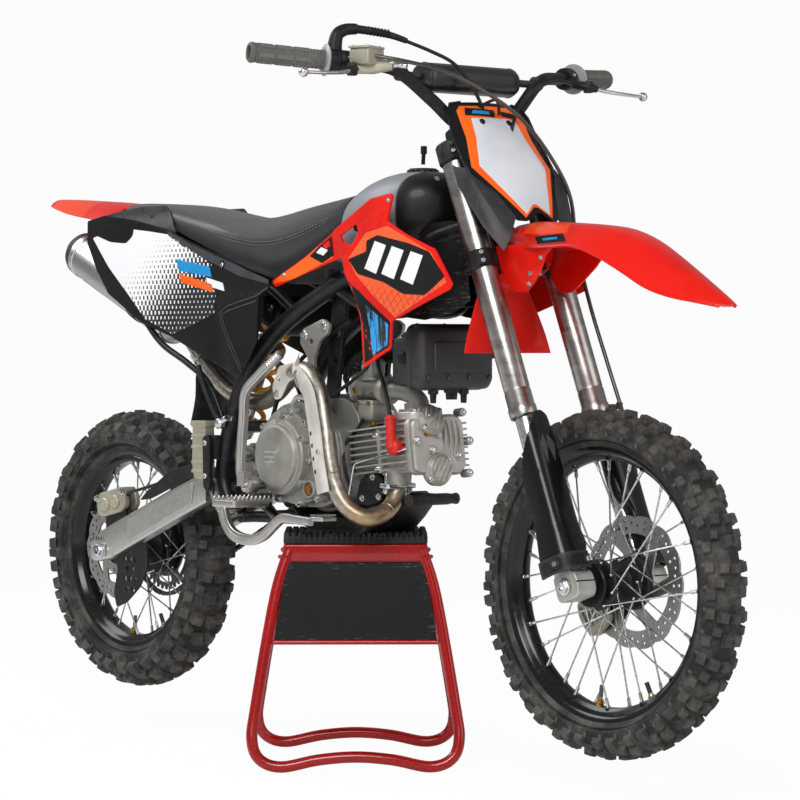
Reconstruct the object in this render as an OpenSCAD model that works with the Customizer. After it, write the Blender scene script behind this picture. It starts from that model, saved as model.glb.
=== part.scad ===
// Off-road motorcycle held level by a low paddock stand, both wheels clear of the floor.
// Frame: +X is forward, +Y is the rider's left, +Z is up. The origin is on the floor below the middle.

/* [Wheels] */
// front tyre radius over the knobs
front_tyre_r = 286; // [275:1:300]
// front tyre width over the knobs
front_tyre_w = 80; // [70:1:95]
// front rim radius over the flanges
front_rim_r = 226; // [215:1:235]
// rear tyre radius over the knobs
rear_tyre_r = 267; // [255:1:280]
// rear tyre width over the knobs
rear_tyre_w = 100; // [90:1:103]
// rear rim radius over the flanges
rear_rim_r = 192; // [182:1:200]
// thickness of the tyre carcass
tyre_wall = 8; // [5:0.5:12]
// thickness of the rim's metal
rim_wall = 3.5; // [2.5:0.5:5]
// number of spokes in a wheel, a multiple of four
spokes = 32; // [24:4:36]
// spoke diameter
spoke_d = 3.6; // [3:0.2:5]
// front hub barrel radius
front_hub_r = 20; // [18:1:26]
// rear hub barrel radius
rear_hub_r = 26; // [22:1:32]

/* [Axles and brakes] */
// diameter of both axles
axle_d = 16; // [14:1:20]
// bore through both axles, for a stand pin
axle_bore_d = 10; // [8:0.5:12]
// running clearance round a turning shaft
run_gap = 0.3; // [0.2:0.05:0.6]
// front disc radius
front_disc_r = 110; // [100:1:120]
// front disc distance from the middle of the wheel
front_disc_y = 55; // [52:1:57]
// rear disc radius
rear_disc_r = 95; // [85:1:105]
// disc thickness
disc_t = 3.6; // [3:0.2:5]
// distance of the rear disc and of the chain from the middle of the wheel
rear_side_y = 60.5; // [60:0.5:62]
// rear sprocket radius over the teeth
sprocket_r = 84; // [74:1:90]

/* [Steering] */
// lean of the steering axis from upright, in degrees
rake = 22; // [20:0.5:26]
// forward place of the steering axis at the lower yoke
head_x = 403; // [390:1:415]
// height of that point
head_z = 829; // [815:1:840]
// distance of the fork tubes in front of the steering axis
fork_offset = 38; // [34:1:44]
// distance of the axle in front of the fork tubes
axle_lead = 7; // [4:1:12]
// distance of the axle below the lower yoke, along the fork
axle_drop = 534.8; // [520:1:550]
// half the distance between the fork tubes
fork_half = 83; // [80:1:86]
// diameter of the upper fork tubes
upper_tube_d = 44; // [40:1:46]
// diameter of the sliding fork tubes
slider_d = 33; // [30:1:36]
// half the distance between the handlebar clamps
riser_half = 32; // [28:1:45]
// diameter of the steering stem
stem_d = 28; // [24:1:30]
// wall of the head tube
head_wall = 10; // [7:1:14]
// diameter of the foot casting of a fork leg
lug_d = 42; // [40:1:46]
// radius of the fork guards
guard_r = 33; // [31:0.5:35]
// length of the fork guards
guard_l = 250; // [200:5:260]
// clearance between the stem and the head tube
head_gap = 0.4; // [0.3:0.05:0.8]

/* [Controls] */
// handlebar tube diameter
bar_d = 22; // [20:0.5:24]
// half the width over the handlebar
bar_half = 405; // [380:1:420]
// wall of the handlebar tube
bar_wall = 2.5; // [2:0.5:4]
// outer diameter of a grip
grip_d = 32; // [29:0.5:36]
// length of a grip
grip_l = 118; // [105:1:125]

/* [Rear end] */
// place of the rear axle behind the origin
rear_axle_x = -650; // [-665:1:-640]
// height of the rear axle
rear_axle_z = 346; // [340:1:352]
// place of the swingarm pivot
pivot_x = -262; // [-270:1:-250]
// height of the swingarm pivot
pivot_z = 476; // [468:1:484]
// inner faces of the swingarm legs, from the middle
arm_in = 68; // [67:0.5:72]
// thickness of a swingarm leg
arm_t = 26; // [20:1:30]
// diameter of the shock spring
spring_d = 58; // [50:1:64]

/* [Body] */
// thickness of the moulded plastics
skin_t = 4; // [3:0.5:6]
// diameter of the main frame spars
spar_d = 34; // [28:1:38]
// diameter of the seat rails
rail_d = 20; // [16:1:24]
// radius of the muffler
muffler_r = 44; // [38:1:45]
// diameter of the exhaust pipe
pipe_d = 30; // [26:1:34]

/* [Engine] */
// half width of the skid plate
skid_half = 60; // [56:1:70]
// half width of the crankcase
case_half = 68; // [60:1:74]
// radius of the clutch cover
clutch_r = 71; // [62:1:76]
// half width of the cylinder over the fins
barrel_half = 56; // [48:1:60]

/* [Stand] */
// turn of the stand below the bike, in degrees
stand_yaw = 50; // [40:1:60]
// height of the stand's steel top
stand_h = 390; // [370:1:400]
// half the width of the stand's top
stand_half = 126; // [110:1:140]
// half the depth of the stand's top
stand_deep = 96; // [85:1:110]
// half the distance between the feet of one loop
foot_half = 128; // [115:1:140]
// half the distance between the two loops at the floor
foot_deep = 174; // [150:1:190]
// diameter of the stand's tube
stand_d = 20; // [18:1:25]
// thickness of the rubber pad
pad_t = 20; // [14:1:24]

/* [Controls] */
// diameter of the control cables
cable_d = 6; // [5:0.5:8]

/* [Hidden] */
$fn = 48;
seat_gap = 0.2;
belly_z = stand_h + pad_t + seat_gap;
chain_r = sprocket_r + 8;
pivot_half = arm_in - 8;
drive_x = -176;
drive_z = 508;
drive_r = 32;

// ---- curves and surfaces ----

function unit(v) = v / norm(v);

function knot(a, b, c, d, t) = 0.5 * (2 * b + (c - a) * t + (2 * a - 5 * b + 4 * c - d) * t * t
    + (3 * b - a - 3 * c + d) * t * t * t);

function curve(p, k = 4) = let (n = len(p) - 1)
    [for (i = [0:n - 1]) for (j = [0:k - 1])
        knot(p[max(i - 1, 0)], p[i], p[i + 1], p[min(i + 2, n)], j / k), p[n]];

function heading(p, i) = unit(p[min(i + 1, len(p) - 1)] - p[max(i - 1, 0)]);

function first_side(t) = unit(cross(t, abs(t[2]) < 0.9 ? [0, 0, 1] : [1, 0, 0]));

function sides(p, i = 0, s = undef) = let (t = heading(p, i),
    n = s == undef ? first_side(t) : unit(s - (s * t) * t))
    i == len(p) - 1 ? [[n, cross(t, n)]] : concat([[n, cross(t, n)]], sides(p, i + 1, n));

function at(r, i) = is_list(r) ? r[i] : r;

// a solid round bar along a path
module bent(path, d, k = 12) {
    f = sides(path);
    n = len(path);
    points = [for (i = [0:n - 1]) for (a = [0:k - 1])
        path[i] + at(d, i) / 2 * (cos(360 * a / k) * f[i][0] + sin(360 * a / k) * f[i][1])];
    ends = [[for (a = [0:k - 1]) a], [for (a = [k - 1:-1:0]) (n - 1) * k + a]];
    skin = [for (i = [0:n - 2]) for (a = [0:k - 1])
        [i * k + a, (i + 1) * k + a, (i + 1) * k + (a + 1) % k, i * k + (a + 1) % k]];
    polyhedron(points, concat(ends, skin));
}

// a solid through closed rings of equal count
module loft(rings) {
    n = len(rings);
    k = len(rings[0]);
    points = [for (r = rings) for (p = r) p];
    ends = [[for (a = [0:k - 1]) a], [for (a = [k - 1:-1:0]) (n - 1) * k + a]];
    skin = [for (i = [0:n - 2]) for (a = [0:k - 1])
        [i * k + a, (i + 1) * k + a, (i + 1) * k + (a + 1) % k, i * k + (a + 1) % k]];
    polyhedron(points, concat(ends, skin));
}

// a sheet of thickness t below a grid of points
module sheet(g, t) {
    n = len(g);
    m = len(g[0]);
    function clampi(i, hi) = max(0, min(hi, i));
    function normal(i, j) = unit(cross(
        g[clampi(i + 1, n - 1)][j] - g[clampi(i - 1, n - 1)][j],
        g[i][clampi(j + 1, m - 1)] - g[i][clampi(j - 1, m - 1)]));
    function o(i, j) = i * m + j;
    function u(i, j) = n * m + i * m + j;
    points = concat([for (i = [0:n - 1]) for (j = [0:m - 1]) g[i][j]],
        [for (i = [0:n - 1]) for (j = [0:m - 1]) g[i][j] - t * normal(i, j)]);
    top = [for (i = [0:n - 2]) for (j = [0:m - 2])
        [o(i, j), o(i, j + 1), o(i + 1, j + 1), o(i + 1, j)]];
    low = [for (i = [0:n - 2]) for (j = [0:m - 2])
        [u(i, j), u(i + 1, j), u(i + 1, j + 1), u(i, j + 1)]];
    side_a = [for (i = [0:n - 2]) [o(i, 0), o(i + 1, 0), u(i + 1, 0), u(i, 0)]];
    side_b = [for (i = [0:n - 2])
        [o(i, m - 1), u(i, m - 1), u(i + 1, m - 1), o(i + 1, m - 1)]];
    end_a = [for (j = [0:m - 2]) [o(0, j), u(0, j), u(0, j + 1), o(0, j + 1)]];
    end_b = [for (j = [0:m - 2])
        [o(n - 1, j), o(n - 1, j + 1), u(n - 1, j + 1), u(n - 1, j)]];
    polyhedron(points, concat(top, low, side_a, side_b, end_a, end_b));
}

// joins faceted bars and sheets into one skin
module joined() resize([0, 0, 0]) children();

// a round bar between two points
module rod(a, b, d) {
    v = b - a;
    translate(a)
        rotate([0, acos(v[2] / norm(v)), atan2(v[1], v[0])])
            cylinder(d = d, h = norm(v));
}

module both() {
    children();
    mirror([0, 1, 0]) children();
}

// an upright side profile in X and Z, from y0 to y1
module profile(points, y0, y1)
    translate([0, y1, 0]) rotate([90, 0, 0]) linear_extrude(y1 - y0) polygon(points);

// a round piece across the bike at x and z, from y0 to y1
module across(x, z, d, y0, y1)
    translate([x, y1, z]) rotate([90, 0, 0]) cylinder(d = d, h = y1 - y0);

// the frame of the steering axis: +Z up the stem, +X in front of it
module steered() translate([head_x, 0, head_z]) rotate([0, -rake, 0]) children();

// the same place as a point
function steered_spot(p) = [head_x + p[0] * cos(rake) - p[2] * sin(rake), p[1],
    head_z + p[0] * sin(rake) + p[2] * cos(rake)];

function from_head(x, y, z) = [head_x + x * cos(rake) - z * sin(rake), y,
    head_z + x * sin(rake) + z * cos(rake)];

front_axle = from_head(fork_offset + axle_lead, 0, -axle_drop);

module at_front() translate([front_axle[0], 0, front_axle[2]]) rotate([90, 0, 0]) children();
module at_rear() translate([rear_axle_x, 0, rear_axle_z]) rotate([90, 0, 0]) children();

// ---- wheels, each about its own axle ----

module tyre(r, w, rim) {
    h = w / 2;
    s = rim + 0.2;
    t = tyre_wall;
    rotate_extrude($fn = 96)
        polygon([[s, h * 0.62], [s + 14, h * 0.86], [(r + rim) / 2, h], [r - 16, h * 0.95],
            [r - 5, h * 0.6], [r, h * 0.25], [r, -h * 0.25], [r - 5, -h * 0.6],
            [r - 16, -h * 0.95], [(r + rim) / 2, -h], [s + 14, -h * 0.86], [s, -h * 0.62],
            [s, -h * 0.62 + t], [s + 16, -h * 0.86 + t], [(r + rim) / 2, -h + t],
            [r - 16 - t, -h * 0.95 + t], [r - 6 - t, -h * 0.5], [r - 6 - t, h * 0.5],
            [r - 16 - t, h * 0.95 - t], [(r + rim) / 2, h - t], [s + 16, h * 0.86 - t],
            [s, h * 0.62 - t]]);
}

module rim(r, w) {
    t = rim_wall;
    b = r - 3;
    rotate_extrude($fn = 96)
        polygon([[r, w / 2], [r, w / 2 - t], [b - 4, w / 2 - t], [b - 8, w / 2 - 12],
            [b - 18, w / 2 - 20], [b - 18, -w / 2 + 20], [b - 8, -w / 2 + 12],
            [b - 4, -w / 2 + t], [r, -w / 2 + t], [r, -w / 2], [b - 9, -w / 2],
            [b - 14, -w / 2 + 12], [b - 18 - t, -w / 2 + 17], [b - 18 - t, w / 2 - 17],
            [b - 14, w / 2 - 12], [b - 9, w / 2]]);
}

module hub(r, half, flange_r, flange_y) {
    difference() {
        union() {
            cylinder(r = r, h = 2 * half, center = true);
            for (s = [-1, 1])
                translate([0, 0, s * flange_y]) cylinder(r = flange_r, h = 6, center = true);
        }
        cylinder(d = axle_d + 2 * run_gap, h = 2 * half + 2, center = true);
    }
}

// crossed spokes from the hub's flanges to the rim's well
module lacing(rim_r, flange_r, flange_y) {
    reach = rim_r - 21;
    for (i = [0:spokes - 1]) {
        side = i % 2 == 0 ? 1 : -1;
        lean = floor(i / 2) % 2 == 0 ? 62 : -62;
        a = 360 * i / spokes;
        rod([(flange_r - 4) * cos(a - lean), (flange_r - 4) * sin(a - lean), side * flange_y],
            [reach * cos(a), reach * sin(a), side * 5], spoke_d);
    }
}

module front_tyre() color("#1b1b1c") at_front() tyre(front_tyre_r, front_tyre_w, front_rim_r);

module front_rim() color("#26272a") at_front() {
    rim(front_rim_r, 50);
    hub(front_hub_r, 50, 36, 28);
    // dust cover on the right end of the hub
    difference() {
        translate([0, 0, 43.5]) cylinder(r = front_hub_r + 16, h = 6);
        cylinder(d = axle_d + 2 * run_gap, h = 60);
    }
    lacing(front_rim_r, 36, 28);
}

module disc(r, inner, holes) {
    difference() {
        cylinder(r = r, h = disc_t, center = true);
        cylinder(r = inner, h = disc_t + 2, center = true);
        for (i = [0:holes - 1]) rotate(360 * i / holes)
            translate([r - 13, 0, 0]) cylinder(r = 6, h = disc_t + 2, center = true);
        for (i = [0:5]) rotate(60 * i + 30)
            translate([(r + inner) / 2 - 8, 0, 0]) cylinder(r = 11, h = disc_t + 2, center = true);
    }
}

module front_disc() color("#b9bcc0") at_front() translate([0, 0, -front_disc_y]) {
    disc(front_disc_r, 30, 18);
    translate([0, 0, 7]) difference() {
        cylinder(r = 44, h = 12, center = true);
        cylinder(r = front_hub_r + 0.2, h = 14, center = true);
    }
}

module rear_tyre() color("#1b1b1c") at_rear() tyre(rear_tyre_r, rear_tyre_w, rear_rim_r);

module rear_rim() color("#26272a") at_rear() {
    rim(rear_rim_r, 60);
    hub(rear_hub_r, 58, 46, 34);
    lacing(rear_rim_r, 46, 34);
}

module rear_disc() color("#b9bcc0") at_rear() translate([0, 0, rear_side_y - disc_t]) {
    disc(rear_disc_r, 34, 16);
    translate([0, 0, -6]) difference() {
        cylinder(r = 46, h = 10, center = true);
        cylinder(r = rear_hub_r + 0.2, h = 12, center = true);
    }
}

module rear_sprocket() color("#8f9296") at_rear() translate([0, 0, -rear_side_y]) {
    difference() {
        cylinder(r = sprocket_r, h = 5, center = true);
        cylinder(r = 30, h = 7, center = true);
        for (i = [0:5]) rotate(60 * i)
            translate([(sprocket_r + 30) / 2 + 4, 0, 0]) cylinder(r = 13, h = 7, center = true);
    }
    translate([0, 0, 8]) difference() {
        cylinder(r = 46, h = 12, center = true);
        cylinder(r = rear_hub_r + 0.2, h = 14, center = true);
    }
}

// ---- front end ----

module clamp_plate(z, h, tail) difference() {
    translate([0, 0, z]) linear_extrude(h) union() {
        for (s = [-1, 1]) translate([fork_offset, s * fork_half])
            circle(d = upper_tube_d + 12);
        polygon([[-tail, -20], [-tail, 20], [8, 44], [fork_offset - 18, fork_half],
            [fork_offset + 20, fork_half], [fork_offset, 44], [fork_offset, -44],
            [fork_offset + 20, -fork_half], [fork_offset - 18, -fork_half], [8, -44]]);
    }
    for (s = [-1, 1]) translate([fork_offset, s * fork_half, z - 1])
        cylinder(d = upper_tube_d, h = h + 2);
}

module triple_clamps() color("#2a2b2d") steered() {
    clamp_plate(20, 30, 24);
    clamp_plate(212, 28, 22);
    translate([0, 0, 21]) cylinder(d = stem_d, h = 225);
    translate([0, 0, 49]) cylinder(d = stem_d + 14, h = head_tube_lo - run_gap - 49);
    translate([0, 0, head_tube_hi + run_gap])
        cylinder(d = stem_d + 14, h = 213 - head_tube_hi - run_gap);
    translate([0, 0, 239]) cylinder(d = 34, h = 9, $fn = 6);
    for (s = [-1, 1]) translate([12, s * riser_half, 238]) {
        cylinder(d = 24, h = 36);
        translate([2, 0, 38]) cube([38, 26, 34], center = true);
    }
}

module fork_tubes() color("#c3c5c8") steered()
    for (s = [-1, 1]) translate([fork_offset, s * fork_half, 0]) {
        translate([0, 0, -242]) cylinder(d = upper_tube_d, h = 486);
        translate([0, 0, 244]) cylinder(d = upper_tube_d - 8, h = 6);
    }

module fork_lowers() color("#b6b8bb") steered()
    for (s = [-1, 1]) {
        translate([fork_offset, s * fork_half, -500]) cylinder(d = slider_d, h = 258);
        difference() {
            union() {
                translate([fork_offset, s * fork_half, -520]) cylinder(d = lug_d, h = 44);
                translate([fork_offset + axle_lead, s * fork_half, -axle_drop])
                    rotate([90, 0, 0]) cylinder(d = 46, h = 42, center = true);
            }
            translate([fork_offset + axle_lead, s * fork_half, -axle_drop])
                rotate([90, 0, 0]) cylinder(d = axle_d, h = 60, center = true);
        }
    }

module fork_guards() color("#222325") steered() for (s = [-1, 1])
    translate([fork_offset, s * fork_half, -505]) {
        difference() {
            translate([3, 0, 0]) cylinder(r = guard_r, h = guard_l);
            translate([3, 0, -1]) cylinder(r = guard_r - skin_t, h = guard_l + 2);
            translate([-60, -60, -1]) cube([48, 120, guard_l + 2]);
            translate([-60, s > 0 ? -70 : 10, -1]) cube([120, 60, guard_l + 2]);
        }
        difference() {
            translate([0, 0, 4]) cylinder(r = guard_r - 4, h = 10);
            translate([0, 0, 3]) cylinder(d = lug_d + 0.4, h = 12);
            translate([-60, s > 0 ? -80 : 10, 3]) cube([120, 70, 12]);
        }
    }

function arch(x, top, half, edge, n = 8) = [for (j = [0:n]) let (q = 2 * j / n - 1)
    [x, half * q, top - (top - edge) * pow(abs(q), 2.4)]];

module front_fender() color("#d8331f") joined() {
    sheet([for (r = [[436, 940, 34, 912], [480, 943, 54, 903], [527, 940, 70, 899],
        [580, 935, 78, 900], [633, 930, 79, 901], [683, 924, 76, 884], [733, 906, 70, 858],
        [780, 881, 61, 831], [822, 857, 50, 817], [866, 832, 36, 808], [902, 811, 19, 799],
        [918, 801, 6, 799]]) arch(r[0], r[1], r[2], r[3])], skin_t);
    sheet([for (r = [[392, 724, 97, 9], [390, 755, 87, 8], [389, 790, 72, 6],
        [388, 820, 58, 4], [394, 839, 47, 2], [415, 848, 44, 0], [440, 858, 44, 0],
        [456, 871, 44, 0], [464, 900, 42, 0], [470, 934, 36, 0]])
        [for (j = [0:6]) let (q = j / 3 - 1) [r[0] + r[3] * q * q, -r[2] * q, r[1]]]], skin_t);
    steered() translate([34, -24, 9]) cube([34, 48, 11.3]);
}

module number_plate() color("#1f2022") joined() {
    rows = [[0, 84, 10], [0.08, 92, 13], [0.3, 98, 16], [0.55, 86, 14], [0.78, 60, 8],
        [0.94, 40, 4], [1, 30, 2]];
    sheet([for (r = rows) [for (j = [0:8]) let (q = j / 4 - 1)
        [348 + 131 * r[0] - r[2] * q * q, r[1] * q, 1143 - 195 * r[0] - 0.67 * r[2] * q * q]]],
        skin_t);
    for (s = [-1, 1]) hull() {
        translate([404, s * 18, 1052]) cube([10, 10, 24], center = true);
        steered() translate([fork_offset + 16, s * 30, 226]) cube([6, 10, 20], center = true);
    }
}

bar_path = [[216, -bar_half, 1217], [250, -315, 1212], [283, -225, 1204], [303, -165, 1195],
    [321, -105, 1150], [331, -66, 1116], [334, -42, 1108], [335, 0, 1107], [334, 42, 1108],
    [331, 66, 1116], [321, 105, 1150], [303, 165, 1195], [283, 225, 1204], [250, 315, 1212],
    [216, bar_half, 1217]];

module handlebar() color("#202123") joined() difference() {
    union() {
        bent(curve(bar_path, 3), bar_d, 14);
        rod([300, -166, 1189], [300, 166, 1189], 13, $fn = 14);
    }
    for (s = [-1, 1]) rod([216, s * (bar_half + 1), 1217], [244, s * 331, 1212.8],
        bar_d - 2 * bar_wall, $fn = 14);
}

module bar_pad() color("#252628") difference() {
    translate([276, -112, 1163]) cube([46, 216, 50]);
    across(300, 1189, 13.6, -120, 120);
}

// a point on the straight end of the bar, at y
function on_bar(y) = let (t = (abs(y) - 225) / (bar_half - 225))
    [283 - 67 * t, y, 1204 + 13 * t];

module grips() color("#8a8c8f") both() difference() {
    union() {
        rod(on_bar(-bar_half - 2), on_bar(-bar_half + grip_l), grip_d);
        rod(on_bar(-bar_half + grip_l), on_bar(-bar_half + grip_l + 5), grip_d + 22);
    }
    rod(on_bar(-bar_half - 3), on_bar(-bar_half + grip_l + 8), bar_d + 0.6);
}

module hand_controls() color("#a9abae") joined() {
    both() {
        difference() {
            rod(on_bar(-272), on_bar(-246), bar_d + 16, $fn = 20);
            rod(on_bar(-280), on_bar(-240), bar_d + 0.5, $fn = 20);
        }
        bent(curve([on_bar(-256) + [16, 0, -4], [316, -268, 1190], [330, -300, 1183],
            [336, -345, 1179], [332, -387, 1178]], 3), 11, 8);
        translate([332, -387, 1178]) sphere(d = 17, $fn = 10);
    }
    translate([306, -236, 1214]) rotate([0, 0, 20]) cube([38, 52, 26], center = true);
    difference() {
        rod(on_bar(-284), on_bar(-272), 44, $fn = 20);
        rod(on_bar(-290), on_bar(-270), bar_d + 0.5, $fn = 20);
    }
    // throttle and clutch cables, down to the front of the upper yoke
    bent(curve([on_bar(-276) + [4, 0, 16], [268, -268, 1240], [271, -248, 1257],
        [275, -228, 1262], [293, -134, 1247], [310, -95, 1231], [329, -60, 1211],
        [342, -32, 1176], [354, -12, 1128], [366, -9, 1090],
        steered_spot([fork_offset + 2, -9, 234]), steered_spot([fork_offset + 1, -9, 224])], 3),
        cable_d, 8);
    bent(curve([[298, 246, 1195], [322, 190, 1196], [345, 120, 1180], [362, 66, 1150],
        [372, 36, 1112], [374, 26, 1080], steered_spot([fork_offset + 2, 22, 234]),
        steered_spot([fork_offset + 1, 22, 224])], 3), cable_d, 8);
}

module front_caliper() color("#9fa1a4") at_front() translate([0, 0, -front_disc_y])
    rotate([0, 0, 213]) difference() {
        union() {
            translate([66, -34, -18]) cube([62, 68, 36]);
            translate([20, -16, -26]) cube([60, 32, 9]);
            translate([26, 0, -22.5]) cylinder(d = 40, h = 7, center = true);
        }
        translate([0, 0, 0]) cylinder(r = front_disc_r + 4, h = disc_t + 8, center = true);
        translate([0, 0, -22]) cylinder(d = 30, h = 20, center = true);
    }

module front_axle() color("#8d9093") at_front() difference() {
    union() {
        cylinder(d = axle_d, h = 2 * fork_half + 52, center = true);
        for (s = [-1, 1]) {
            translate([0, 0, s * (fork_half + 24)]) cylinder(d = 26, h = 6, center = true);
            translate([0, 0, s * 56]) cylinder(d = 24, h = 11, center = true);
        }
    }
    cylinder(d = axle_bore_d, h = 300, center = true);
}

hose_path = [[322, -226, 1214], [352, -190, 1214], [385, -130, 1196], [404, -60, 1160],
    [410, 10, 1120], [418, 70, 1060], [438, 106, 990], [446, 115, 900], [478, 117, 800],
    [519, 119, 700], [559, 122, 600], [580, 123, 520], [584, 121, 450], [580, 112, 400],
    [566, 92, 356], [549, 70, 325]];

module brake_hose() color("#3a3026") bent(curve(hose_path, 3), 7, 8);

// ---- chassis ----

head_tube_lo = 56;
head_tube_hi = 206;
spar = [[352, -17, 940], [290, -44, 925], [190, -66, 893], [60, -78, 850], [-87, -80, 784],
    [-165, -82, 730], [-215, -83, 672], [-252, -84, 590], [-272, -85, 510], [-264, -85, 466],
    [-244, -78, 430]];

module frame() color("#232426") difference() {
    joined() {
        steered() translate([0, 0, head_tube_lo])
            cylinder(d = stem_d + 2 * head_gap + 2 * head_wall,
                h = head_tube_hi - head_tube_lo, $fn = 40);
        both() {
            bent(curve(spar, 3), spar_d, 12);
            bent(curve([[370, -14, 892], [300, -34, 850], [215, -52, 800], [120, -62, 800],
                [40, -74, 838]], 3), 24, 10);
            bent(curve([[-240, -78, 426], [-214, -58, 426], [-160, -48, 426], [-40, -46, 426],
                [84, -46, 426]], 2), rail_d, 10);
            hull() {
                translate([24, -64, 826]) cube([40, 8, 20], center = true);
                translate([4, -50, 650]) cube([30, 8, 16], center = true);
            }
        }
        bent(curve([[80, 8, 427], [112, 8, 456], [150, 8, 471], [206, 8, 471]], 3), 20, 10);
        across(206, 471, 20, -57, 57, $fn = 14);
        across(80, 426, 20, -50, 50, $fn = 14);
        for (p = [[-120, 764], [-252, 590], [-232, 425]])
            across(p[0], p[1], 20, -78, 78, $fn = 14);
        for (s = [-1, 1]) across(pivot_x, pivot_z, 46, s > 0 ? pivot_half + run_gap : -76,
            s > 0 ? 76 : -pivot_half - run_gap, $fn = 24);
        translate([-226, -22, 800]) cube([50, 44, 12]);
        for (s = [-1, 1]) translate([-222, s * 24 - 3, 786]) cube([34, 6, 40]);
        across(-120, 764, 30, -30, 30, $fn = 14);
        bent(curve([[-120, 0, 764], [-160, 0, 786], [-205, 0, 806]], 2), 26, 10);
    }
    across(pivot_x, pivot_z, 17, -120, 120);
    steered() cylinder(d = stem_d + 2 * head_gap, h = 300);
}

module subframe() color("#232426") joined() both() {
    bent(curve([[-96, -62, 800], [-180, -62, 850], [-300, -62, 880], [-430, -62, 908],
        [-560, -56, 938], [-640, -44, 962]], 2), rail_d, 10);
    bent(curve([[-254, -100, 598], [-296, -103, 668], [-358, -106, 706], [-436, -108.5, 744],
        [-500, -108.5, 806], [-540, -106, 880], [-558, -84, 928], [-562, -60, 938]], 2), 12, 10);
    translate([-256, -96, 600]) cube([30, 10, 26], center = true);
}

module engine_cases() color("#a7a9ab") {
    difference() {
        profile([[-190, 470], [-208, 515], [-192, 580], [-130, 634], [-40, 652], [20, 640],
            [46, 612], [46, 500], [20, 452], [-30, 440], [-66, 440],
            [-92, 458], [-150, 458]], -case_half, case_half);
        across(drive_x, drive_z, 2 * drive_r + 24, rear_side_y - 9, case_half + 1);
    }
    across(drive_x, drive_z, 2 * drive_r - 14, rear_side_y - 10, rear_side_y + 2);
    across(-82, 541, 2 * clutch_r, -112, -case_half + 1);
    across(-82, 541, 2 * clutch_r - 30, -119, -110);
    across(-92, 540, 124, case_half - 1, 96);
    across(6, 560, 70, -92, -case_half + 1);
}

module cylinder_head() color("#9b9da0") translate([46, 0, 546]) rotate([0, -6.3, 0]) {
    translate([-0.5, -42, -36]) cube([108, 84, 72]);
    for (i = [-3:3]) translate([0, -barrel_half, 11 * i - 2])
        cube([96, 2 * barrel_half, 4]);
    translate([94, -barrel_half, -52]) cube([86, 2 * barrel_half, 110]);
    for (z = [-46, 50]) translate([176, 0, z]) rotate([0, 90, 0]) cylinder(d = 52, h = 16);
    translate([176, -46, -34]) cube([8, 92, 76]);
    translate([129, 0, 56]) cylinder(d = 46, h = 14);
    translate([110, -34, -60]) rotate([0, 6, 0]) cylinder(d = 40, h = 20);
    translate([124, -barrel_half - 5, 8]) rotate([90, 0, 0]) cylinder(d = 20, h = 12,
        center = true);
}

module carburettor() color("#8f9194") {
    rod([20, -14, 664], [112, -14, 658], 50);
    translate([66, -14, 603]) cylinder(d = 46, h = 50);
    translate([66, -14, 680]) cylinder(d = 38, h = 34);
    joined() {
        bent(curve([[100, -14, 659], [146, -8, 656], [171, 0, 640], [172, 0, 622]], 3), 36, 12);
        bent(curve([[24, -12, 664], [-4, 0, 684], [0, 22, 712], [50, 36, 726], [110, 28, 716],
            [176, 10, 712]], 3), 38, 12);
    }
}

module airbox() color("#29292b") {
    hull() {
        translate([236, -86, 672]) cube([6, 172, 96]);
        translate([238, -78, 662]) cube([24, 156, 112]);
        translate([268, -82, 670]) cube([6, 164, 92]);
    }
    hull() {
        translate([172, -62, 672]) cube([4, 124, 72]);
        translate([235, -74, 666]) cube([4, 148, 92]);
    }
    for (y = [-40, 30]) translate([254, y, 640]) cylinder(d = 16, h = 30);
}

header_path = [[152, -32, 506], [153, -34, 488], [157, -50, 462], [160, -76, 446],
    [150, -106, 441], [128, -128, 460], [110, -137, 494], [97, -140, 540], [82, -137, 600],
    [56, -130, 660], [14, -121, 691], [-35, -108, 692], [-90, -84, 672], [-150, -60, 650], [-215, -48, 634],
    [-290, -50, 648], [-350, -55, 690], [-424, -58, 764]];

module exhaust_header() color("#b5a88a") joined() {
    bent(curve(header_path, 3), pipe_d, 14);
    bent(curve([for (p = [[104, -137, 520], [92, -139, 560], [80, -138, 610], [50, -131, 668],
        [10, -123, 696]]) p - [0, 13, 0]], 2), [for (i = [0:8]) 34], 10);
}

muffler_a = [-446, -58, 780];
muffler_b = [-744, -58, 913];

module muffler() color("#b3b4b6") difference() {
    union() {
        rod(muffler_a + [36, 0, -16], muffler_a + [4, 0, -2], 2 * muffler_r - 30);
        rod(muffler_a, muffler_b, 2 * muffler_r);
        rod(muffler_b, muffler_b + [-28, 0, 12.5], 2 * muffler_r - 16);
        translate([-560, -58, 866]) cube([30, 8, 66]);
    }
    rod(muffler_b + [-60, 0, 26.8], muffler_b + [60, 0, -26.8], 40);
}

function slab(x, top, half, low, n = 20, e = 2.8) = let (c = (top + low) / 2, h = (top - low) / 2)
    [for (a = [0:n - 1]) let (t = 360 * a / n)
        [x, half * sign(cos(t)) * pow(abs(cos(t)), 2 / e),
            c + h * sign(sin(t)) * pow(abs(sin(t)), 2 / e)]];

module tank_body(grow) loft([for (r = [[-20, 924, 50, 884], [20, 932, 60, 880],
    [62, 998, 84, 876], [93, 1014, 96, 872], [130, 1029, 103, 872], [173, 1037, 106, 878],
    [214, 1038, 104, 892], [244, 1034, 88, 912], [268, 1022, 62, 930], [284, 1000, 44, 950]])
        slab(r[0] + (r[0] < 0 ? -grow : 0), r[1] + grow, r[2] + grow, r[3] - grow)]);

module fuel_tank() color("#b9bbbd") joined() difference() {
    tank_body(0);
    both() bent(curve([[352, -17, 940], [290, -44, 925], [190, -66, 893], [60, -78, 850],
        [-87, -80, 784]], 2), spar_d + 2, 12);
}

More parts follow.
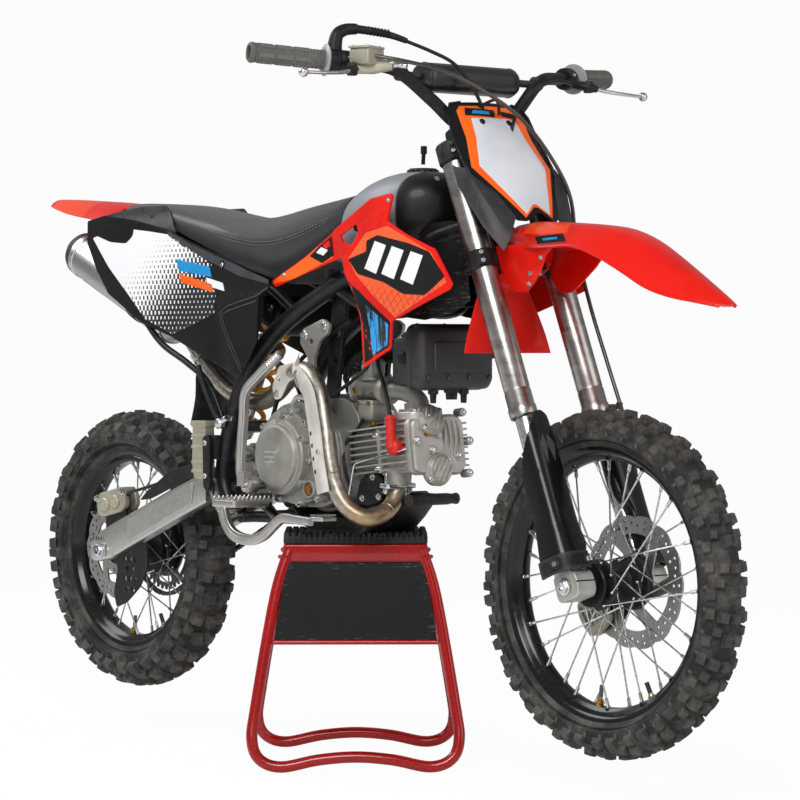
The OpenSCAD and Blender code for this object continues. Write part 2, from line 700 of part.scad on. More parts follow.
module seat() color("#2b2b2d") joined() difference() {
    loft([for (r = [[-628, 1000, 40, 984], [-606, 1004, 62, 980], [-560, 1003, 76, 976],
        [-481, 998, 86, 966], [-425, 991, 92, 949], [-302, 972, 96, 906],
        [-227, 968, 97, 882], [-125, 974, 97, 852], [-40, 986, 92, 888],
        [20, 994, 84, 918], [58, 999, 76, 940]]) slab(r[0], r[1], r[2], r[3], 20, 3.4)]);
    loft([for (r = [[-440, 946, 70, 850], [-302, 930, 80, 850], [-227, 924, 82, 840],
        [-125, 930, 82, 800], [-40, 942, 78, 840], [70, 952, 70, 840]])
        slab(r[0], r[1], r[2], r[3], 12, 4)]);
    tank_body(0.6);
}

// a side plastic cut from a flat sheet standing on the line from a to b
module side_sheet(a, b, points, t)
    translate([a[0], a[1], 0]) rotate([0, 0, atan2(b[1] - a[1], b[0] - a[0])])
        rotate([90, 0, 0]) linear_extrude(t) polygon(points);

module shroud() {
    difference() {
        side_sheet([-125, -105], [430, -150], [[558, 838], [552, 829], [393, 778], [384, 729],
            [297, 697], [300, 777], [246, 841], [216, 881], [30, 841], [20, 852], [120, 890],
            [207, 926], [332, 984], [390, 991], [395, 986], [378, 945], [438, 919],
            [514, 894]], skin_t);
        side_sheet([-125, -104], [430, -149], [[231, 925], [282, 943], [288, 910], [243, 908]],
            skin_t + 2);
    }
    rod([150, -100, 940], [150, -130, 940], 16);
    rod([60, -92, 862], [60, -122, 862], 16);
    rod([206, -62, 800], [206, -134, 800], 14);
}

module right_shroud() color("#d8331f") shroud();
module left_shroud() color("#d8331f") mirror([0, 1, 0]) shroud();

module side_panel() {
    side_sheet([-640, -112], [-110, -130], [[537, 835], [506, 782], [473, 678], [346, 717],
        [184, 773], [57, 813], [33, 832], [15, 861], [-26, 938], [-16, 972], [50, 970],
        [138, 953], [240, 941], [320, 896], [383, 873]], skin_t);
    side_sheet([-640, -112], [-110, -130], [[242, 946], [366, 903], [441, 882], [534, 850],
        [528, 832], [372, 868], [310, 890], [228, 934]], skin_t - 1);
    rod([-420, -70, 908], [-420, -122, 908], 14);
    rod([-600, -50, 948], [-600, -115, 948], 14);
    rod([-500, -110, 806], [-500, -119, 806], 12);
}

module right_side_panel() color("#d9dadb") side_panel();
module left_side_panel() color("#d9dadb") mirror([0, 1, 0]) side_panel();

module rear_fender() color("#e2451f") joined() {
    sheet([for (r = [[-942, 1022, 6, 1018], [-915, 1028, 24, 1014], [-870, 1026, 42, 1006],
        [-817, 1023, 58, 996], [-760, 1019, 70, 988], [-703, 1015, 80, 981],
        [-662, 1011, 86, 976], [-632, 1006, 88, 968]]) arch(r[0], r[1], r[2], r[3])], skin_t);
    sheet([for (r = [[-636, 1004, 86, 968], [-630, 976, 86, 952], [-560, 968, 84, 944],
        [-500, 962, 80, 938]]) arch(r[0], r[1], r[2], r[3])], skin_t);
    sheet([for (r = [[-468, 0, 940, 64], [-440, -4, 860, 50], [-422, -8, 760, 46],
        [-412, -20, 716, 46], [-408, -46, 690, 46], [-412, -46, 640, 46], [-430, -44, 590, 44]])
            [for (j = [0:4]) let (q = j / 2 - 1)
                [r[0] + 14 * (1 - q * q), r[3] + (r[1] - r[3]) * j / 4, r[2]]]],
        skin_t);
    both() hull() {
        translate([-600, -50, 952]) cube([20, 20, 10], center = true);
        translate([-600, -50, 964]) cube([20, 20, 10], center = true);
    }
}

module skid_plate() color("#242527") {
    difference() {
        profile([[-104, 450], [-76, 420], [-56, belly_z], [85, belly_z], [151, 466],
            [148, 470], [83, belly_z + skin_t], [-54, belly_z + skin_t], [-72, 423],
            [-100, 453]], -skid_half, skid_half);
        translate([120, -skid_half - 1, 440]) cube([60, skid_half - 26, 60]);
        for (x = [-30, 10, 50]) for (y = [-34, 0, 34])
            translate([x, y, belly_z - 1]) cylinder(d = 12, h = 12);
        for (y = [-34, 0, 34]) translate([116, y, 436]) rotate([0, 40, 0])
            cylinder(d = 12, h = 30, center = true);
    }
    both() profile([[-60, belly_z], [85, belly_z], [104, 430], [80, 432], [-66, 432]],
        -skid_half, -skid_half + skin_t);
    profile([[146, 460], [150, 470], [196, 474], [200, 464]], 44, 50);
    profile([[146, 460], [150, 470], [196, 474], [200, 464]], -24, -18);
}

module footpegs() color("#a3a5a8") both() {
    difference() {
        translate([-152, -208, 452]) cube([66, 84, 14]);
        for (i = [0:2]) translate([-144 + 20 * i, -200, 440]) cube([12, 66, 40]);
    }
    translate([-134, -126, 448]) cube([34, 16, 26]);
    rod([-117, -118, 455], [-150, -64, 430], 18);
}

module foot_levers() {
    color("#b4b6b8") joined() {
        bent(curve([[-240, -112, 446], [-222, -116, 416], [-190, -122, 396], [-140, -128, 390],
            [-95, -133, 400], [-52, -138, 424], [-28, -141, 434], [10, -145, 433],
            [56, -148, 431]], 3), 17, 10);
        translate([50, -150, 438]) cube([34, 40, 10], center = true);
        rod([-240, -76, 444], [-240, -121, 444], 20, $fn = 14);
    }
    color("#b4b6b8") joined() {
        rod([-127, -case_half, 489], [-127, -152, 489], 20, $fn = 14);
        bent(curve([[-127, -146, 489], [-141, -148, 510], [-138, -149, 560], [-131, -150, 610],
            [-122, -152, 654], [-78, -157, 684], [-8, -166, 721]], 3), 16, 10);
    }
    color("#b4b6b8") joined() {
        rod([-110, case_half, 474], [-110, 112, 474], 16, $fn = 14);
        bent(curve([[-110, 108, 474], [-70, 118, 466], [-10, 122, 460], [16, 124, 468]], 3),
            11, 10);
        rod([14, 118, 468], [14, 156, 468], 14, $fn = 14);
    }
}

module swingarm() color("#c4c6c8") let (ax = rear_axle_x, az = rear_axle_z) difference() {
    union() {
        for (s = [-1, 1]) profile([[ax - 34, az + 16], [ax - 34, az - 16], [ax - 14, az - 24],
            [ax + 30, az - 16], [-340, 440], [-318, 450], [-316, 486], [-330, 504],
            [ax + 10, az + 42]], s > 0 ? arm_in : -arm_in - arm_t,
            s > 0 ? arm_in + arm_t : -arm_in);
        profile([[-350, 458], [-350, 490], [-320, 492], [-320, 458]], -arm_in - 1, arm_in + 1);
        for (s = [-1, 1]) profile([[-330, 456], [-330, 492], [-275, 497], [-248, 492],
            [-240, 476], [-248, 460], [-275, 455]], s > 0 ? 30 : -arm_in + 10,
            s > 0 ? arm_in - 10 : -30);
        for (s = [-1, 1]) profile([[-352, 488], [-312, 490], [-316, 556], [-340, 556]],
            s * 26 - 5, s * 26 + 5);
        // guard plate in front of the disc
        translate([ax, 0, az]) profile([[5, 13], [132, 19], [135, -27], [109, -66], [67, -97],
            [34, -109], [25, -82], [38, -32]], -81, -77);
        across(pivot_x, pivot_z, 40, -pivot_half, pivot_half);
    }
    across(rear_axle_x, rear_axle_z, axle_d, -200, 200);
    across(-328, 536, 12, -60, 60);
}

module shock() {
    color("#c9a13a") rod([-222, 0, 778], [-312, 0, 592], spring_d);
    color("#55575a") {
        rod([-208, 0, 806], [-222, 0, 777], 40);
        rod([-311, 0, 593], [-328, 0, 550], 24);
        across(-328, 536, 11.6, -34, 34);
        across(-328, 536, 32, -18, 18);
    }
}

module rear_brake() color("#8c8e91") {
    difference() {
        union() {
            translate([rear_axle_x - 34, -77, rear_axle_z + 58]) rotate([0, -12, 0])
                cube([96, 38, 46]);
            translate([rear_axle_x, 0, rear_axle_z])
                profile([[-16, 18], [50, 40], [50, 84], [-16, 84]], -70, -64);
        }
        across(rear_axle_x, rear_axle_z, 2 * rear_disc_r + 8, -64, -50);
        across(rear_axle_x, rear_axle_z, 2 * rear_disc_r + 9, -56, -38);
    }
    translate([-318, -124, 494]) cube([38, 24, 104]);
    translate([-282, -126, 478]) cube([18, 20, 92]);
    translate([-296, -112, 530]) cube([30, 14, 44]);
}

module rear_axle() color("#8d9093") at_rear() difference() {
    union() {
        cylinder(d = axle_d, h = 2 * (arm_in + arm_t) + 24, center = true);
        for (s = [-1, 1]) {
            translate([0, 0, s * (arm_in + arm_t + 5.2)]) cylinder(d = 28, h = 10, center = true);
            translate([0, 0, s * (arm_in - 4)]) cylinder(d = 26, h = 8, center = true);
        }
    }
    cylinder(d = axle_bore_d, h = 300, center = true);
}

module chain() color("#3c3d3f") {
    a = atan2(drive_z - rear_axle_z, drive_x - rear_axle_x);
    l = norm([drive_z - rear_axle_z, drive_x - rear_axle_x]);
    b = asin((chain_r - drive_r) / l);
    r = chain_r;
    d = drive_r;
    arc_a = [for (i = [0:20]) let (t = 90 - b + (180 + 2 * b) * i / 20) [r * cos(t), r * sin(t)]];
    arc_b = [for (i = [0:10]) let (t = -90 + b + (180 - 2 * b) * i / 10)
        [l + d * cos(t), d * sin(t)]];
    translate([rear_axle_x, rear_side_y + 4.5, rear_axle_z]) rotate([0, -a, 0])
        rotate([90, 0, 0]) linear_extrude(9) difference() {
            offset(r = 5) polygon(concat(arc_a, arc_b));
            offset(r = -5) polygon(concat(arc_a, arc_b));
        }
}

// ---- paddock stand ----

module on_stand() rotate([0, 0, stand_yaw]) children();

module stand_loop() {
    w = foot_half + 51;
    z0 = stand_d / 2;
    bent(curve([[-stand_half + 10, -stand_deep, stand_h - 12],
        [-stand_half - 14, -stand_deep - 16, stand_h - 90],
        [-w + 6, -foot_deep + 24, 110], [-w, -foot_deep + 10, 54],
        [-w + 14, -foot_deep + 3, z0 + 12], [-foot_half, -foot_deep, z0],
        [-foot_half / 2, -foot_deep, z0 + 12], [0, -foot_deep, z0 + 17],
        [foot_half / 2, -foot_deep, z0 + 12], [foot_half, -foot_deep, z0],
        [w - 14, -foot_deep + 3, z0 + 12], [w, -foot_deep + 10, 54],
        [w - 6, -foot_deep + 24, 110], [stand_half + 14, -stand_deep - 16, stand_h - 90],
        [stand_half - 10, -stand_deep, stand_h - 12]], 3), stand_d, 12);
}

module stand_frame() color("#c8281e") on_stand() joined() {
    both() {
        stand_loop();
        translate([-stand_half, -stand_deep - 8, stand_h - 31]) cube([2 * stand_half, 26, 31]);
    }
    for (s = [-1, 1]) translate([s * (stand_half - 16) - 16, -stand_deep, stand_h - 31])
        cube([32, 2 * stand_deep, 31]);
    hull() {
        translate([-stand_half + 4, -stand_deep - 12, stand_h - 32])
            cube([2 * stand_half - 8, 3, 2]);
        translate([-stand_half - 18, -foot_deep + 42, 220]) cube([2 * stand_half + 36, 3, 2]);
    }
}

module stand_pad() color("#2c2c2e") on_stand() difference() {
    translate([-stand_half, -stand_deep - 6, stand_h])
        cube([2 * stand_half, 2 * stand_deep + 12, pad_t]);
    translate([0, 0, stand_h - 1]) cylinder(d = 60, h = pad_t + 2);
}

frame();
subframe();
engine_cases();
cylinder_head();
carburettor();
airbox();
exhaust_header();
muffler();
fuel_tank();
seat();
right_shroud();
left_shroud();
right_side_panel();
left_side_panel();
rear_fender();
skid_plate();
footpegs();
foot_levers();
swingarm();
shock();
rear_brake();
rear_axle();
chain();
stand_frame();
stand_pad();
triple_clamps();
fork_tubes();
fork_lowers();
fork_guards();
front_fender();
number_plate();
handlebar();
bar_pad();
grips();
hand_controls();
front_caliper();
front_axle();
brake_hose();
front_tyre();
front_rim();
front_disc();
rear_tyre();
rear_rim();
rear_disc();
rear_sprocket();
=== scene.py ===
import bpy
import bmesh
from math import asin, atan2, cos, pi, radians, sin, sqrt
from mathutils import Vector, Matrix


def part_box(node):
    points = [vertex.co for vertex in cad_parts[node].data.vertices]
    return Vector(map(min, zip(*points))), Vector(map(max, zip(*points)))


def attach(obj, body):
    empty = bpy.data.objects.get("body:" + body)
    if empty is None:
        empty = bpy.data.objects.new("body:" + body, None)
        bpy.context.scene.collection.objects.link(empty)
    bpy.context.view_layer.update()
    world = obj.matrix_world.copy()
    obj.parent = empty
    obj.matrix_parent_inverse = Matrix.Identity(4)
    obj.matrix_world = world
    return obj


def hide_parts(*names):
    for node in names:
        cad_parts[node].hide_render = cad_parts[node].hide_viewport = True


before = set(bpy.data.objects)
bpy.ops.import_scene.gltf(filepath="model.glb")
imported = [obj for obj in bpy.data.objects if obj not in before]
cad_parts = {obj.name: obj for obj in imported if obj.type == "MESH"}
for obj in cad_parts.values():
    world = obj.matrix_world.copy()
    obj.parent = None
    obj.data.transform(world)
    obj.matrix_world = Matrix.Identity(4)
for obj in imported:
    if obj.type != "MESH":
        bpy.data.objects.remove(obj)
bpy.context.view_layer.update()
mm = 0.001  # shapes below are written in millimetres
print("frame loaded with", len(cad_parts), "nodes")


def middle(node):
    low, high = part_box(node)
    return (low + high) / 2 / mm


frontAxle = middle("front_axle")
rearAxle = middle("rear_axle")
steering = {"x": 403.0, "z": 829.0, "rake": 22.0, "offset": 38.0, "half": 83.0, "lead": 7.0}


def aim(spot, along=(0, 0, 1)):  # a place whose own Z points along a direction
    turn = Vector(along).to_track_quat("Z", "Y").to_matrix().to_4x4()
    return Matrix.Translation(Vector(spot)) @ turn


def shift(x, y, z):
    return Matrix.Translation((x, y, z))


def swivel(angle, axis="Z"):  # a turn in degrees
    return Matrix.Rotation(radians(angle), 4, axis)


headPlace = shift(steering["x"], 0, steering["z"]) @ swivel(-steering["rake"], "Y")
frontWheelPlace = Matrix.Translation(frontAxle) @ swivel(90, "X")
rearWheelPlace = Matrix.Translation(rearAxle) @ swivel(90, "X")


def fromHead(x, y, z):
    return headPlace @ Vector((x, y, z))


lookAhead = Matrix(((0, 0, 1, 0), (1, 0, 0, 0), (0, 1, 0, 0), (0, 0, 0, 1)))  # local X, Y, Z to Y, Z, X


def onLeg(s):  # a fork leg's middle line, at the lower end of the steering head
    return headPlace @ shift(steering["offset"], s * steering["half"], 0)


# ---- outlines and solids ----

def circle(r, n=32, x=0.0, y=0.0):
    return [(x + r * cos(2 * pi * i / n), y + r * sin(2 * pi * i / n)) for i in range(n)]


def smoothPath(points, k=6):
    p = [Vector(q) for q in points]
    n = len(p)
    out = []
    for i in range(n - 1):
        a, b, c, d = p[max(i - 1, 0)], p[i], p[i + 1], p[min(i + 2, n - 1)]
        for j in range(k):
            t = j / k
            out.append(0.5 * (2 * b + (c - a) * t + (2 * a - 5 * b + 4 * c - d) * t * t
                + (3 * b - a - 3 * c + d) * t ** 3))
    out.append(p[-1])
    return out


def rounded(points, r, k=4):  # an outline with its corners rounded
    out = []
    n = len(points)
    for i in range(n):
        a, b, c = (Vector(points[j % n]) for j in (i - 1, i, i + 1))
        u, v = a - b, c - b
        q = min(r[i] if isinstance(r, (list, tuple)) else r, u.length * 0.45, v.length * 0.45)
        s, e = b + u.normalized() * q, b + v.normalized() * q
        for j in range(k + 1):
            t = j / k
            out.append(tuple(s * (1 - t) ** 2 + b * 2 * t * (1 - t) + e * t * t))
    return out


def tube(path, r, k=12, closed=False, flat=1.0):  # a bar along a path; r may change on the way
    p = [Vector(q) for q in path]
    n = len(p)
    radii = [r] * n if isinstance(r, (int, float)) else ([r(i / (n - 1)) for i in range(n)] if callable(r) else r)
    points, faces, side = [], [], None
    for i in range(n):
        ahead = (p[(i + 1) % n] - p[(i - 1) % n]) if closed else (p[min(i + 1, n - 1)] - p[max(i - 1, 0)])
        ahead.normalize()
        if side is None:
            side = ahead.cross(Vector((0, 0, 1)) if abs(ahead.z) < 0.9 else Vector((1, 0, 0)))
        side = (side - ahead * side.dot(ahead)).normalized()
        up = ahead.cross(side)
        for j in range(k):
            a = 2 * pi * j / k
            points.append(p[i] + radii[i] * (cos(a) * side + sin(a) * up * flat))
    for i in range(n if closed else n - 1):
        for j in range(k):
            a, b = i * k, ((i + 1) % n) * k
            faces.append((a + j, a + (j + 1) % k, b + (j + 1) % k, b + j))
    if not closed:
        faces.append(tuple(range(k))[::-1])
        faces.append(tuple((n - 1) * k + j for j in range(k)))
    return points, faces


def rod(a, b, r, k=16):
    return tube([a, b], r, k)


def bend(points, k, r, n, **more):  # a bar along a smooth path through points, k steps between two of them
    return tube(smoothPath(points, k), r, n, **more)


def lathe(profile, k=48, closed=False):  # (radius, height) points turned about Z
    points, faces = [], []
    m = len(profile)
    for i in range(k):
        a = radians(360) * i / k
        for r, z in profile:
            points.append((r * cos(a), r * sin(a), z))
    for i in range(k):
        a, b = i * m, ((i + 1) % k) * m
        for j in range(m if closed else m - 1):
            c = (j + 1) % m
            faces.append((a + j, b + j, b + c, a + c))
    if not closed:
        for j in (0, m - 1):
            if profile[j][0] > 0.01:
                faces.append(tuple(i * m + j for i in range(k)))
    return points, faces


def loft(rings, closed=True):
    n, k = len(rings), len(rings[0])
    points = [Vector(p) for ring in rings for p in ring]
    faces = []
    for i in range(n - 1):
        for j in range(k if closed else k - 1):
            c = (j + 1) % k
            faces.append((i * k + j, i * k + c, (i + 1) * k + c, (i + 1) * k + j))
    if closed:
        faces.append(tuple(range(k)))
        faces.append(tuple((n - 1) * k + j for j in range(k)))
    return points, faces


def block(size, center=(0, 0, 0)):
    x, y, z = (s / 2 for s in size)
    cx, cy, cz = center
    low = [(cx - x, cy - y, cz - z), (cx + x, cy - y, cz - z), (cx + x, cy + y, cz - z), (cx - x, cy + y, cz - z)]
    top = [(a, b, cz + z) for a, b, _ in low]
    return low + top, [(3, 2, 1, 0), (4, 5, 6, 7), (0, 1, 5, 4), (1, 2, 6, 5), (2, 3, 7, 6), (3, 0, 4, 7)]


def plate(outline, holes=(), t=4.0, edge=0.5, parts=1):  # a flat plate in X and Y, with holes, its edges eased
    data = bpy.data.curves.new("plate", "CURVE")
    data.dimensions, data.fill_mode = "2D", "BOTH"
    data.extrude, data.bevel_depth, data.bevel_resolution, data.offset = max(t / 2 - edge, 0.01), edge, parts, -edge
    for loop in [outline, *holes]:
        spline = data.splines.new("POLY")
        spline.points.add(len(loop) - 1)
        for point, q in zip(spline.points, loop):
            point.co = (q[0], q[1], 0, 1)
        spline.use_cyclic_u = True
    holder = bpy.data.objects.new("plate", data)
    mesh = holder.to_mesh()
    points = [v.co.copy() for v in mesh.vertices]
    faces = [tuple(f.vertices) for f in mesh.polygons]
    holder.to_mesh_clear()
    bpy.data.objects.remove(holder)
    bpy.data.curves.remove(data)
    return points, faces


def sleeve(inner, outer, low, high, k):
    return lathe([(inner, low), (outer, low), (outer, high), (inner, high)], k, closed=True)


def stub(r, low, high, small, top, k):  # a round stub with an eased, closed top
    return lathe([(r, low), (r, high), (small, top), (0.02, top)], k)


def oblong(x0, y0, x1, y1, r, k):
    return rounded([(x0, y0), (x1, y0), (x1, y1), (x0, y1)], r, k)


def ball(r, k=16):
    return lathe([(max(r * cos(radians(a)), 0.02), r * sin(radians(a))) for a in range(-90, 91, 18)], k)


def hexBolt(d, h, washer=True):  # a hexagon head standing on z = 0
    q = d / 2
    head = lathe([(q * 0.98, 0), (q * 0.98, h * 0.8), (q * 0.86, h)], 6)
    if not washer:
        return head
    points, faces = lathe([(q * 1.3, -0.5), (q * 1.3, h * 0.18), (q * 0.9, h * 0.22)], 20)
    start = len(head[0])
    return head[0] + points, head[1] + [tuple(i + start for i in f) for f in faces]


def screw(d, h=2.2):  # a domed head with a six-sided pocket
    q = d / 2
    return lathe([(q, -0.5), (q, h * 0.5), (q * 0.8, h), (q * 0.42, h), (q * 0.38, h * 0.3), (0.02, h * 0.3)], 12)


def moved(solid, place):
    return [place @ Vector(p) for p in solid[0]], solid[1]


def mirrored(solid):
    return [Vector((p[0], -p[1], p[2])) for p in solid[0]], [tuple(reversed(f)) for f in solid[1]]


def patch(outline, shape, step=12.0, holes=(), t=0.0, lift=0.0):
    # a flat outline cut into small cells, then laid on a curved surface; shape(u, v, out) gives the place
    work = bmesh.new()
    loops = []
    for loop in [outline, *holes]:
        ring = [work.verts.new((p[0], p[1], 0)) for p in loop]
        loops += [work.edges.new((ring[i], ring[(i + 1) % len(ring)])) for i in range(len(ring))]
    bmesh.ops.triangle_fill(work, edges=loops, use_beauty=True)
    for axis in (0, 1):
        values = [v.co[axis] for v in work.verts]
        low, high = min(values), max(values)
        n = int((high - low) / step)
        for i in range(1, n + 1):
            at, normal = [0.0, 0.0, 0.0], [0.0, 0.0, 0.0]
            at[axis], normal[axis] = low + (high - low) * i / (n + 1), 1.0
            bmesh.ops.bisect_plane(work, geom=work.verts[:] + work.edges[:] + work.faces[:], dist=0.01,
                plane_co=at, plane_no=normal)
    work.verts.index_update()
    flat = [(v.co.x, v.co.y) for v in work.verts]
    faces = [tuple(v.index for v in f.verts) for f in work.faces]
    rims = [(e.verts[0].index, e.verts[1].index) for e in work.edges if len(e.link_faces) == 1]
    work.free()
    points = [Vector(shape(u, v, lift)) for u, v in flat]
    if t:
        n = len(points)
        points += [Vector(shape(u, v, lift - t)) for u, v in flat]
        faces = faces + [tuple(reversed([i + n for i in f])) for f in faces]
        faces += [(a, b, b + n, a + n) for a, b in rims]
    return points, faces


# ---- joining solids into a piece ----

class Piece:
    def __init__(self):
        self.points, self.faces, self.paints, self.used = [], [], [], []

    def add(self, solid, paint, place=None, both=False):
        points, faces = moved(solid, place) if place is not None else solid
        if paint not in self.used:
            self.used.append(paint)
        index = self.used.index(paint)
        start = len(self.points)
        self.points += [Vector(p) for p in points]
        self.faces += [tuple(i + start for i in f) for f in faces]
        self.paints += [index] * len(faces)
        if both:
            self.add(mirrored((points, faces)), paint)
        return self

    def build(self, name, body, stands, edge=0.0, parts=2, smooth=35):
        mesh = bpy.data.meshes.new(name)
        mesh.from_pydata([p * mm for p in self.points], [], self.faces)
        mesh.polygons.foreach_set("material_index", self.paints)
        for paint in self.used:
            mesh.materials.append(paint)
        work = bmesh.new()
        work.from_mesh(mesh)
        bmesh.ops.recalc_face_normals(work, faces=work.faces[:])
        work.to_mesh(mesh)
        work.free()
        thing = bpy.data.objects.new(name, mesh)
        bpy.context.scene.collection.objects.link(thing)
        if edge:
            m = thing.modifiers.new("edge", "BEVEL")
            m.width, m.segments, m.limit_method, m.angle_limit = edge * mm, parts, "ANGLE", radians(38)
            m.use_clamp_overlap = True
            bpy.context.view_layer.update()
            made = bpy.data.meshes.new_from_object(thing.evaluated_get(bpy.context.evaluated_depsgraph_get()))
            thing.modifiers.clear()
            thing.data = made
            made.name = name
            bpy.data.meshes.remove(mesh)
        thing.data.shade_smooth()
        thing.data.set_sharp_from_angle(angle=radians(smooth))
        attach(thing, body)
        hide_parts(*stands)
        return thing


# ---- finishes ----

def tone(code):  # a colour written as #rrggbb
    parts = [int(code[i:i + 2], 16) / 255 for i in (1, 3, 5)]
    return tuple(c / 12.92 if c <= 0.04045 else ((c + 0.055) / 1.055) ** 2.4 for c in parts) + (1.0,)


class Value:  # a number or colour that changes over a surface
    def __init__(self, finish, socket):
        self.finish, self.socket = finish, socket

    def use(self, operation, *others):
        return self.finish.node("ShaderNodeMath", {"operation": operation}, dict(enumerate(others)))

    def __add__(self, other):
        return self.use("ADD", self, other)

    def __radd__(self, other):
        return self.use("ADD", other, self)

    def __sub__(self, other):
        return self.use("SUBTRACT", self, other)

    def __rsub__(self, other):
        return self.use("SUBTRACT", other, self)

    def __mul__(self, other):
        return self.use("MULTIPLY", self, other)

    def __rmul__(self, other):
        return self.use("MULTIPLY", other, self)

    def __truediv__(self, other):
        return self.use("DIVIDE", self, other)

    def __mod__(self, other):
        return self.use("FLOORED_MODULO", self, other)

    def size(self):
        return self.use("ABSOLUTE", self)

    def wave(self):
        return self.use("SINE", self)

    def smaller(self, other):
        return self.use("MINIMUM", self, other)

    def larger(self, other):
        return self.use("MAXIMUM", self, other)

    def step(self, low, high, a=0.0, b=1.0):  # runs smoothly from a to b between low and high
        return self.finish.node("ShaderNodeMapRange", {"interpolation_type": "SMOOTHSTEP"},
            {0: self, 1: low, 2: high, 3: a, 4: b})


class Finish:
    def __init__(self, name, owner=None):
        self.owner = owner or bpy.data.materials.new(name)
        self.owner.use_nodes = True
        self.tree = self.owner.node_tree
        self.tree.nodes.clear()

    def node(self, kind, settings=None, inputs=None, output=0):
        made = self.tree.nodes.new(kind)
        for name, value in (settings or {}).items():
            setattr(made, name, value)
        for name, value in (inputs or {}).items():
            if isinstance(value, Value):
                self.tree.links.new(value.socket, made.inputs[name])
            else:
                made.inputs[name].default_value = value
        return Value(self, made.outputs[output]) if made.outputs else None

    def place(self, stretch=(1, 1, 1), turn=(0, 0, 0)):
        spot = self.node("ShaderNodeTexCoord", output=3)
        return self.node("ShaderNodeMapping", None, {0: spot, 2: tuple(radians(a) for a in turn), 3: stretch})

    def axes(self):
        spot = self.node("ShaderNodeTexCoord", output=3)
        return [self.node("ShaderNodeSeparateXYZ", None, {0: spot}, i) for i in range(3)]

    def noise(self, scale, detail=3.0, rough=0.5, spot=None, twist=0.0):
        return self.node("ShaderNodeTexNoise", None, {"Vector": spot or self.place(), "Scale": scale,
            "Detail": detail, "Roughness": rough, "Distortion": twist})

    def cells(self, scale):
        return self.node("ShaderNodeTexVoronoi", None, {"Vector": self.place(), "Scale": scale})

    def mix(self, a, b, amount):
        return self.node("ShaderNodeMix", {"data_type": "RGBA"}, {0: amount, 6: a, 7: b}, 2)

    def edges(self):  # light on outer edges, dark in corners
        return self.node("ShaderNodeNewGeometry", output="Pointiness")

    def done(self, colour, rough=0.5, metal=0.0, bump=None, strength=0.3, depth=0.001, **fixed):
        inputs = {"Base Color": colour, "Roughness": rough, "Metallic": metal, **fixed}
        if bump is not None:
            inputs["Normal"] = self.node("ShaderNodeBump", None, {"Strength": strength,
                "Distance": depth, "Height": bump})
        skin = self.node("ShaderNodeBsdfPrincipled", None, inputs)
        self.node("ShaderNodeOutputMaterial", None, {0: skin})
        return self.owner


# ---- camera, floor and light ----

stageSet = {"lens": 140.65, "spot": (4.2609, -3.5648, 0.7323), "turn": 49.27, "tip": -0.95, "floor": "#ffffff",
    "world": 0.34, "key": 200.0, "fill": 45.0, "rim": 90.0}


def makeCamera():
    data = bpy.data.cameras.new("camera")
    data.lens, data.sensor_width = stageSet["lens"], 36
    data.clip_end = 100
    thing = bpy.data.objects.new("camera", data)
    bpy.context.scene.collection.objects.link(thing)
    a, e = radians(stageSet["turn"]), radians(stageSet["tip"])
    ahead = Vector((-sin(a) * cos(e), cos(a) * cos(e), sin(e)))
    thing.matrix_world = Matrix.Translation(stageSet["spot"]) @ ahead.to_track_quat("-Z", "Y").to_matrix().to_4x4()
    bpy.context.scene.camera = thing


def lamp(name, spot, target, size, power):
    data = bpy.data.lights.new(name, "AREA")
    data.shape, data.size, data.energy = "DISK", size, power
    thing = bpy.data.objects.new(name, data)
    bpy.context.scene.collection.objects.link(thing)
    thing.location = spot
    thing.rotation_euler = (Vector(target) - Vector(spot)).to_track_quat("-Z", "Y").to_euler()


def makeStage():
    air = Finish("studio", bpy.data.worlds.new("studio"))
    bpy.context.scene.world = air.owner
    seen, through = (air.node("ShaderNodeLightPath", output=name) for name in ("Is Camera Ray",
        "Is Transmission Ray"))
    plain = air.node("ShaderNodeBackground", None, {0: (1, 1, 1, 1), 1: stageSet["world"]})
    bright = air.node("ShaderNodeBackground", None, {0: (1, 1, 1, 1), 1: 1.0})
    both = air.node("ShaderNodeMixShader", None, {0: seen.larger(through), 1: plain, 2: bright})
    air.node("ShaderNodeOutputWorld", None, {0: both})
    floor = Finish("paleFloor")
    ray = floor.node("ShaderNodeLightPath", output="Is Camera Ray")
    grain = floor.noise(3.0)
    shade = floor.mix(tone("#fbfbfb"), tone(stageSet["floor"]), grain)
    skin = floor.node("ShaderNodeBsdfPrincipled", None, {"Base Color": shade, "Roughness": 0.9,
        "Specular IOR Level": 0.1})
    glow = floor.node("ShaderNodeEmission", None, {0: (1, 1, 1, 1), 1: 1.0})
    shown = floor.node("ShaderNodeMixShader", None, {0: ray * 0.95, 1: skin, 2: glow})
    floor.node("ShaderNodeOutputMaterial", None, {0: shown})
    mesh = bpy.data.meshes.new("floor")
    points, n = [], 24
    for i in range(n):  # flat, then curving up far behind
        q = i / (n - 1)
        points += [(x, -8 + 26 * q, -0.0005 + max(0.0, q - 0.8) ** 2 * 160) for x in (-14, 14)]
    faces = [(2 * i, 2 * i + 1, 2 * i + 3, 2 * i + 2) for i in range(n - 1)]
    mesh.from_pydata(points, [], faces)
    mesh.materials.append(floor.owner)
    mesh.shade_smooth()
    thing = bpy.data.objects.new("floor", mesh)
    thing.rotation_euler = (0, 0, radians(stageSet["turn"]))
    bpy.context.scene.collection.objects.link(thing)
    lamp("key", (3.2, -3.6, 3.6), (0, 0, 0.6), 2.6, stageSet["key"])
    lamp("fill", (4.6, 1.6, 2.2), (0, 0, 0.6), 3.0, stageSet["fill"])
    lamp("rim", (-2.6, -1.6, 3.4), (0, 0, 0.8), 2.4, stageSet["rim"])
    bpy.context.scene.view_settings.view_transform = "Standard"


makeCamera()
makeStage()
print("stage ready")


# ---- finishes of the bike and its stand ----

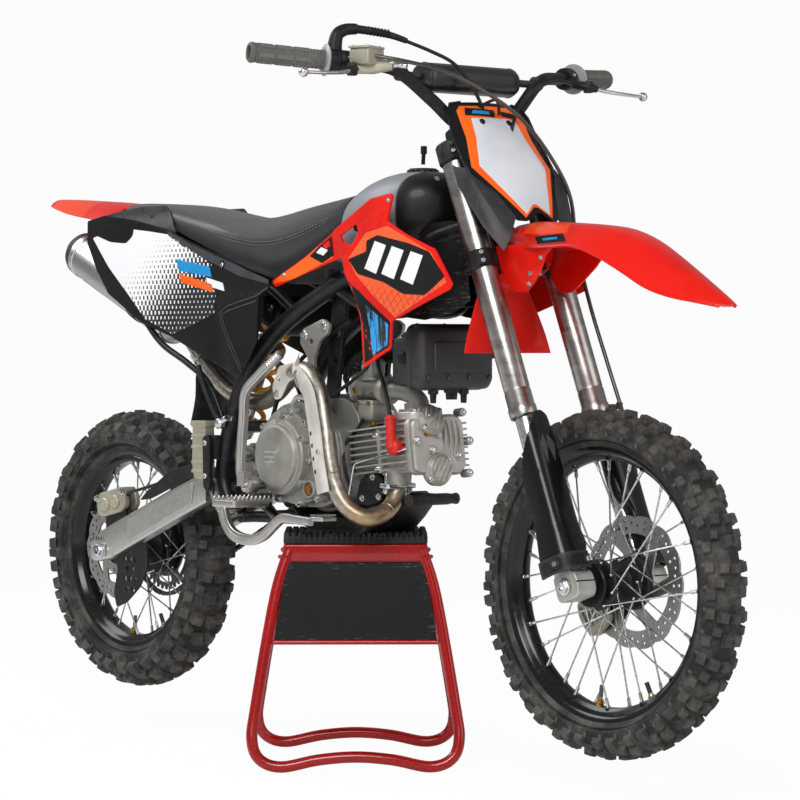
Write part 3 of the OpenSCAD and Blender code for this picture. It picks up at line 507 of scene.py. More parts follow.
def plasticFinish(name, colour, deep, rough=0.34, coat=0.35, grain=0.12):
    f = Finish(name)
    cloud = f.noise(9.0, 4.0)
    fine = f.noise(950.0, 2.0)
    scuff = f.noise(60.0, 6.0, 0.7, f.place((1, 1, 6), (20, 10, 0)))
    worn = (f.edges() - 0.53).larger(0.0) * 4.0
    shade = f.mix(tone(deep), tone(colour), cloud.step(0.3, 0.62))
    shade = f.mix(shade, tone("#d8d6d2"), (worn * scuff.step(0.55, 0.75)).smaller(0.35))
    gloss = rough + (scuff.step(0.5, 0.75) * 0.16) + (cloud * 0.06)
    return f.done(shade, gloss, 0.0, fine + (cloud * 2.0), grain, 0.0004, **{"Coat Weight": coat * 0.32,
        "Coat Roughness": 0.08, "Specular IOR Level": 0.18})


def satinFinish(name, colour, rough=0.5, speck=0.25):  # mat black and grey moulded parts
    f = Finish(name)
    pebble = f.cells(820.0)
    cloud = f.noise(14.0, 5.0)
    dust = f.noise(70.0, 6.0, 0.65).step(0.48, 0.75)
    shade = f.mix(tone(colour), f.mix(tone(colour), tone("#8a8783"), 0.16), dust * 0.5)
    shade = f.mix(shade, tone("#6d6b69"), ((f.edges() - 0.54).larger(0.0) * 3.0).smaller(0.3))
    return f.done(shade, rough + (dust * 0.14) - (cloud * 0.08), 0.0, pebble + cloud, speck, 0.0005,
        **{"Specular IOR Level": 0.28})


def metalFinish(name, colour, deep, rough=0.3, streak=(1, 1, 1), metal=1.0, turn=(0, 0, 0), scale=160.0, bumpBy=0.12):
    f = Finish(name)
    line = f.noise(scale, 5.0, 0.6, f.place(streak, turn))
    cloud = f.noise(11.0, 4.0, 0.6)
    stain = f.noise(38.0, 6.0, 0.7).step(0.52, 0.78)
    shade = f.mix(tone(deep), tone(colour), line.step(0.3, 0.7) * 0.7 + (cloud * 0.3))
    shade = f.mix(shade, tone("#6b6259"), stain * 0.22)
    return f.done(shade, rough + ((line - 0.5) * 0.2) + (stain * 0.14), metal, line + (cloud * 0.5), bumpBy, 0.0004)


def castFinish(name, colour, deep, metal=0.55, rough=0.42):  # sand-cast alloy under satin paint
    f = Finish(name)
    sand = f.noise(620.0, 4.0, 0.7)
    pit = f.cells(340.0)
    cloud = f.noise(16.0, 5.0)
    # painted shade: the castings are darkened in their hollows and corners, where shade falls
    grimeAndShade = (0.5 - f.edges()).larger(0.0) * 5.0
    shade = f.mix(tone(deep), tone(colour), cloud.step(0.25, 0.7))
    shade = f.mix(shade, tone("#3b3733"), (grimeAndShade * 1.2).smaller(0.75))
    shade = f.mix(shade, tone("#e0e0dd"), ((f.edges() - 0.52).larger(0.0) * 3.0).smaller(0.35))
    return f.done(shade, rough + (sand * 0.16) - (cloud * 0.06), metal, sand + (pit * 0.6), 0.22, 0.0006)


def rubberFinish(name, colour, dusty, rough=0.72, scale=420.0, strength=0.35):
    f = Finish(name)
    grain = f.noise(scale, 4.0, 0.65)
    cloud = f.noise(22.0, 6.0, 0.7)
    worn = ((f.edges() - 0.51).larger(0.0) * 3.5).smaller(1.0)
    shade = f.mix(tone(colour), tone(dusty), cloud.step(0.4, 0.72) * 0.55)
    shade = f.mix(shade, tone(dusty), worn * 0.7)
    return f.done(shade, rough - (cloud.step(0.5, 0.8) * 0.18), 0.0, grain + (cloud * 1.5), strength, 0.0006,
        **{"Specular IOR Level": 0.26})


def springFinish():
    f = Finish("goldSpring")
    cloud = f.noise(40.0, 4.0)
    chip = f.noise(260.0, 5.0, 0.7).step(0.68, 0.74)
    shade = f.mix(tone("#c27a05"), tone("#f0aa1c"), cloud.step(0.25, 0.6))
    shade = f.mix(shade, tone("#4a3515"), chip * 0.6)
    return f.done(shade, 0.28 + (chip * 0.3), 0.15, cloud - chip, 0.15, 0.0004, **{"Coat Weight": 0.5})


def headerFinish():  # bare steel, straw brown towards the flange
    f = Finish("tintedSteel")
    x, _, z = f.axes()
    line = f.noise(120.0, 5.0, 0.6, f.place((1, 1, 1), (0, 40, 0)))
    patches = f.noise(24.0, 5.0, 0.6)
    hot = (z + (patches * 0.03)).step(0.450, 0.535, 1.0, 0.0) * x.step(0.115, 0.15)
    shade = f.mix(tone("#8d867b"), tone("#b8b2a6"), line.step(0.3, 0.7))
    shade = f.mix(shade, tone("#a88856"), hot * 0.6)
    shade = f.mix(shade, tone("#6d5a75"), hot * patches.step(0.58, 0.7) * 0.35)
    return f.done(shade, 0.33 + (line * 0.14), 1.0, line + patches, 0.1, 0.0005)


red = plasticFinish("redPlastic", "#dd1606", "#c61004")
black = plasticFinish("blackPlastic", "#121214", "#0a0a0b", 0.38, 0.1)
white = plasticFinish("whitePlastic", "#e9eaec", "#dcdde0", 0.3)
paleGrey = plasticFinish("paleGreyPlastic", "#cfd2d8", "#c2c5cb", 0.3)
blue = plasticFinish("bluePlastic", "#1f8fd0", "#157cb8", 0.34)
slate = plasticFinish("slatePlastic", "#3f4145", "#303236", 0.42, 0.15, 0.3)
matBlack = satinFinish("matBlack", "#111112")
darkGrey = satinFinish("darkGrey", "#2b2c2f", 0.5, 0.35)
frameBlack = satinFinish("frameBlack", "#121316", 0.36, 0.15)
rubber = rubberFinish("tyreRubber", "#1c1c1c", "#68645f", 0.62)
gripRubber = rubberFinish("gripRubber", "#55534f", "#6d6c69", 0.7, 300.0, 0.2)
cableBlack = rubberFinish("cableBlack", "#111112", "#343434", 0.5, 700.0, 0.15)
castGrey = castFinish("castGrey", "#a5a39c", "#827f78")
castPale = castFinish("castPale", "#bdbbb4", "#9c9a94", 0.6, 0.36)
castBeige = castFinish("castBeige", "#aaa593", "#8f8b7a", 0.35, 0.42)
steel = metalFinish("brightSteel", "#e1e2e3", "#a9abad", 0.24)
darkSteel = metalFinish("darkSteel", "#74757a", "#45464a", 0.36)
alloy = metalFinish("brushedAlloy", "#cfcecb", "#a19f9b", 0.34, (1, 8, 8), 1.0, (0, -20, 0))
forkSteel = metalFinish("forkSteel", "#aca8a4", "#8e8a87", 0.3, (1, 1, 3), 1.0, (0, 22, 0), 24.0, 0.05)
mufflerSteel = metalFinish("mufflerSteel", "#c4c5c7", "#95979a", 0.32, (14, 14, 1), 1.0, (0, -66, 0), 50.0)
rimBlack = metalFinish("blackRim", "#1d1e20", "#0c0c0d", 0.2, (1, 1, 1), 0.4)
discSteel = metalFinish("discSteel", "#a6a5a2", "#7d7b78", 0.34, (1, 1, 1), 0.9, (0, 0, 0), 300.0)
brass = metalFinish("brass", "#c39a4c", "#94702f", 0.3)
copper = metalFinish("copper", "#b5653a", "#8a4a2a", 0.45)
gold = springFinish()
header = headerFinish()
print("finishes ready")


# ---- wheels, each about its own axle: local Z runs across the bike to the right ----

frontWheel = {"tyreR": 286.0, "tyreHalf": 41.0, "rimR": 226.0, "rimHalf": 25.0, "pitches": 44, "knobHigh": 9.5,
    "knobLong": 17.0, "knobWide": 13.0, "hubR": 20.0, "flangeR": 42.0, "flangeAt": 28.0, "coverR": 36.0}
rearWheel = {"tyreR": 267.0, "tyreHalf": 51.0, "rimR": 192.0, "rimHalf": 30.0, "pitches": 36, "knobHigh": 12.5,
    "knobLong": 20.0, "knobWide": 17.0, "hubR": 26.0, "flangeR": 50.0, "flangeAt": 34.0, "coverR": 0.0}


def crown(w, s):  # carcass point at s, from -1 at one shoulder to 1 at the other, with its outward direction
    half, top = w["tyreHalf"] - 7, w["tyreR"] - w["knobHigh"]
    a = s * radians(62)
    wide, rise = half / sin(radians(62)), 0.30 * (top - w["rimR"]) / (1 - cos(radians(62)))
    return top - rise * (1 - cos(a)) * 1.6, wide * sin(a), a


def knob(w, turn, s, long, wide, high, twist=0.0):  # one tread block standing on the carcass
    r, y, a = crown(w, s)
    out = Vector((cos(a * 0.85), 0, sin(a * 0.85)))
    across = Vector((-sin(a * 0.85), 0, cos(a * 0.85)))
    around = Vector((0, 1, 0))
    base = Vector((r, 0, y))
    rings = []
    for h, q in ((-3.0, 1.22), (high * 0.55, 1.03), (high - 1.0, 0.97), (high, 0.86)):
        ring = []
        for u, v in ((-1, -1), (0, -1.04), (1, -1), (1, 1), (0, 1.04), (-1, 1)):
            du, dv = u * long / 2 * q, v * wide / 2 * q
            cu, cv = du * cos(twist) - dv * sin(twist), du * sin(twist) + dv * cos(twist)
            ring.append(base + out * h + around * cu + across * cv)
        rings.append(ring)
    return moved(loft(rings), Matrix.Rotation(turn, 4, "Z"))


def makeTyre(name, w, place, body, stands):
    piece = Piece()
    half, top, rim = w["tyreHalf"] - 7, w["tyreR"] - w["knobHigh"], w["rimR"]
    side = []
    for i in range(-10, 11):
        r, y, a = crown(w, i / 10)
        side.append((r, y))
    mid = (side[0][0] + rim) / 2
    left = [(rim - 6, -w["rimHalf"] + 2), (rim + 1, -w["rimHalf"] - 1.5), (rim + 5, -w["rimHalf"] - 4.5),
        (rim + 7, -w["rimHalf"] - 4.6), (rim + 8.5, -w["rimHalf"] - 3.8), (mid - 4, -half - 0.5),
        (mid - 1.5, -half - 1.6), (mid, -half - 1.6), (mid + 2.5, -half - 0.6), (side[0][0] - 7, -half - 0.8)]
    right = [(r, -y) for r, y in reversed(left)]
    inner = [(rim - 6, w["rimHalf"] - 8), (rim + 6, w["rimHalf"] - 4), (mid, half - 7), (top - 14, half - 12),
        (top - 8, 0), (top - 14, -half + 12), (mid, -half + 7), (rim + 6, -w["rimHalf"] + 4),
        (rim - 6, -w["rimHalf"] + 8)]
    piece.add(lathe(left + side + right + inner, 132, closed=True), rubber)
    n = w["pitches"]
    long, wide, high = w["knobLong"], w["knobWide"], w["knobHigh"]
    for i in range(n):
        a = 2 * pi * i / n
        h = pi / n
        for s in (-1, 1):
            piece.add(knob(w, a + (h if i % 2 else 0) * 0.3, s * 0.93, long * 0.94, wide * 1.05, high * 0.86), rubber)
            if i % 2 == 0:
                piece.add(knob(w, a + h * 0.2, s * 0.23, long * 1.02, wide * 0.98, high, s * 0.10), rubber)
                piece.add(knob(w, a + h * 0.9, s * 0.62, long * 0.8, wide * 0.86, high * 0.95, -s * 0.15), rubber)
            else:
                piece.add(knob(w, a + h * 0.1, s * 0.47, long * 0.95, wide * 1.1, high, -s * 0.12), rubber)
        if i % 2:
            piece.add(knob(w, a, 0.0, long * 0.82, wide * 0.95, high), rubber)
        for s in (-1, 1):  # bars of the sidewall between the shoulder blocks
            r = crown(w, s)[0]
            bar = block((9, 5.5, 3.2), (r - 7, 0, s * (half - 0.3)))
            piece.add(bar, rubber, Matrix.Rotation(a + h * 0.6, 4, "Z"))
    piece.points = [place @ p for p in piece.points]
    return piece.build(name, body, stands, smooth=32)


def makeRim(name, w, place, body, stands):
    piece = Piece()
    r, h, b = w["rimR"], w["rimHalf"], w["rimR"] - 3
    half = [(r, h - 1), (r - 0.6, h), (r - 3.5, h), (b - 6, h - 1.2), (b - 10, h - 5), (b - 13, h - 11),
        (b - 17, h - 15), (b - 21, h - 17.5), (b - 22.5, 3)]
    inner = [(b - 18, -4), (b - 16, -h + 18), (b - 8, -h + 10), (b - 5, -h + 4), (r, -h + 2.5)]
    ring = half + [(q, -y) for q, y in reversed(half)] + inner + [(q, -y) for q, y in reversed(inner)]
    piece.add(lathe(ring, 120, closed=True), rimBlack, place)
    hubR, fr, fy, reach = w["hubR"], w["flangeR"], w["flangeAt"], r - 24.5
    hub = [(hubR * 0.6, -fy - 20), (hubR, -fy - 20), (hubR + 1, -fy - 16), (hubR, -fy - 6), (fr - 8, -fy - 4.5),
        (fr - 1.5, -fy - 3.2), (fr, -fy - 2), (fr, -fy + 1.5), (fr - 2, -fy + 2.6), (hubR + 7, -fy + 5),
        (hubR + 1.5, -fy + 12), (hubR - 2, 0)]
    hub += [(q, -y) for q, y in reversed(hub[:-1])]
    piece.add(lathe(hub + [(8.4, fy + 20), (8.4, -fy - 20)], 64, closed=True), matBlack, place)
    for s in (-1, 1):  # bearing seals
        seal = [(9.5, s * (fy + 16)), (9.5, s * (fy + 20.8)), (12, s * (fy + 21.4)), (hubR - 3, s * (fy + 21.4)),
            (hubR - 1.5, s * (fy + 20.4)), (hubR - 1.5, s * (fy + 16))]
        piece.add(lathe(seal, 40, closed=True), cableBlack, place)
        for i in range(6):
            a = radians(60 * i + 15)
            spot = aim(((fr - 6) * cos(a) * 0.86, (fr - 6) * sin(a) * 0.86, s * (fy + 4)), (0, 0, s))
            piece.add(screw(6, 2.4), darkSteel, place @ spot)
    if w["coverR"]:  # dust cover over the right bearing
        q, z = w["coverR"], fy + 15.5
        cover = [(9.5, z), (q - 2, z), (q, z + 1.5), (q, z + 4), (q - 2, z + 5.8), (q - 8, z + 5.8), (q - 10, z + 5),
            (14, z + 5), (12, z + 5.8), (9.5, z + 5.8)]
        piece.add(lathe(cover, 56, closed=True), black, place)
    for i in range(32):
        side = 1 if i % 2 == 0 else -1
        lean = 62 if (i // 2) % 2 == 0 else -62
        a, c = radians(360 * i / 32), radians(360 * i / 32 - lean)
        out = 1 if (i // 2) % 2 == 0 else -1
        start = Vector(((fr - 5) * cos(c), (fr - 5) * sin(c), side * (fy + out * 3.2)))
        end = Vector((reach * cos(a), reach * sin(a), side * 5))
        way = (end - start).normalized()
        piece.add(rod(start, end, 1.45, 8), steel, place)
        piece.add(tube([start + way * 5, start + way * 1.2, start + Vector((0, 0, -side * out * 3))], [1.5, 1.7, 1.5],
            8), steel, place)
        piece.add(moved(ball(2.9, 10), aim(start + Vector((0, 0, side * out * 1.0)))), steel, place)
        piece.add(tube([end - way * 17, end - way * 15, end - way * 3, end - way * 3, end + way * 2],
            [2.0, 2.9, 2.9, 3.9, 4.1], 8), steel, place)
        piece.add(lathe([(6.2, -1.5), (6.2, 0.6), (4.8, 1.8), (3.6, 1.8)], 14), rimBlack, place
            @ aim(end + way * 1.5, -Vector((cos(a), sin(a), 0))))
    for turn, kind in ((-62, 0), (-97, 1)):  # rim lock and tyre valve
        a = radians(turn)
        spot = place @ aim((reach * cos(a), reach * sin(a), 0), (-cos(a), -sin(a), 0))
        if kind == 0:
            piece.add(lathe([(6.5, -3), (6.5, 1), (4.6, 2.5), (4.6, 6), (2.9, 6), (2.9, 21), (2.2, 22)],
                14), brass, spot)
            piece.add(hexBolt(10, 5), steel, spot @ shift(0, 0, 3))
            piece.add(rod((0, 0, 9), (0, 0, 27), [3.9, 3.9], 12), cableBlack, spot)
        else:
            piece.add(lathe([(7, -3), (7, 2), (5.2, 4), (3.1, 4), (3.1, 25)], 14), brass, spot)
            piece.add(hexBolt(12, 6), brass, spot @ shift(0, 0, 5))
            piece.add(rod((0, 0, 14), (0, 0, 34), [3.9, 3.5], 12), darkSteel, spot)
    return piece.build(name, body, stands, smooth=34)


def waveDisc(r, inner, lobes, deep, t, armFrom, arms):
    outline = []
    n = lobes * 12
    for i in range(n):
        a = 2 * pi * i / n
        q = r - deep + deep * abs(cos(a * lobes / 2)) ** 0.8
        outline.append((q * cos(a), q * sin(a)))
    holes = []
    for i in range(lobes):
        a = 2 * pi * i / lobes
        for q, off in ((r - 9, 0.0), (r - 17, 0.28), (r - 13, -0.26), (r - 21, -0.02)):
            c = a + off * 2 * pi / lobes * 1.3
            holes.append(circle(3.0, 10, q * cos(c), q * sin(c)))
    for i in range(arms):  # windows between curved arms
        a0, a1 = 2 * pi * i / arms, 2 * pi * (i + 1) / arms
        pad = 0.16
        window = []
        for j in range(7):
            c = a0 + pad + (a1 - a0 - 2 * pad) * j / 6
            window.append(((inner - 3) * cos(c), (inner - 3) * sin(c)))
        for j in range(7):
            c = a1 - pad * 1.9 - 0.42 - (a1 - a0 - 3.8 * pad) * j / 6
            window.append(((armFrom + 6) * cos(c), (armFrom + 6) * sin(c)))
        holes.append(rounded(window, 4, 2))
    holes.append(circle(armFrom - 12, 40))
    return plate(outline, holes, t, 0.4)


def makeDisc(name, r, armFrom, at, lobes, place, body, stands):
    piece = Piece()
    piece.add(waveDisc(r, r - 27, lobes, 4.5, 3.6, armFrom, 6), discSteel, place @ shift(0, 0, at))
    low = -1 if at > 0 else 1
    piece.add(lathe([(21.5, 0), (44, 0), (45, 2), (45, 9), (43, 11), (21.5, 11)], 48, closed=True), matBlack, place
        @ shift(0, 0, at + low * 1.5) @ swivel(0 if low > 0 else 180, "X"))
    for i in range(6):
        a = radians(60 * i + 20)
        spot = aim(((armFrom + 2) * cos(a), (armFrom + 2) * sin(a), at - low * 1.6), (0, 0, -low))
        piece.add(screw(9, 3.2), steel, place @ spot)
    return piece.build(name, body, stands, smooth=34)


def makeSprocket():
    piece = Piece()
    r, teeth = 84.0, 37
    outline = []
    for i in range(teeth):
        for q, off in ((r, 0.0), (r - 1.6, 0.1), (r - 8, 0.28), (r - 9.4, 0.5), (r - 8, 0.72), (r - 1.6, 0.9)):
            a = 2 * pi * (i + off) / teeth
            outline.append((q * cos(a), q * sin(a)))
    holes = [circle(29, 36)]
    for i in range(6):
        a0 = radians(60 * i)
        window = [(58 * cos(a0 + radians(d)), 58 * sin(a0 + radians(d))) for d in (10, 20, 30, 40, 50)]
        window += [(70 * cos(a0 + radians(d)), 70 * sin(a0 + radians(d))) for d in (50, 40, 30, 20, 10)]
        holes.append(rounded(window, 5, 2))
        holes.append(circle(4, 10, 45 * cos(a0), 45 * sin(a0)))
    at = shift(0, 0, -60.5)
    piece.add(plate(outline, holes, 5, 0.5), darkSteel, rearWheelPlace @ at)
    piece.add(lathe([(26.6, 0), (46, 0), (47, 2), (47, 10), (44, 12), (26.6, 12)], 48, closed=True), matBlack,
        rearWheelPlace @ at @ shift(0, 0, 2.2))
    for i in range(6):
        a = radians(60 * i + 30)
        piece.add(hexBolt(11, 4), steel, rearWheelPlace @ aim((40 * cos(a), 40 * sin(a), -63), (0, 0, -1)))
    return piece.build("rearSprocketTeeth", "rear_wheel", ["rear_sprocket"])


makeTyre("frontTyreKnobs", frontWheel, frontWheelPlace, "front_wheel", ["front_tyre"])
makeTyre("rearTyreKnobs", rearWheel, rearWheelPlace, "rear_wheel", ["rear_tyre"])
makeRim("frontRimLaced", frontWheel, frontWheelPlace, "front_wheel", ["front_rim"])
makeRim("rearRimLaced", rearWheel, rearWheelPlace, "rear_wheel", ["rear_rim"])
makeDisc("frontWaveDisc", 110.0, 36.0, -55.0, 14, frontWheelPlace, "front_wheel", ["front_disc"])
makeDisc("rearWaveDisc", 95.0, 40.0, 56.9, 12, rearWheelPlace, "rear_wheel", ["rear_disc"])
makeSprocket()
print("wheels made")


# ---- painted patterns of the plastics ----

def gridFinish(name, field, line, pitch, thick, low, high):  # thin crossing lines that fade out upwards
    f = Finish(name)
    x, _, z = f.axes()
    a = (((x * 0.80 + (z * 0.60)) / pitch) % 1.0 - 0.5).size()
    b = (((x * 0.62 - (z * 0.78)) / pitch) % 1.0 - 0.5).size()
    net = (a.smaller(b)).step(thick * 0.6, thick, 1.0, 0.0)
    cloud = f.noise(24.0, 5.0, 0.7)
    fade = (z + (cloud * 0.03)).step(low, high, 1.0, 0.0)
    shade = f.mix(tone(field), tone(line), net * fade * 0.85)
    shade = f.mix(shade, tone("#f06a3a"), cloud.step(0.62, 0.8) * 0.15)
    return f.done(shade, 0.34 + (cloud * 0.06), 0.0, f.noise(900.0) + (cloud * 2.0), 0.1, 0.0004,
        **{"Coat Weight": 0.35, "Coat Roughness": 0.12})


def scratchFinish():  # bright blue broken by dark brush strokes
    f = Finish("blueBrushed")
    stroke = f.noise(34.0, 7.0, 0.75, f.place((1.0, 1.0, 0.22), (0, -24, 0)), 0.6)
    x = f.axes()[0]
    left = (x + (stroke * 0.03)).step(0.193, 0.222, 1.0, 0.0)
    mask = stroke.step(0.52, 0.56).larger(left * stroke.step(0.3, 0.42))
    shade = f.mix(tone("#2496d8"), tone("#121417"), mask)
    return f.done(shade, 0.34 + (mask * 0.06), 0.0, f.noise(900.0), 0.1, 0.0004, **{"Coat Weight": 0.3})


def halftoneFinish():  # white field that breaks up into dark diamonds towards the lower front
    f = Finish("whiteHalftone")
    x, _, z = f.axes()
    a = ((((x / 0.0125) + (z / 0.0190)) % 1.0) - 0.5).size() * 2.0
    b = ((((x / 0.0125) - (z / 0.0190)) % 1.0) - 0.5).size() * 2.0
    far = ((x + 0.520) * 0.50 + ((0.925 - z) * 0.86)) / 0.215
    grow = far.step(0.02, 1.0, 0.0, 0.80)
    dots = ((a + b) / 2.0 - grow).step(-0.03, 0.03, 1.0, 0.0) * far.step(0.0, 0.06)
    cloud = f.noise(12.0, 4.0)
    shade = f.mix(f.mix(tone("#e6e7ea"), tone("#f0f1f3"), cloud), tone("#141416"), dots)
    return f.done(shade, 0.3 + (cloud * 0.06), 0.0, f.noise(900.0), 0.08, 0.0004, **{"Coat Weight": 0.3})


def seatFinish():  # woven grip cover on top, plain grained vinyl below the seam
    f = Finish("seatCover")
    x, y, z = f.axes()
    a = ((x / 0.0050 + (y / 0.0036) + (z / 0.0044)) * pi).wave()
    b = ((x / 0.0050 - (y / 0.0036) - (z / 0.0044)) * pi).wave()
    weave = a * b
    dip = (x + 0.141).size()
    seam = 0.926 + (dip.step(0.0, 0.36, 0.0, 0.075)) - ((0.085 - y.size()) * 0.25)
    top = (z - seam).step(-0.001, 0.001)
    grain = f.cells(900.0) + (f.noise(240.0, 5.0, 0.6) * 0.8)
    cloud = f.noise(8.0, 5.0, 0.6)
    shade = f.mix(tone("#232427"), tone("#2e3033"), cloud.step(0.3, 0.7))
    shade = f.mix(shade, f.mix(tone("#1d1e20"), tone("#4b4d50"), weave.step(-0.3, 0.6)), top * 0.8)
    shade = f.mix(shade, tone("#7d7f82"), ((f.edges() - 0.53).larger(0.0) * 2.5).smaller(0.25))
    return f.done(shade, 0.5 + (top * 0.22) - (cloud * 0.1), 0.0, (weave * top * 1.4) + (grain * 0.35), 0.42, 0.0007,
        **{"Sheen Weight": 0.15})


def tankFinish():
    f = Finish("tankShell")
    x, y, _ = f.axes()
    cloud = f.noise(7.0, 5.0)
    pebble = f.noise(700.0, 3.0)
    # painted shade: the crest of the tank is darker than its sides
    side = (y.size() + (cloud * 0.004)).step(0.030, 0.050)
    shade = f.mix(tone("#5e6165"), tone("#8c8f94"), side * 0.8)
    shade = f.mix(shade, tone("#0e0e10"), x.step(0.222, 0.228))
    return f.done(shade, 0.4 + (cloud * 0.1), 0.0, pebble + cloud, 0.15, 0.0004,
        **{"Coat Weight": 0.08, "Specular IOR Level": 0.3})


orangeGrid = gridFinish("orangeGrid", "#f2581c", "#b3240c", 0.0135, 0.10, 0.830, 0.880)
orangePlain = plasticFinish("orangeField", "#f6661a", "#ee5510", 0.33)
blueBrushed = scratchFinish()
halftone = halftoneFinish()
seatCover = seatFinish()
tankShell = tankFinish()
thread = rubberFinish("seatThread", "#6a6c6f", "#8e9093", 0.7, 800.0, 0.2)


# ---- side plastics: each is laid on its own upright sheet ----

def standing(a, b, bulge):  # (along, height, out) on a sheet over the floor line from a to b
    t = Vector((b[0] - a[0], b[1] - a[1], 0)).normalized()
    n = Vector((t.y, -t.x, 0))

    def place(u, v, out):
        return Vector((a[0], a[1], 0)) + t * u + n * (out + bulge(u, v)) + Vector((0, 0, v))
    return place


def ramp(v, low, high):
    q = min(max((v - low) / (high - low), 0.0), 1.0)
    return q * q * (3 - 2 * q)


shroudSet = {"outline": [(558, 838), (552, 829), (393, 778), (386, 731), (301, 699), (297, 792), (244, 862),
    (238, 886), (228, 887), (30, 841), (20, 852), (120, 890), (207, 930), (332, 986), (390, 993), (396, 987),
    (378, 947), (438, 921), (512, 896)], "window": [(239, 926), (288, 945), (293, 931), (271, 908),
    (248, 914)], "skin": 3.5}


def shroudBulge(u, v):
    step = ramp((u - 214) + (v - 930) * 0.55, 0, 9) * 4.0
    crease = ramp(u + (900 - v) * 0.9, 300, 420) * 3.0
    return step + crease * ramp(v, 700, 800) + 3.0 * ramp(v, 900, 985) - 2.0 * ramp(u, 480, 560)


def makeShroud(side):
    piece = Piece()
    lay = standing((-125, -105), (430, -150), shroudBulge)
    piece.add(patch(rounded(shroudSet["outline"], 3, 2), lay, 11, [shroudSet["window"]], shroudSet["skin"]), red)

    def decal(outline, paint, lift=0.35, r=2):
        piece.add(patch(rounded(outline, r, 2), lay, 11, (), 0.3, lift), paint)
    decal([(316, 929), (380, 938), (446, 914), (505, 890), (545, 840), (403, 784), (345, 818), (285, 858),
        (262, 886)], orangeGrid)
    decal([(300, 926), (352, 936), (372, 962), (352, 966), (300, 944)], red, 0.5)
    decal([(257, 848), (296, 830), (388, 777), (383, 735), (305, 707), (304, 790)], black)
    decal([(318, 806), (383, 772), (379, 738), (334, 720), (330, 763)], blueBrushed, 0.6)
    decal([(316, 915), (350, 924), (440, 908), (499, 892), (540, 850), (487, 820), (426, 823), (369, 844), (291, 859),
        (262, 885), (316, 897)], black, 0.6, 4)
    for u, v in ((334, 862), (386, 852), (440, 842)):  # three plain slanted bars
        piece.add(patch([(u - 22, v + 6), (u + 8, v + 52), (u + 42, v + 44), (u + 14, v - 4)], lay, 14, (),
            0.3, 0.85), white)
    decal([(24, 846), (34, 855), (134, 894), (164, 909), (203, 895), (213, 889), (92, 855)], orangePlain)
    decal([(140, 893), (166, 908), (207, 926), (214, 893), (178, 880)], black, 0.6)
    piece.add(patch([(160, 899), (176, 908), (196, 902), (182, 893)], lay, 14, (), 0.3, 0.85), white)
    piece.add(patch([(181, 911), (200, 919), (204, 910), (190, 904)], lay, 14, (), 0.3, 0.85), red)
    for u, v in ((384, 982), (60, 862)):
        spot = lay(u, v, 0)
        piece.add(screw(9, 2.6), steel, aim(spot, lay(u, v, 1) - spot))
    for x, z, y in ((150, 940, -100), (60, 862, -92)):
        piece.add(rod((x, y, z), (x, y - 24, z), 8), black)
    piece.add(rod((206, -62, 800), (206, -128, 800), 7), black)
    if side > 0:
        piece.points = [Vector((p.x, -p.y, p.z)) for p in piece.points]
    name = "leftShroudPlastic" if side > 0 else "rightShroudPlastic"
    return piece.build(name, "chassis", ["left_shroud" if side > 0 else "right_shroud"], 0.7, 2, 40)


panelSet = {"outline": [(561, 845), (531, 824), (526, 747), (480, 682), (470, 677), (325, 728), (255, 753),
    (152, 781), (45, 836), (10, 880), (-20, 933), (-19, 975), (40, 984), (138, 972), (240, 952), (315, 926),
    (430, 893)], "skin": 3.5}


def panelBulge(u, v):
    crease = ramp((u - 409) * 0.55 + (795 - v) * -0.2 + 14, 0, 22) * ramp(840 - (v - 808) * 1.6, 800, 815)
    return 3.2 * crease * ramp(u, 395, 425) + 5.0 * ramp(v, 800, 940) * ramp(360 - u, 0, 300)


def makePanel(side):
    piece = Piece()
    lay = standing((-640, -112), (-110, -130), panelBulge)
    piece.add(patch(rounded(panelSet["outline"], 4, 2), lay, 12, (), panelSet["skin"]), black)

    def decal(outline, paint, lift=0.35, r=2):
        piece.add(patch(rounded(outline, r, 2), lay, 12, (), 0.3, lift), paint)
    decal([(0, 942), (40, 950), (110, 957), (182, 950), (248, 942), (293, 922), (384, 884), (364, 856), (398, 838),
        (391, 796), (336, 779), (258, 758), (168, 787), (51, 886)], halftone)
    decal([(245, 949), (315, 923), (430, 890), (558, 853), (556, 846), (471, 861), (367, 893), (304, 914),
        (247, 940)], slate)
    for outline, paint in (([(272, 896), (376, 880), (384, 861), (280, 875)], blue),
            ([(281, 869), (384, 848), (390, 833), (287, 853)], orangePlain), ([(366, 861), (418, 850), (424, 835),
            (372, 845)], white)):
        decal(outline, paint, 0.65, 1.5)
    decal([(-4, 951), (39, 968), (85, 964), (139, 957), (134, 942), (112, 929), (60, 933)], black, 0.7, 5)
    for loop in ([(409, 795), (435, 808), (526, 826), (555, 840)], [(409, 795), (419, 771), (452, 722), (479, 690)],
            [(418, 792), (440, 800), (523, 816)], [(418, 792), (428, 770), (478, 698)]):
        piece.add(tube([lay(u, v, 0.2) for u, v in loop], 1.1, 8), slate)
    spot = lay(416, 883, 0.4)
    out = lay(416, 883, 1.4) - spot
    piece.add(lathe([(7.5, 0), (7.5, 1.2), (6, 1.6), (5.2, 0.4)], 24), black, aim(spot, out))
    piece.add(screw(9, 2.0), steel, aim(spot, out))
    for x, y, z in ((-420, -70, 908), (-600, -50, 948), (-500, -108, 806)):
        piece.add(rod((x, y, z), (x, -116, z), 6.5), black)
    if side > 0:
        piece.points = [Vector((p.x, -p.y, p.z)) for p in piece.points]
    name = "leftSidePlastic" if side > 0 else "rightSidePlastic"
    return piece.build(name, "chassis", ["left_side_panel" if side > 0 else "right_side_panel"], 0.6, 2, 40)


# ---- fenders and the number plate ----

def arch(x, top, half, edge, n=18, power=2.4):  # one cross row of a curved sheet
    return [Vector((x, half * q, top - (top - edge) * abs(q) ** power)) for q in (2 * j / n - 1
        for j in range(n + 1))]


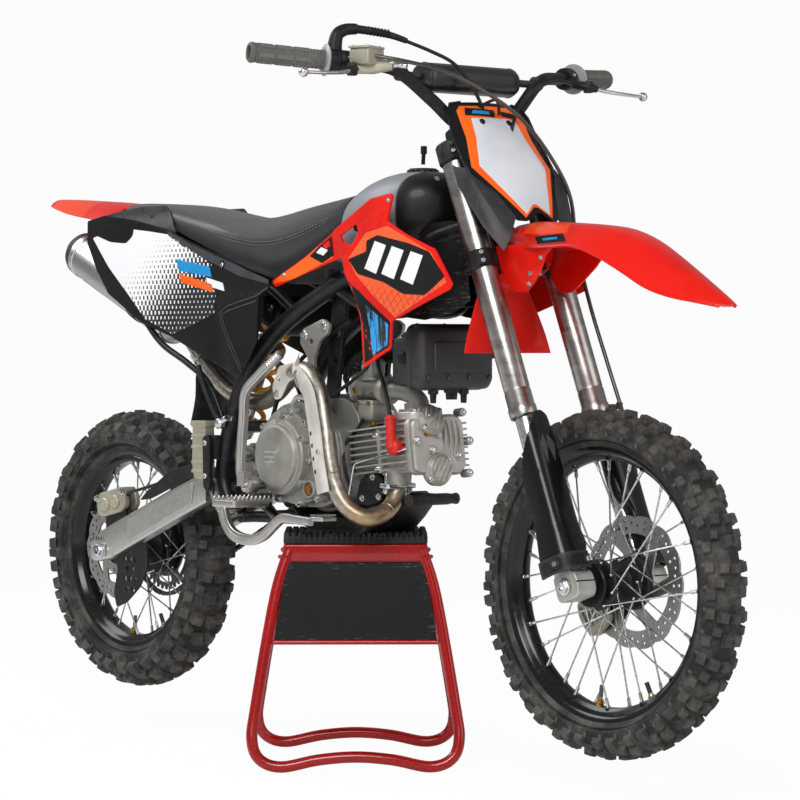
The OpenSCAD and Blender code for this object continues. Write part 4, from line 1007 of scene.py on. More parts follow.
def through(rows, k=3):  # more rows between the given ones
    columns = [smoothPath([row[j] for row in rows], k) for j in range(len(rows[0]))]
    return [[column[i] for column in columns] for i in range(len(columns[0]))]


def skin(rows, t):  # a closed skin of thickness t below rows of points
    rows = [[Vector(p) for p in row] for row in rows]
    n, m = len(rows), len(rows[0])
    normals = []
    for i in range(n):
        for j in range(m):
            a = rows[min(i + 1, n - 1)][j] - rows[max(i - 1, 0)][j]
            b = rows[i][min(j + 1, m - 1)] - rows[i][max(j - 1, 0)]
            c = a.cross(b)
            normals.append(c.normalized() if c.length > 1e-9 else Vector((0, 0, 1)))
    flat = [p for row in rows for p in row]
    points = flat + [p - normals[i] * t for i, p in enumerate(flat)]
    q, faces = n * m, []
    for i in range(n - 1):
        for j in range(m - 1):
            a = i * m + j
            faces += [(a, a + 1, a + m + 1, a + m), (a + q, a + m + q, a + m + 1 + q, a + 1 + q)]
    rim = [i * m for i in range(n)] + [(n - 1) * m + j for j in range(1, m)]
    rim += [i * m + m - 1 for i in range(n - 2, -1, -1)] + [j for j in range(m - 2, 0, -1)]
    for i, a in enumerate(rim):
        b = rim[(i + 1) % len(rim)]
        faces.append((a, b, b + q, a + q))
    return points, faces


def fenderFinish():  # red with an orange field over the back of the top
    f = Finish("frontFenderRed")
    x, y, z = f.axes()
    cloud = f.noise(9.0, 4.0)
    edge = (x + (y.size() * -0.62)).step(0.5625, 0.5635, 1.0, 0.0)
    top = (z - (0.9305 - (y.size() * 0.20))).step(-0.0015, 0.0)
    back = x.step(0.4805, 0.4815)
    shade = f.mix(f.mix(tone("#bf0d03"), tone("#dc1405"), cloud.step(0.3, 0.62)), tone("#ee4410"), edge * top * back)
    shade = f.mix(shade, tone("#e89880"), ((f.edges() - 0.53).larger(0.0) * 3.0).smaller(0.14))
    return f.done(shade, 0.3 + (cloud * 0.08), 0.0, f.noise(900.0) + (cloud * 2.0), 0.1, 0.0004,
        **{"Coat Weight": 0.16, "Coat Roughness": 0.07, "Specular IOR Level": 0.2})


def tailFinish():
    f = Finish("rearFenderOrange")
    x, y, _ = f.axes()
    cloud = f.noise(9.0, 4.0)
    a = (((x * 0.9 + (y * 0.5)) / 0.017) % 1.0 - 0.5).size()
    b = (((x * 0.5 - (y * 0.9)) / 0.017) % 1.0 - 0.5).size()
    net = a.smaller(b).step(0.04, 0.07, 1.0, 0.0) * cloud.step(0.4, 0.6) * x.step(-0.74, -0.70, 1.0, 0.0)
    band = (x + (y.size() * 0.5)).step(-0.886, -0.885)
    shade = f.mix(tone("#d21606"), tone("#ec3c0c"), band * x.step(-0.745, -0.73, 1.0, 0.0))
    shade = f.mix(shade, tone("#b02410"), net * 0.6)
    return f.done(shade, 0.3 + (cloud * 0.08), 0.0, f.noise(900.0) + (cloud * 2.0), 0.1, 0.0004,
        **{"Coat Weight": 0.16, "Coat Roughness": 0.08, "Specular IOR Level": 0.2})


def makeFrontFender():
    piece = Piece()
    paint = fenderFinish()
    rows = [arch(*r) for r in ((436, 938, 36, 912), (480, 942, 55, 902), (527, 940, 70, 899), (580, 935, 78, 899),
        (633, 930, 79, 899), (683, 923, 76, 883), (733, 906, 70, 858), (780, 882, 61, 831), (822, 858, 50, 816),
        (866, 832, 36, 807), (902, 811, 19, 799), (917, 802, 7, 798))]
    for row, x in zip(rows, (436, 480, 527, 580, 633, 683, 733, 780, 822, 866, 902, 917)):
        rise = 5.0 * ramp(x, 520, 600) * (1 - ramp(x, 760, 900))
        for p in row:
            q = abs(p.y) / (abs(row[0].y) + 0.01)
            p.z += rise * (1 - ramp(q, 0.52, 0.60)) - rise * 0.5
    piece.add(skin(through(rows), 3.4), paint)
    flap = []
    for x, z, half, back in ((392, 724, 97, 9), (390, 755, 88, 8), (389, 790, 73, 6), (388, 820, 59, 4),
            (394, 839, 48, 2), (415, 848, 45, 0), (440, 858, 45, 0), (456, 871, 45, 0), (464, 900, 43, 0),
            (470, 930, 37, 0)):
        flap.append([Vector((x + back * (j / 6 - 1) ** 2, -half * (j / 6 - 1), z)) for j in range(13)])
    piece.add(skin(through(flap, 2), 3.4), red)
    cheek = rounded([(438, 902), (560, 903), (590, 900), (560, 884), (548, 866), (524, 842), (500, 824), (470, 826),
        (448, 850)], 6, 3)
    for s in (-1, 1):
        def side(u, v, out):
            return Vector((u, s * (52 + out + (v - 820) * 0.16 + 9 * ramp(u, 520, 590)), v))
        piece.add(patch(cheek, side, 14, (), 3.2), red)
        for u, v in ((549, 880), (516, 855), (510, 838)):
            spot = side(u, v, 0)
            piece.add(screw(9, 3), steel, aim(spot, (0, s, 0)))
        piece.add(bend([(430, s * 34, 910), (480, s * 53, 900), (527, s * 69, 897), (580, s * 77, 897),
            (633, s * 78, 897), (683, s * 75, 881), (733, s * 69, 856), (780, s * 60, 829), (822, s * 49, 814),
            (866, s * 35, 805), (902, s * 18, 797)], 4, 2.2, 8), red)
    piece.add(block((66, 0.8, 13)), black, shift(584, -78.2, 909.5) @ swivel(-3, "Y") @ swivel(24, "X"))
    piece.add(block((34, 0.8, 4)), blue, shift(584, -78.9, 909.5) @ swivel(-3, "Y") @ swivel(24, "X"))
    piece.add(block((46, 50, 11)), black, headPlace @ shift(51, 0, 14))
    for x in (40, 62):
        for y in (-16, 16):
            piece.add(hexBolt(9, 5), steel, headPlace @ aim((x, y, 8.6), (0, 0, -1)))
    return piece.build("frontFenderSkin", "front_end", ["front_fender"], 0.5, 2, 42)


def makeRearFender():
    piece = Piece()
    paint = tailFinish()
    rows = [arch(x, t, h, e, 18, 2.6) for x, t, h, e in ((-941, 1021, 7, 1017), (-915, 1028, 25, 1014),
        (-870, 1027, 43, 1007), (-817, 1024, 59, 998), (-760, 1020, 71, 990), (-703, 1016, 81, 983),
        (-662, 1012, 87, 977), (-632, 1007, 89, 970))]
    piece.add(skin(through(rows), 3.4), paint)
    under = [arch(x, t, h, e, 12, 2.4) for x, t, h, e in ((-700, 1004, 78, 972), (-660, 1001, 84, 962),
        (-630, 984, 88, 952), (-560, 972, 90, 944), (-500, 964, 86, 938), (-470, 958, 80, 936))]
    piece.add(skin(through(under, 2), 3.4), matBlack)
    flap = []
    for x, y0, z, y1 in ((-468, 0, 940, 64), (-440, -4, 860, 50), (-422, -8, 760, 46), (-412, -20, 716, 46),
            (-408, -46, 690, 46), (-412, -46, 640, 46), (-430, -44, 590, 44)):
        flap.append([Vector((x + 14 * (1 - (j / 4 - 1) ** 2), y1 + (y0 - y1) * j / 8, z)) for j in range(9)])
    piece.add(skin(through(flap, 3), 3.4), matBlack)
    tail = rounded([(-30, 978), (34, 990), (120, 998), (200, 998), (252, 948), (247, 934), (141, 954), (85, 962),
        (30, 968)], 4, 2)
    for s in (-1, 1):
        def side(u, v, out):
            q = -640 + u
            return Vector((q, s * (93 + out + 16 * ramp(960 - v, -30, 14) * ramp(u, -40, 60)), v))
        piece.add(patch(tail, side, 14, (), 3.2), darkGrey)
        for u, v in ((160, 980), (66, 976)):
            spot = side(u, v, 0)
            piece.add(screw(9, 2.6), darkSteel, aim(spot, (0, s, 0)))
        piece.add(rod((-600, s * 50, 944), (-600, s * 50, 968), 9), matBlack)
    return piece.build("rearFenderSkin", "chassis", ["rear_fender"], 0.5, 2, 42)


def makePlate():
    piece = Piece()
    down, out = Vector((131, 0, -195)) / 234.917, Vector((0.830, 0, 0.5577))

    def lay(y, s, lift):
        half = 98 if s < 118 else 98 - (s - 118) * 0.55
        q = y / half
        bow = (10 + 6 * ramp(s, 0, 70) - 12 * ramp(s, 90, 235)) * q * q
        return Vector((348, y, 1143)) + down * s + out * (lift - bow)

    def whole(half):
        return [(y, s) for y, s in half] + [(-y, s) for y, s in reversed(half)]
    piece.add(patch(rounded(whole([(58, -5), (80, -3), (91, 16), (98, 62), (101, 120), (64, 186), (46, 234),
        (26, 238), (5, 224)]), 4, 2), lay, 12, (), 3.5), black)
    piece.add(patch(whole([(64, 3), (73, 12), (75, 66), (90, 124), (30, 233), (4, 213)]), lay, 12, (), 0.3,
        0.4), orangePlain)
    piece.add(patch(rounded(whole([(50, 28), (56, 66), (75, 124), (26, 227), (4, 207)]), 1.5, 2), lay, 12, (),
        0.3, 0.75), paleGrey)
    piece.add(patch([(-54, 7), (8, 11), (3, 26), (-60, 22)], lay, 12, (), 0.3, 0.8), black)
    piece.add(patch([(-40, 12), (-4, 14), (-7, 21), (-44, 19)], lay, 12, (), 0.3, 1.1), blue)
    piece.add(patch([(22, 12), (56, 15), (54, 26), (20, 23)], lay, 12, (), 0.3, 0.8), black)
    for y in (-30, 30):
        spot = lay(y, 36, 0.6)
        piece.add(screw(11, 2.6), matBlack, aim(spot, out))
    rimHalf = [(0, -5), (58, -5), (80, -3), (91, 16), (98, 62), (101, 120)]
    for s in (-1, 1):
        piece.add(tube([lay(s * y, v, 0.5) for y, v in rimHalf[1:]], 2.4, 8), black)
        wing = [[lay(s * 99, 112, -1.5), lay(s * 99, 134, -1.5), lay(s * 66, 182, -1.5), lay(s * 48, 230, -1.5)],
            [Vector((404, s * 103, 1030)), Vector((424, s * 104, 1012)), Vector((460, s * 84, 950)),
            Vector((478, s * 70, 912))], [Vector((380, s * 106, 1036)), Vector((396, s * 107, 1000)),
            Vector((447, s * 100, 932)), Vector((476, s * 80, 891))]]
        piece.add(skin(through(wing, 3), 3.2 * s), darkGrey)
        arm = [Vector((392, s * 22, 1046)), fromHead(56, s * 30, 226), fromHead(40, s * 30, 222)]
        piece.add(tube(arm, 5, 8), black)
    piece.add(bend([lay(-20, 2, -6), Vector((392, -22, 1148)), lay(14, 20, 3)], 6, 2.6, 10), cableBlack)
    return piece.build("numberPlateSkin", "front_end", ["number_plate"], 0.5, 2, 42)


# ---- tank and seat ----

def slab(x, top, half, low, n=40, e=2.8):
    c, h, ring = (top + low) / 2, (top - low) / 2, []
    for i in range(n):
        t = 2 * pi * i / n
        a, b = cos(t), sin(t)
        ring.append(Vector((x, half * (1 if a > 0 else -1) * abs(a) ** (2 / e), c
            + h * (1 if b > 0 else -1) * abs(b) ** (2 / e))))
    return ring


def makeTank():
    piece = Piece()
    rows = [slab(*r) for r in ((-18, 925, 50, 884), (20, 933, 60, 880), (62, 996, 84, 876), (93, 1014, 96, 872),
        (130, 1028, 103, 872), (173, 1036, 106, 878), (214, 1036, 104, 892), (244, 1032, 92, 908),
        (266, 1022, 70, 926), (282, 1000, 46, 950))]
    piece.add(loft(through(rows, 4)), tankShell)
    cap = shift(182, 0, 1026)
    piece.add(lathe([(30, -4), (30, 2), (27, 5), (26, 5), (26, 14), (23, 17), (8, 18), (0.02, 18)],
        40), matBlack, cap)
    for i in range(16):
        a = 2 * pi * i / 16
        piece.add(block((3, 5, 10)), matBlack, cap @ Matrix.Rotation(a, 4, "Z") @ shift(26.5, 0, 9))
    piece.add(bend([(182, 0, 1050), (183, 0, 1062), (184, 0, 1074)], 4, 3.6, 12), cableBlack)
    piece.add(lathe([(4.6, 0), (5.6, 1), (5.6, 13), (4.4, 14)], 16), cableBlack, shift(184, 0, 1068))
    for s in (-1, 1):
        piece.add(hexBolt(9, 4), steel, aim((262, s * 40, 1020), (0.5, s * 0.3, 0.8)))
    return piece.build("tankShell", "chassis", ["fuel_tank"], 0, 2, 40)


def makeSeat():
    piece = Piece()
    rows = [slab(x, t, h, l, 48, 3.2) for x, t, h, l in ((-630, 997, 36, 985), (-622, 1003, 52, 980),
        (-600, 1006, 66, 976), (-560, 1005, 78, 972), (-481, 1000, 88, 960), (-425, 993, 94, 944),
        (-360, 982, 97, 920), (-302, 973, 98, 898), (-227, 967, 98, 872), (-170, 968, 98, 856), (-125, 973, 98, 848),
        (-80, 980, 96, 868), (-40, 986, 93, 888), (20, 994, 85, 914), (50, 998, 79, 936), (62, 1000, 72, 946))]
    for row in rows:  # a low crown and a waist under the cover
        for p in row:
            if p.z > 900:
                p.z += 3.0 * (1 - (p.y / 98) ** 2)
    piece.add(loft(through(rows, 4)), seatCover)
    for s in (-1, 1):
        line = smoothPath([(-612, s * 52, 1003.5), (-516, s * 72.5, 1000), (-447, s * 83, 983), (-326, s * 95.2, 953),
            (-221, s * 98.2, 931), (-141, s * 98.6, 922), (-64, s * 95.6, 931), (15, s * 85.5, 957),
            (56, s * 74, 980)], 10)
        for k in (0, 1):
            way = [p + Vector((0, 0, -5.0 * k)) for p in line]
            for a, b in zip(way, way[1:]):
                d = b - a
                n = max(1, int(d.length / 5))
                for i in range(n):
                    c, e = a + d * ((i + 0.2) / n), a + d * ((i + 0.8) / n)
                    q = Vector((0, s * 0.15, 0))
                    piece.add(rod(c + q, e + q, 0.55, 5), thread)
        piece.add(tube([p + Vector((0, s * -0.5, -2.4)) for p in line], 0.9, 6), cableBlack)
    made = piece.build("seatPad", "chassis", ["seat"], 0, 2, 60)
    return made


for side in (-1, 1):
    makeShroud(side)
    makePanel(side)
makeFrontFender()
makeRearFender()
makePlate()
makeTank()
makeSeat()
print("bodywork made")


# ---- front fork, yokes and guards ----

forkSet = {"tubeR": 22.0, "sliderR": 16.5, "low": -242.0, "top": 244.0, "axleDrop": 534.8}


def hoseFinish():
    f = Finish("clearHose")
    braid = f.noise(1200.0, 2.0) * 0.5 + (f.cells(1500.0) * 0.5)
    cloud = f.noise(30.0, 4.0)
    shade = f.mix(tone("#1c1715"), tone("#4a3a2c"), braid.step(0.3, 0.7) * cloud)
    return f.done(shade, 0.22 + (cloud * 0.1), 0.0, braid, 0.2, 0.0003, **{"Coat Weight": 0.6})


def guardFinish():
    f = Finish("guardGloss")
    cloud = f.noise(11.0, 5.0)
    scuff = f.noise(90.0, 6.0, 0.7, f.place((1, 1, 0.15), (0, 22, 0))).step(0.58, 0.8)
    shade = f.mix(tone("#070708"), tone("#101012"), cloud)
    shade = f.mix(shade, tone("#6b6b6d"), scuff * 0.18)
    return f.done(shade, 0.26 + (scuff * 0.25) + (cloud * 0.08), 0.0, cloud, 0.08, 0.0005,
        **{"Coat Weight": 0.2, "Specular IOR Level": 0.25})


clearHose = hoseFinish()
guardGloss = guardFinish()


def makeForkTubes():
    piece = Piece()
    r, low, top = forkSet["tubeR"], forkSet["low"], forkSet["top"]
    outline = [(r - 4.5, low + 2), (r - 3.5, low), (r + 0.8, low + 1.5), (r + 1.6, low + 7), (r + 1.6, low + 17),
        (r + 0.3, low + 20), (r + 0.3, low + 44), (r - 0.6, low + 46), (r - 0.6, low + 48), (r, low + 50), (r, 18),
        (r, 52), (r, 208), (r, top), (r - 1.5, top + 2), (r - 3, top + 2)]
    for s in (-1, 1):
        at = onLeg(s)
        piece.add(lathe(outline, 48), forkSteel, at)
        piece.add(lathe([(r - 2, top + 1), (r - 2, top + 5), (r - 4, top + 7), (12, top + 7), (11, top + 4),
            (5, top + 4), (5, top + 9), (0.02, top + 9.5)], 40), darkSteel, at)
        piece.add(lathe([(r + 2.5, 214), (r + 4, 216), (r + 4, top + 1), (r + 2, top + 4), (r - 1, top + 4)],
            40), matBlack, at)
    return piece.build("forkOuterTubes", "front_end", ["fork_tubes"], 0, 2, 30)


def makeYokes():
    piece = Piece()
    for z, h, tail in ((20, 30, 24), (212, 28, 22)):
        half = [(-tail, 0), (-tail, 16), (-tail + 8, 26), (8, 46), (19, 62), (20, 84), (24, 100), (38, 111),
            (54, 104), (62, 88), (60, 74), (42, 44), (36, 22), (36, 0)]
        outline = half + [(x, -y) for x, y in reversed(half[1:-1])]
        holes = [circle(21.9, 40, steering["offset"], s * steering["half"]) for s in (-1, 1)] + [circle(13.5, 32)]
        if z < 100:
            holes += [rounded([(0, s * 34), (16, s * 50), (26, s * 50), (26, s * 28), (10, s * 24)], 4, 3)
                for s in (-1, 1)]
        piece.add(plate(rounded(outline, 4, 3), holes, h, 1.6, 2), matBlack, headPlace @ shift(0, 0, z + h / 2))
        for s in (-1, 1):
            piece.add(block((6, 16, h * 0.84)), matBlack, headPlace @ shift(57, s * 99, z + h / 2))
            for k in ((-7, 7) if z < 100 else (0,)):
                piece.add(screw(9, 5), steel, headPlace @ aim((59, s * 101, z + h / 2 + k), (0.9, s * 0.4, 0)))
    piece.add(sleeve(5, 14, 21, 246, 32), steel, headPlace)
    piece.add(sleeve(14, 21, 50, 55.6, 32), darkSteel, headPlace)
    piece.add(sleeve(14, 21, 206.4, 212, 32), darkSteel, headPlace)
    piece.add(hexBolt(34, 9), steel, headPlace @ shift(0, 0, 240))
    for s in (-1, 1):
        at = headPlace @ shift(12, s * 32, 0)
        piece.add(lathe([(15, 239), (15, 243), (11.5, 247), (11.5, 262), (13, 266)], 28), matBlack, at)
        clamp = oblong(-19, 258, 21, 292, 8, 4)
        body = plate(clamp, [], 26, 1.5, 2)
        turn = Matrix(((1, 0, 0, 0), (0, 0, -1, 0), (0, 1, 0, 0), (0, 0, 0, 1)))
        piece.add(body, matBlack, at @ turn)
        for x in (-13, 15):
            for y in (-7, 7):
                piece.add(screw(7, 3.5), steel, at @ shift(x, y, 291.5))
    return piece.build("yokes", "front_end", ["triple_clamps"], 0.6, 2, 35)


def guardShape(s):
    def lay(a, v, lift):  # a degrees round from straight ahead towards the outside, v along the fork
        t = radians(a)
        c, d = cos(t), sin(t)
        r = 30.5 / (abs(c) ** 3.4 + abs(d) ** 3.4) ** (1 / 3.4)
        r += lift + 7 * ramp(-v, 420, 500) + 2.0 * ramp(-v, 250, 300)
        y = steering["half"] + r * d
        if y < 76:  # the low end stays clear of the disc on the left and of the hub's cover on the right
            clear, near = (62.0, ramp(-v, 385, 420)) if s > 0 else (52.5, ramp(-v, 465, 490))
            y += (clear + (y - 38) * (76 - clear) / 38 - y) * near
        return headPlace @ Vector((40 + r * c, s * y, v))
    return lay


def makeForkGuards():
    piece = Piece()
    for s in (-1, 1):
        lay = guardShape(s)
        outline = [(-64, -300), (-52, -272), (-38, -250), (-14, -240), (18, -243), (36, -262), (58, -286), (96, -322),
            (112, -360), (116, -500), (60, -508), (-20, -508), (-66, -496)]
        piece.add(patch(rounded(outline, 8, 3), lay, 7.5, (), 3.0), guardGloss)
        for one in ([(-30, -300), (-8, -282), (0, -300), (-14, -330)], [(8, -282), (24, -300),
                (14, -334), (2, -302)]):
            piece.add(patch(one, lay, 9, (), 0.3, 0.3), slate)
        piece.add(patch([(-72, -486), (118, -486), (118, -514), (-72, -514)], lay, 9, (), 4, 2.5), matBlack)
        for a, v in ((-46, -497), (-12, -501), (66, -500)):
            spot, away = lay(a, v, 2.6), lay(a, v, 5)
            piece.add(hexBolt(10, 5), steel, aim(spot, away - spot))
            piece.add(lathe([(7.6, -2), (7.6, 1.5), (6.5, 2)], 20), matBlack, aim(spot, away - spot))
        piece.add(sleeve(17, 22.4, -500, -490, 32), matBlack, onLeg(s))
    return piece.build("forkGuardShells", "front_end", ["fork_guards"], 0, 2, 38)


def makeForkFeet():
    piece = Piece()
    r = forkSet["sliderR"]
    for s in (-1, 1):
        at = onLeg(s)
        piece.add(lathe([(r, -478), (r, -244), (r - 1.5, -243)], 40), steel, at)
        piece.add(lathe([(12, -522), (19, -519), (21, -512), (21, -478), (18, -475), (r, -475)], 40), castPale, at)
        foot = onLeg(s) @ shift(steering["lead"], 0, -forkSet["axleDrop"]) @ swivel(90, "X")
        outline = rounded([(-24, -22), (22, -24), (30, -12), (30, 12), (22, 24), (-22, 24)], [12, 9, 7, 7, 9, 12], 5)
        piece.add(plate(outline, [circle(8.1, 28)], 41, 2.4, 3), castPale, foot)
        for y in (-9, 9):
            piece.add(block((2.4, 1.8, 41.6)), cableBlack, foot @ shift(29.4, 0, 0))
            piece.add(screw(9, 4), steel, foot @ aim((21, 23.2, y * 1.2), (0.35, 1, 0)))
    return piece.build("forkFeet", "front_end", ["fork_lowers"], 0, 2, 36)


def makeFrontAxle():
    piece = Piece()
    piece.add(sleeve(5.1, 8, -108, 108, 32), steel, frontWheelPlace)
    for s in (-1, 1):
        piece.add(lathe([(8, 50.4), (11.6, 50.4), (12, 52), (12, 60), (11, 61.6), (8, 61.6)], 32, closed=True),
            darkSteel, frontWheelPlace @ Matrix.Scale(s, 4, (0, 0, 1)))
        end = frontWheelPlace @ aim((0, 0, s * 104.4), (0, 0, s))
        piece.add(lathe([(5.2, 0), (14, 0), (14, 1.6), (11.8, 2)], 32), steel, end)
        piece.add(lathe([(5.2, 0), (11.3, 0), (11.3, 6), (10, 7.4), (5.2, 7.4)], 6, closed=True), steel, end)
    return piece.build("frontAxleBolt", "front_end", ["front_axle"], 0.3, 2, 35)


def makeFrontCaliper():
    piece = Piece()
    at = frontWheelPlace @ shift(0, 0, -55) @ swivel(213)
    outer = rounded([(64, -31), (92, -35), (122, -30), (130, -12), (130, 14), (120, 32), (90, 36), (66, 28)], 8, 4)
    for z, h in ((-12.0, 11.0), (12.0, 11.0)):
        piece.add(plate(outer, [], h, 2.0, 3), castBeige, at @ shift(0, 0, z))
    piece.add(plate(oblong(116, -30, 130, 30, 5, 3), [], 24, 1.5, 2), castBeige, at)
    for y in (-14, 14):
        piece.add(lathe([(0.02, 0), (14, 0), (14, 4), (12, 7), (5, 7.5), (0.02, 7.5)], 28), castBeige, at
            @ aim((93, y, -17), (0, 0, -1)))
        piece.add(sleeve(9, 13, 0, 6, 24), copper, at @ aim((93, y, 11), (0, 0, 1)))
    for i in range(5):
        piece.add(block((4, 40, 5)), castBeige, at @ shift(74 + 11 * i, 0, 20))
    face = oblong(70, -26, 112, 22, 7, 4)
    piece.add(plate(face, [circle(13.4, 28, 93, -14), circle(13.4, 28, 93, 14)], 2.4, 0.6, 2), copper, at
        @ shift(0, 0, -18.2))
    piece.add(block((34, 52, 3.4)), copper, at @ shift(88, 0, 5.4))
    piece.add(block((34, 52, 3.4)), copper, at @ shift(88, 0, -5.4))
    bracket = rounded([(10, -20), (44, -18), (78, -30), (84, -8), (84, 16), (72, 30), (44, 18), (10, 20)], 8, 4)
    piece.add(plate(bracket, [circle(15.2, 28, 0, 0), circle(7, 16, 44, 0)], 7, 1.2, 2), matBlack, at
        @ shift(0, 0, -21.2))
    for x, y in ((74, -22), (74, 22)):
        piece.add(hexBolt(12, 6), steel, at @ aim((x, y, -25), (0, 0, -1)))
    piece.add(sleeve(4, 8, 0, 12, 20), steel, at @ aim((124, 20, -14), (0, 0, -1)))
    return piece.build("frontCaliperCast", "front_end", ["front_caliper"], 0.4, 2, 36)


# ---- handlebar and its controls ----

barSet = {"half": 405.0, "r": 11.0, "gripR": 16.0, "braceR": 6.5}
barPoints = [(216, -barSet["half"], 1217), (250, -315, 1212), (283, -225, 1204), (303, -165, 1195), (321, -105, 1150),
    (331, -66, 1116), (334, -42, 1108), (335, 0, 1107)]
barPoints += [(x, -y, z) for x, y, z in reversed(barPoints[:-1])]


def onBar(y):
    t = (abs(y) - 225) / 180
    return Vector((283 - 67 * t, y, 1204 + 13 * t))


def makeHandlebar():
    piece = Piece()
    piece.add(bend(barPoints, 7, barSet["r"], 24), matBlack)
    piece.add(rod((300, -160, 1189), (300, 160, 1189), barSet["braceR"], 18), matBlack)
    for s in (-1, 1):
        piece.add(lathe([(0.02, -2), (10, -2), (12, 0), (12.5, 14), (8, 18)], 24), matBlack,
            aim((303, s * 162, 1190), (0, -s, 0)))
        piece.add(screw(8, 3), steel, aim((311, s * 157, 1189), (1, 0, 0)))
    return piece.build("barTube", "front_end", ["handlebar"], 0, 2, 40)


def makeBarPad():
    piece = Piece()
    rings = []
    for i in range(25):
        y = -112 + 216 * i / 24
        q = max(0.0, min(1.0, (108 - abs(y + 4)) / 12))
        sx, sz = 23 * (0.74 + 0.26 * sqrt(q)), 25 * (0.74 + 0.26 * sqrt(q))
        ring = []
        for j in range(28):
            t = 2 * pi * j / 28
            c, d = cos(t), sin(t)
            ring.append((299 + sx * (1 if c > 0 else -1) * abs(c) ** 0.8, y, 1188
                + sz * (1 if d > 0 else -1) * abs(d) ** 0.8))
        rings.append(ring)
    piece.add(loft(rings), padCover)
    for s in (-1, 1):
        ring = [(299 + 23.3 * cos(2 * pi * j / 28), s * 96 - 4, 1188 + 25.3 * sin(2 * pi * j / 28))
            for j in range(28)]
        piece.add(tube(ring, 0.8, 6, closed=True), cableBlack)
    for s in (-1, 1):  # two plain pale bars across the front
        rings = []
        for y in (s * 22 - 17, s * 22 + 17):
            rings.append([(301 + 15.9 * (1 if cos(t) > 0 else -1) * abs(cos(t)) ** 0.8, y + 6 * t, 1191.5
                + 18.9 * (1 if sin(t) > 0 else -1) * abs(sin(t)) ** 0.8) for t in [radians(a)
                for a in (-14, -4, 6, 16, 26)]])
        piece.add(loft(rings, closed=False), white)
    made = piece.build("barPadFoam", "front_end", ["bar_pad"], 0, 2, 55)
    return made


def padFinish():
    f = Finish("barPadVinyl")
    cloud = f.noise(18.0, 5.0)
    fold = f.noise(60.0, 3.0, 0.5, f.place((1, 0.25, 1)))
    shade = f.mix(tone("#0e0e10"), tone("#19191b"), cloud)
    return f.done(shade, 0.3 + (cloud * 0.1), 0.0, f.cells(900.0) * 0.4 + (fold * 2.5), 0.25, 0.0008,
        **{"Coat Weight": 0.25})


padCover = padFinish()


def flangeFinish():
    f = Finish("clearFlange")
    cloud = f.noise(60.0, 4.0)
    return f.done(f.mix(tone("#9a9c9e"), tone("#b4b6b8"), cloud), 0.35 + (cloud * 0.1), 0.0, cloud, 0.1, 0.0004,
        **{"Transmission Weight": 0.25})


clearFlange = flangeFinish()


def makeGrips():
    piece = Piece()
    for s in (-1, 1):
        tip, root = onBar(s * 407), onBar(s * 287)
        way = root - tip
        long, r = way.length, barSet["gripR"]
        at = aim(tip, way)
        outline = [(11.4, 2), (11.4, -1), (14.5, -1.5), (17.2, 1.5), (17.4, 6)]
        for i in range(21):
            z = 8 + (long - 16) * i / 20
            outline += [(r - 0.4, z), (r + 0.3, z + 1.4), (r + 0.3, z + 3.2), (r - 0.4, z + 4.4)]
        outline += [(16.4, long - 2), (17.5, long), (11.4, long)]
        piece.add(lathe(outline, 36, closed=True), gripRubber, at)
        for i in range(6):  # raised half-waffle bars
            for j in range(3):
                a = radians(60 * i + 15)
                piece.add(block((1.6, 7.5, 26)), gripRubber, at @ Matrix.Rotation(a, 4, "Z")
                    @ shift(15.9, 0, 26 + 32 * j))
        piece.add(lathe([(11.4, long), (18, long), (25, long + 1.4), (27, long + 3.4), (26, long + 5.2),
            (20, long + 4.4), (11.4, long + 5.2)], 44, closed=True), clearFlange, at)
    return piece.build("gripRubbers", "front_end", ["grips"], 0, 2, 34)


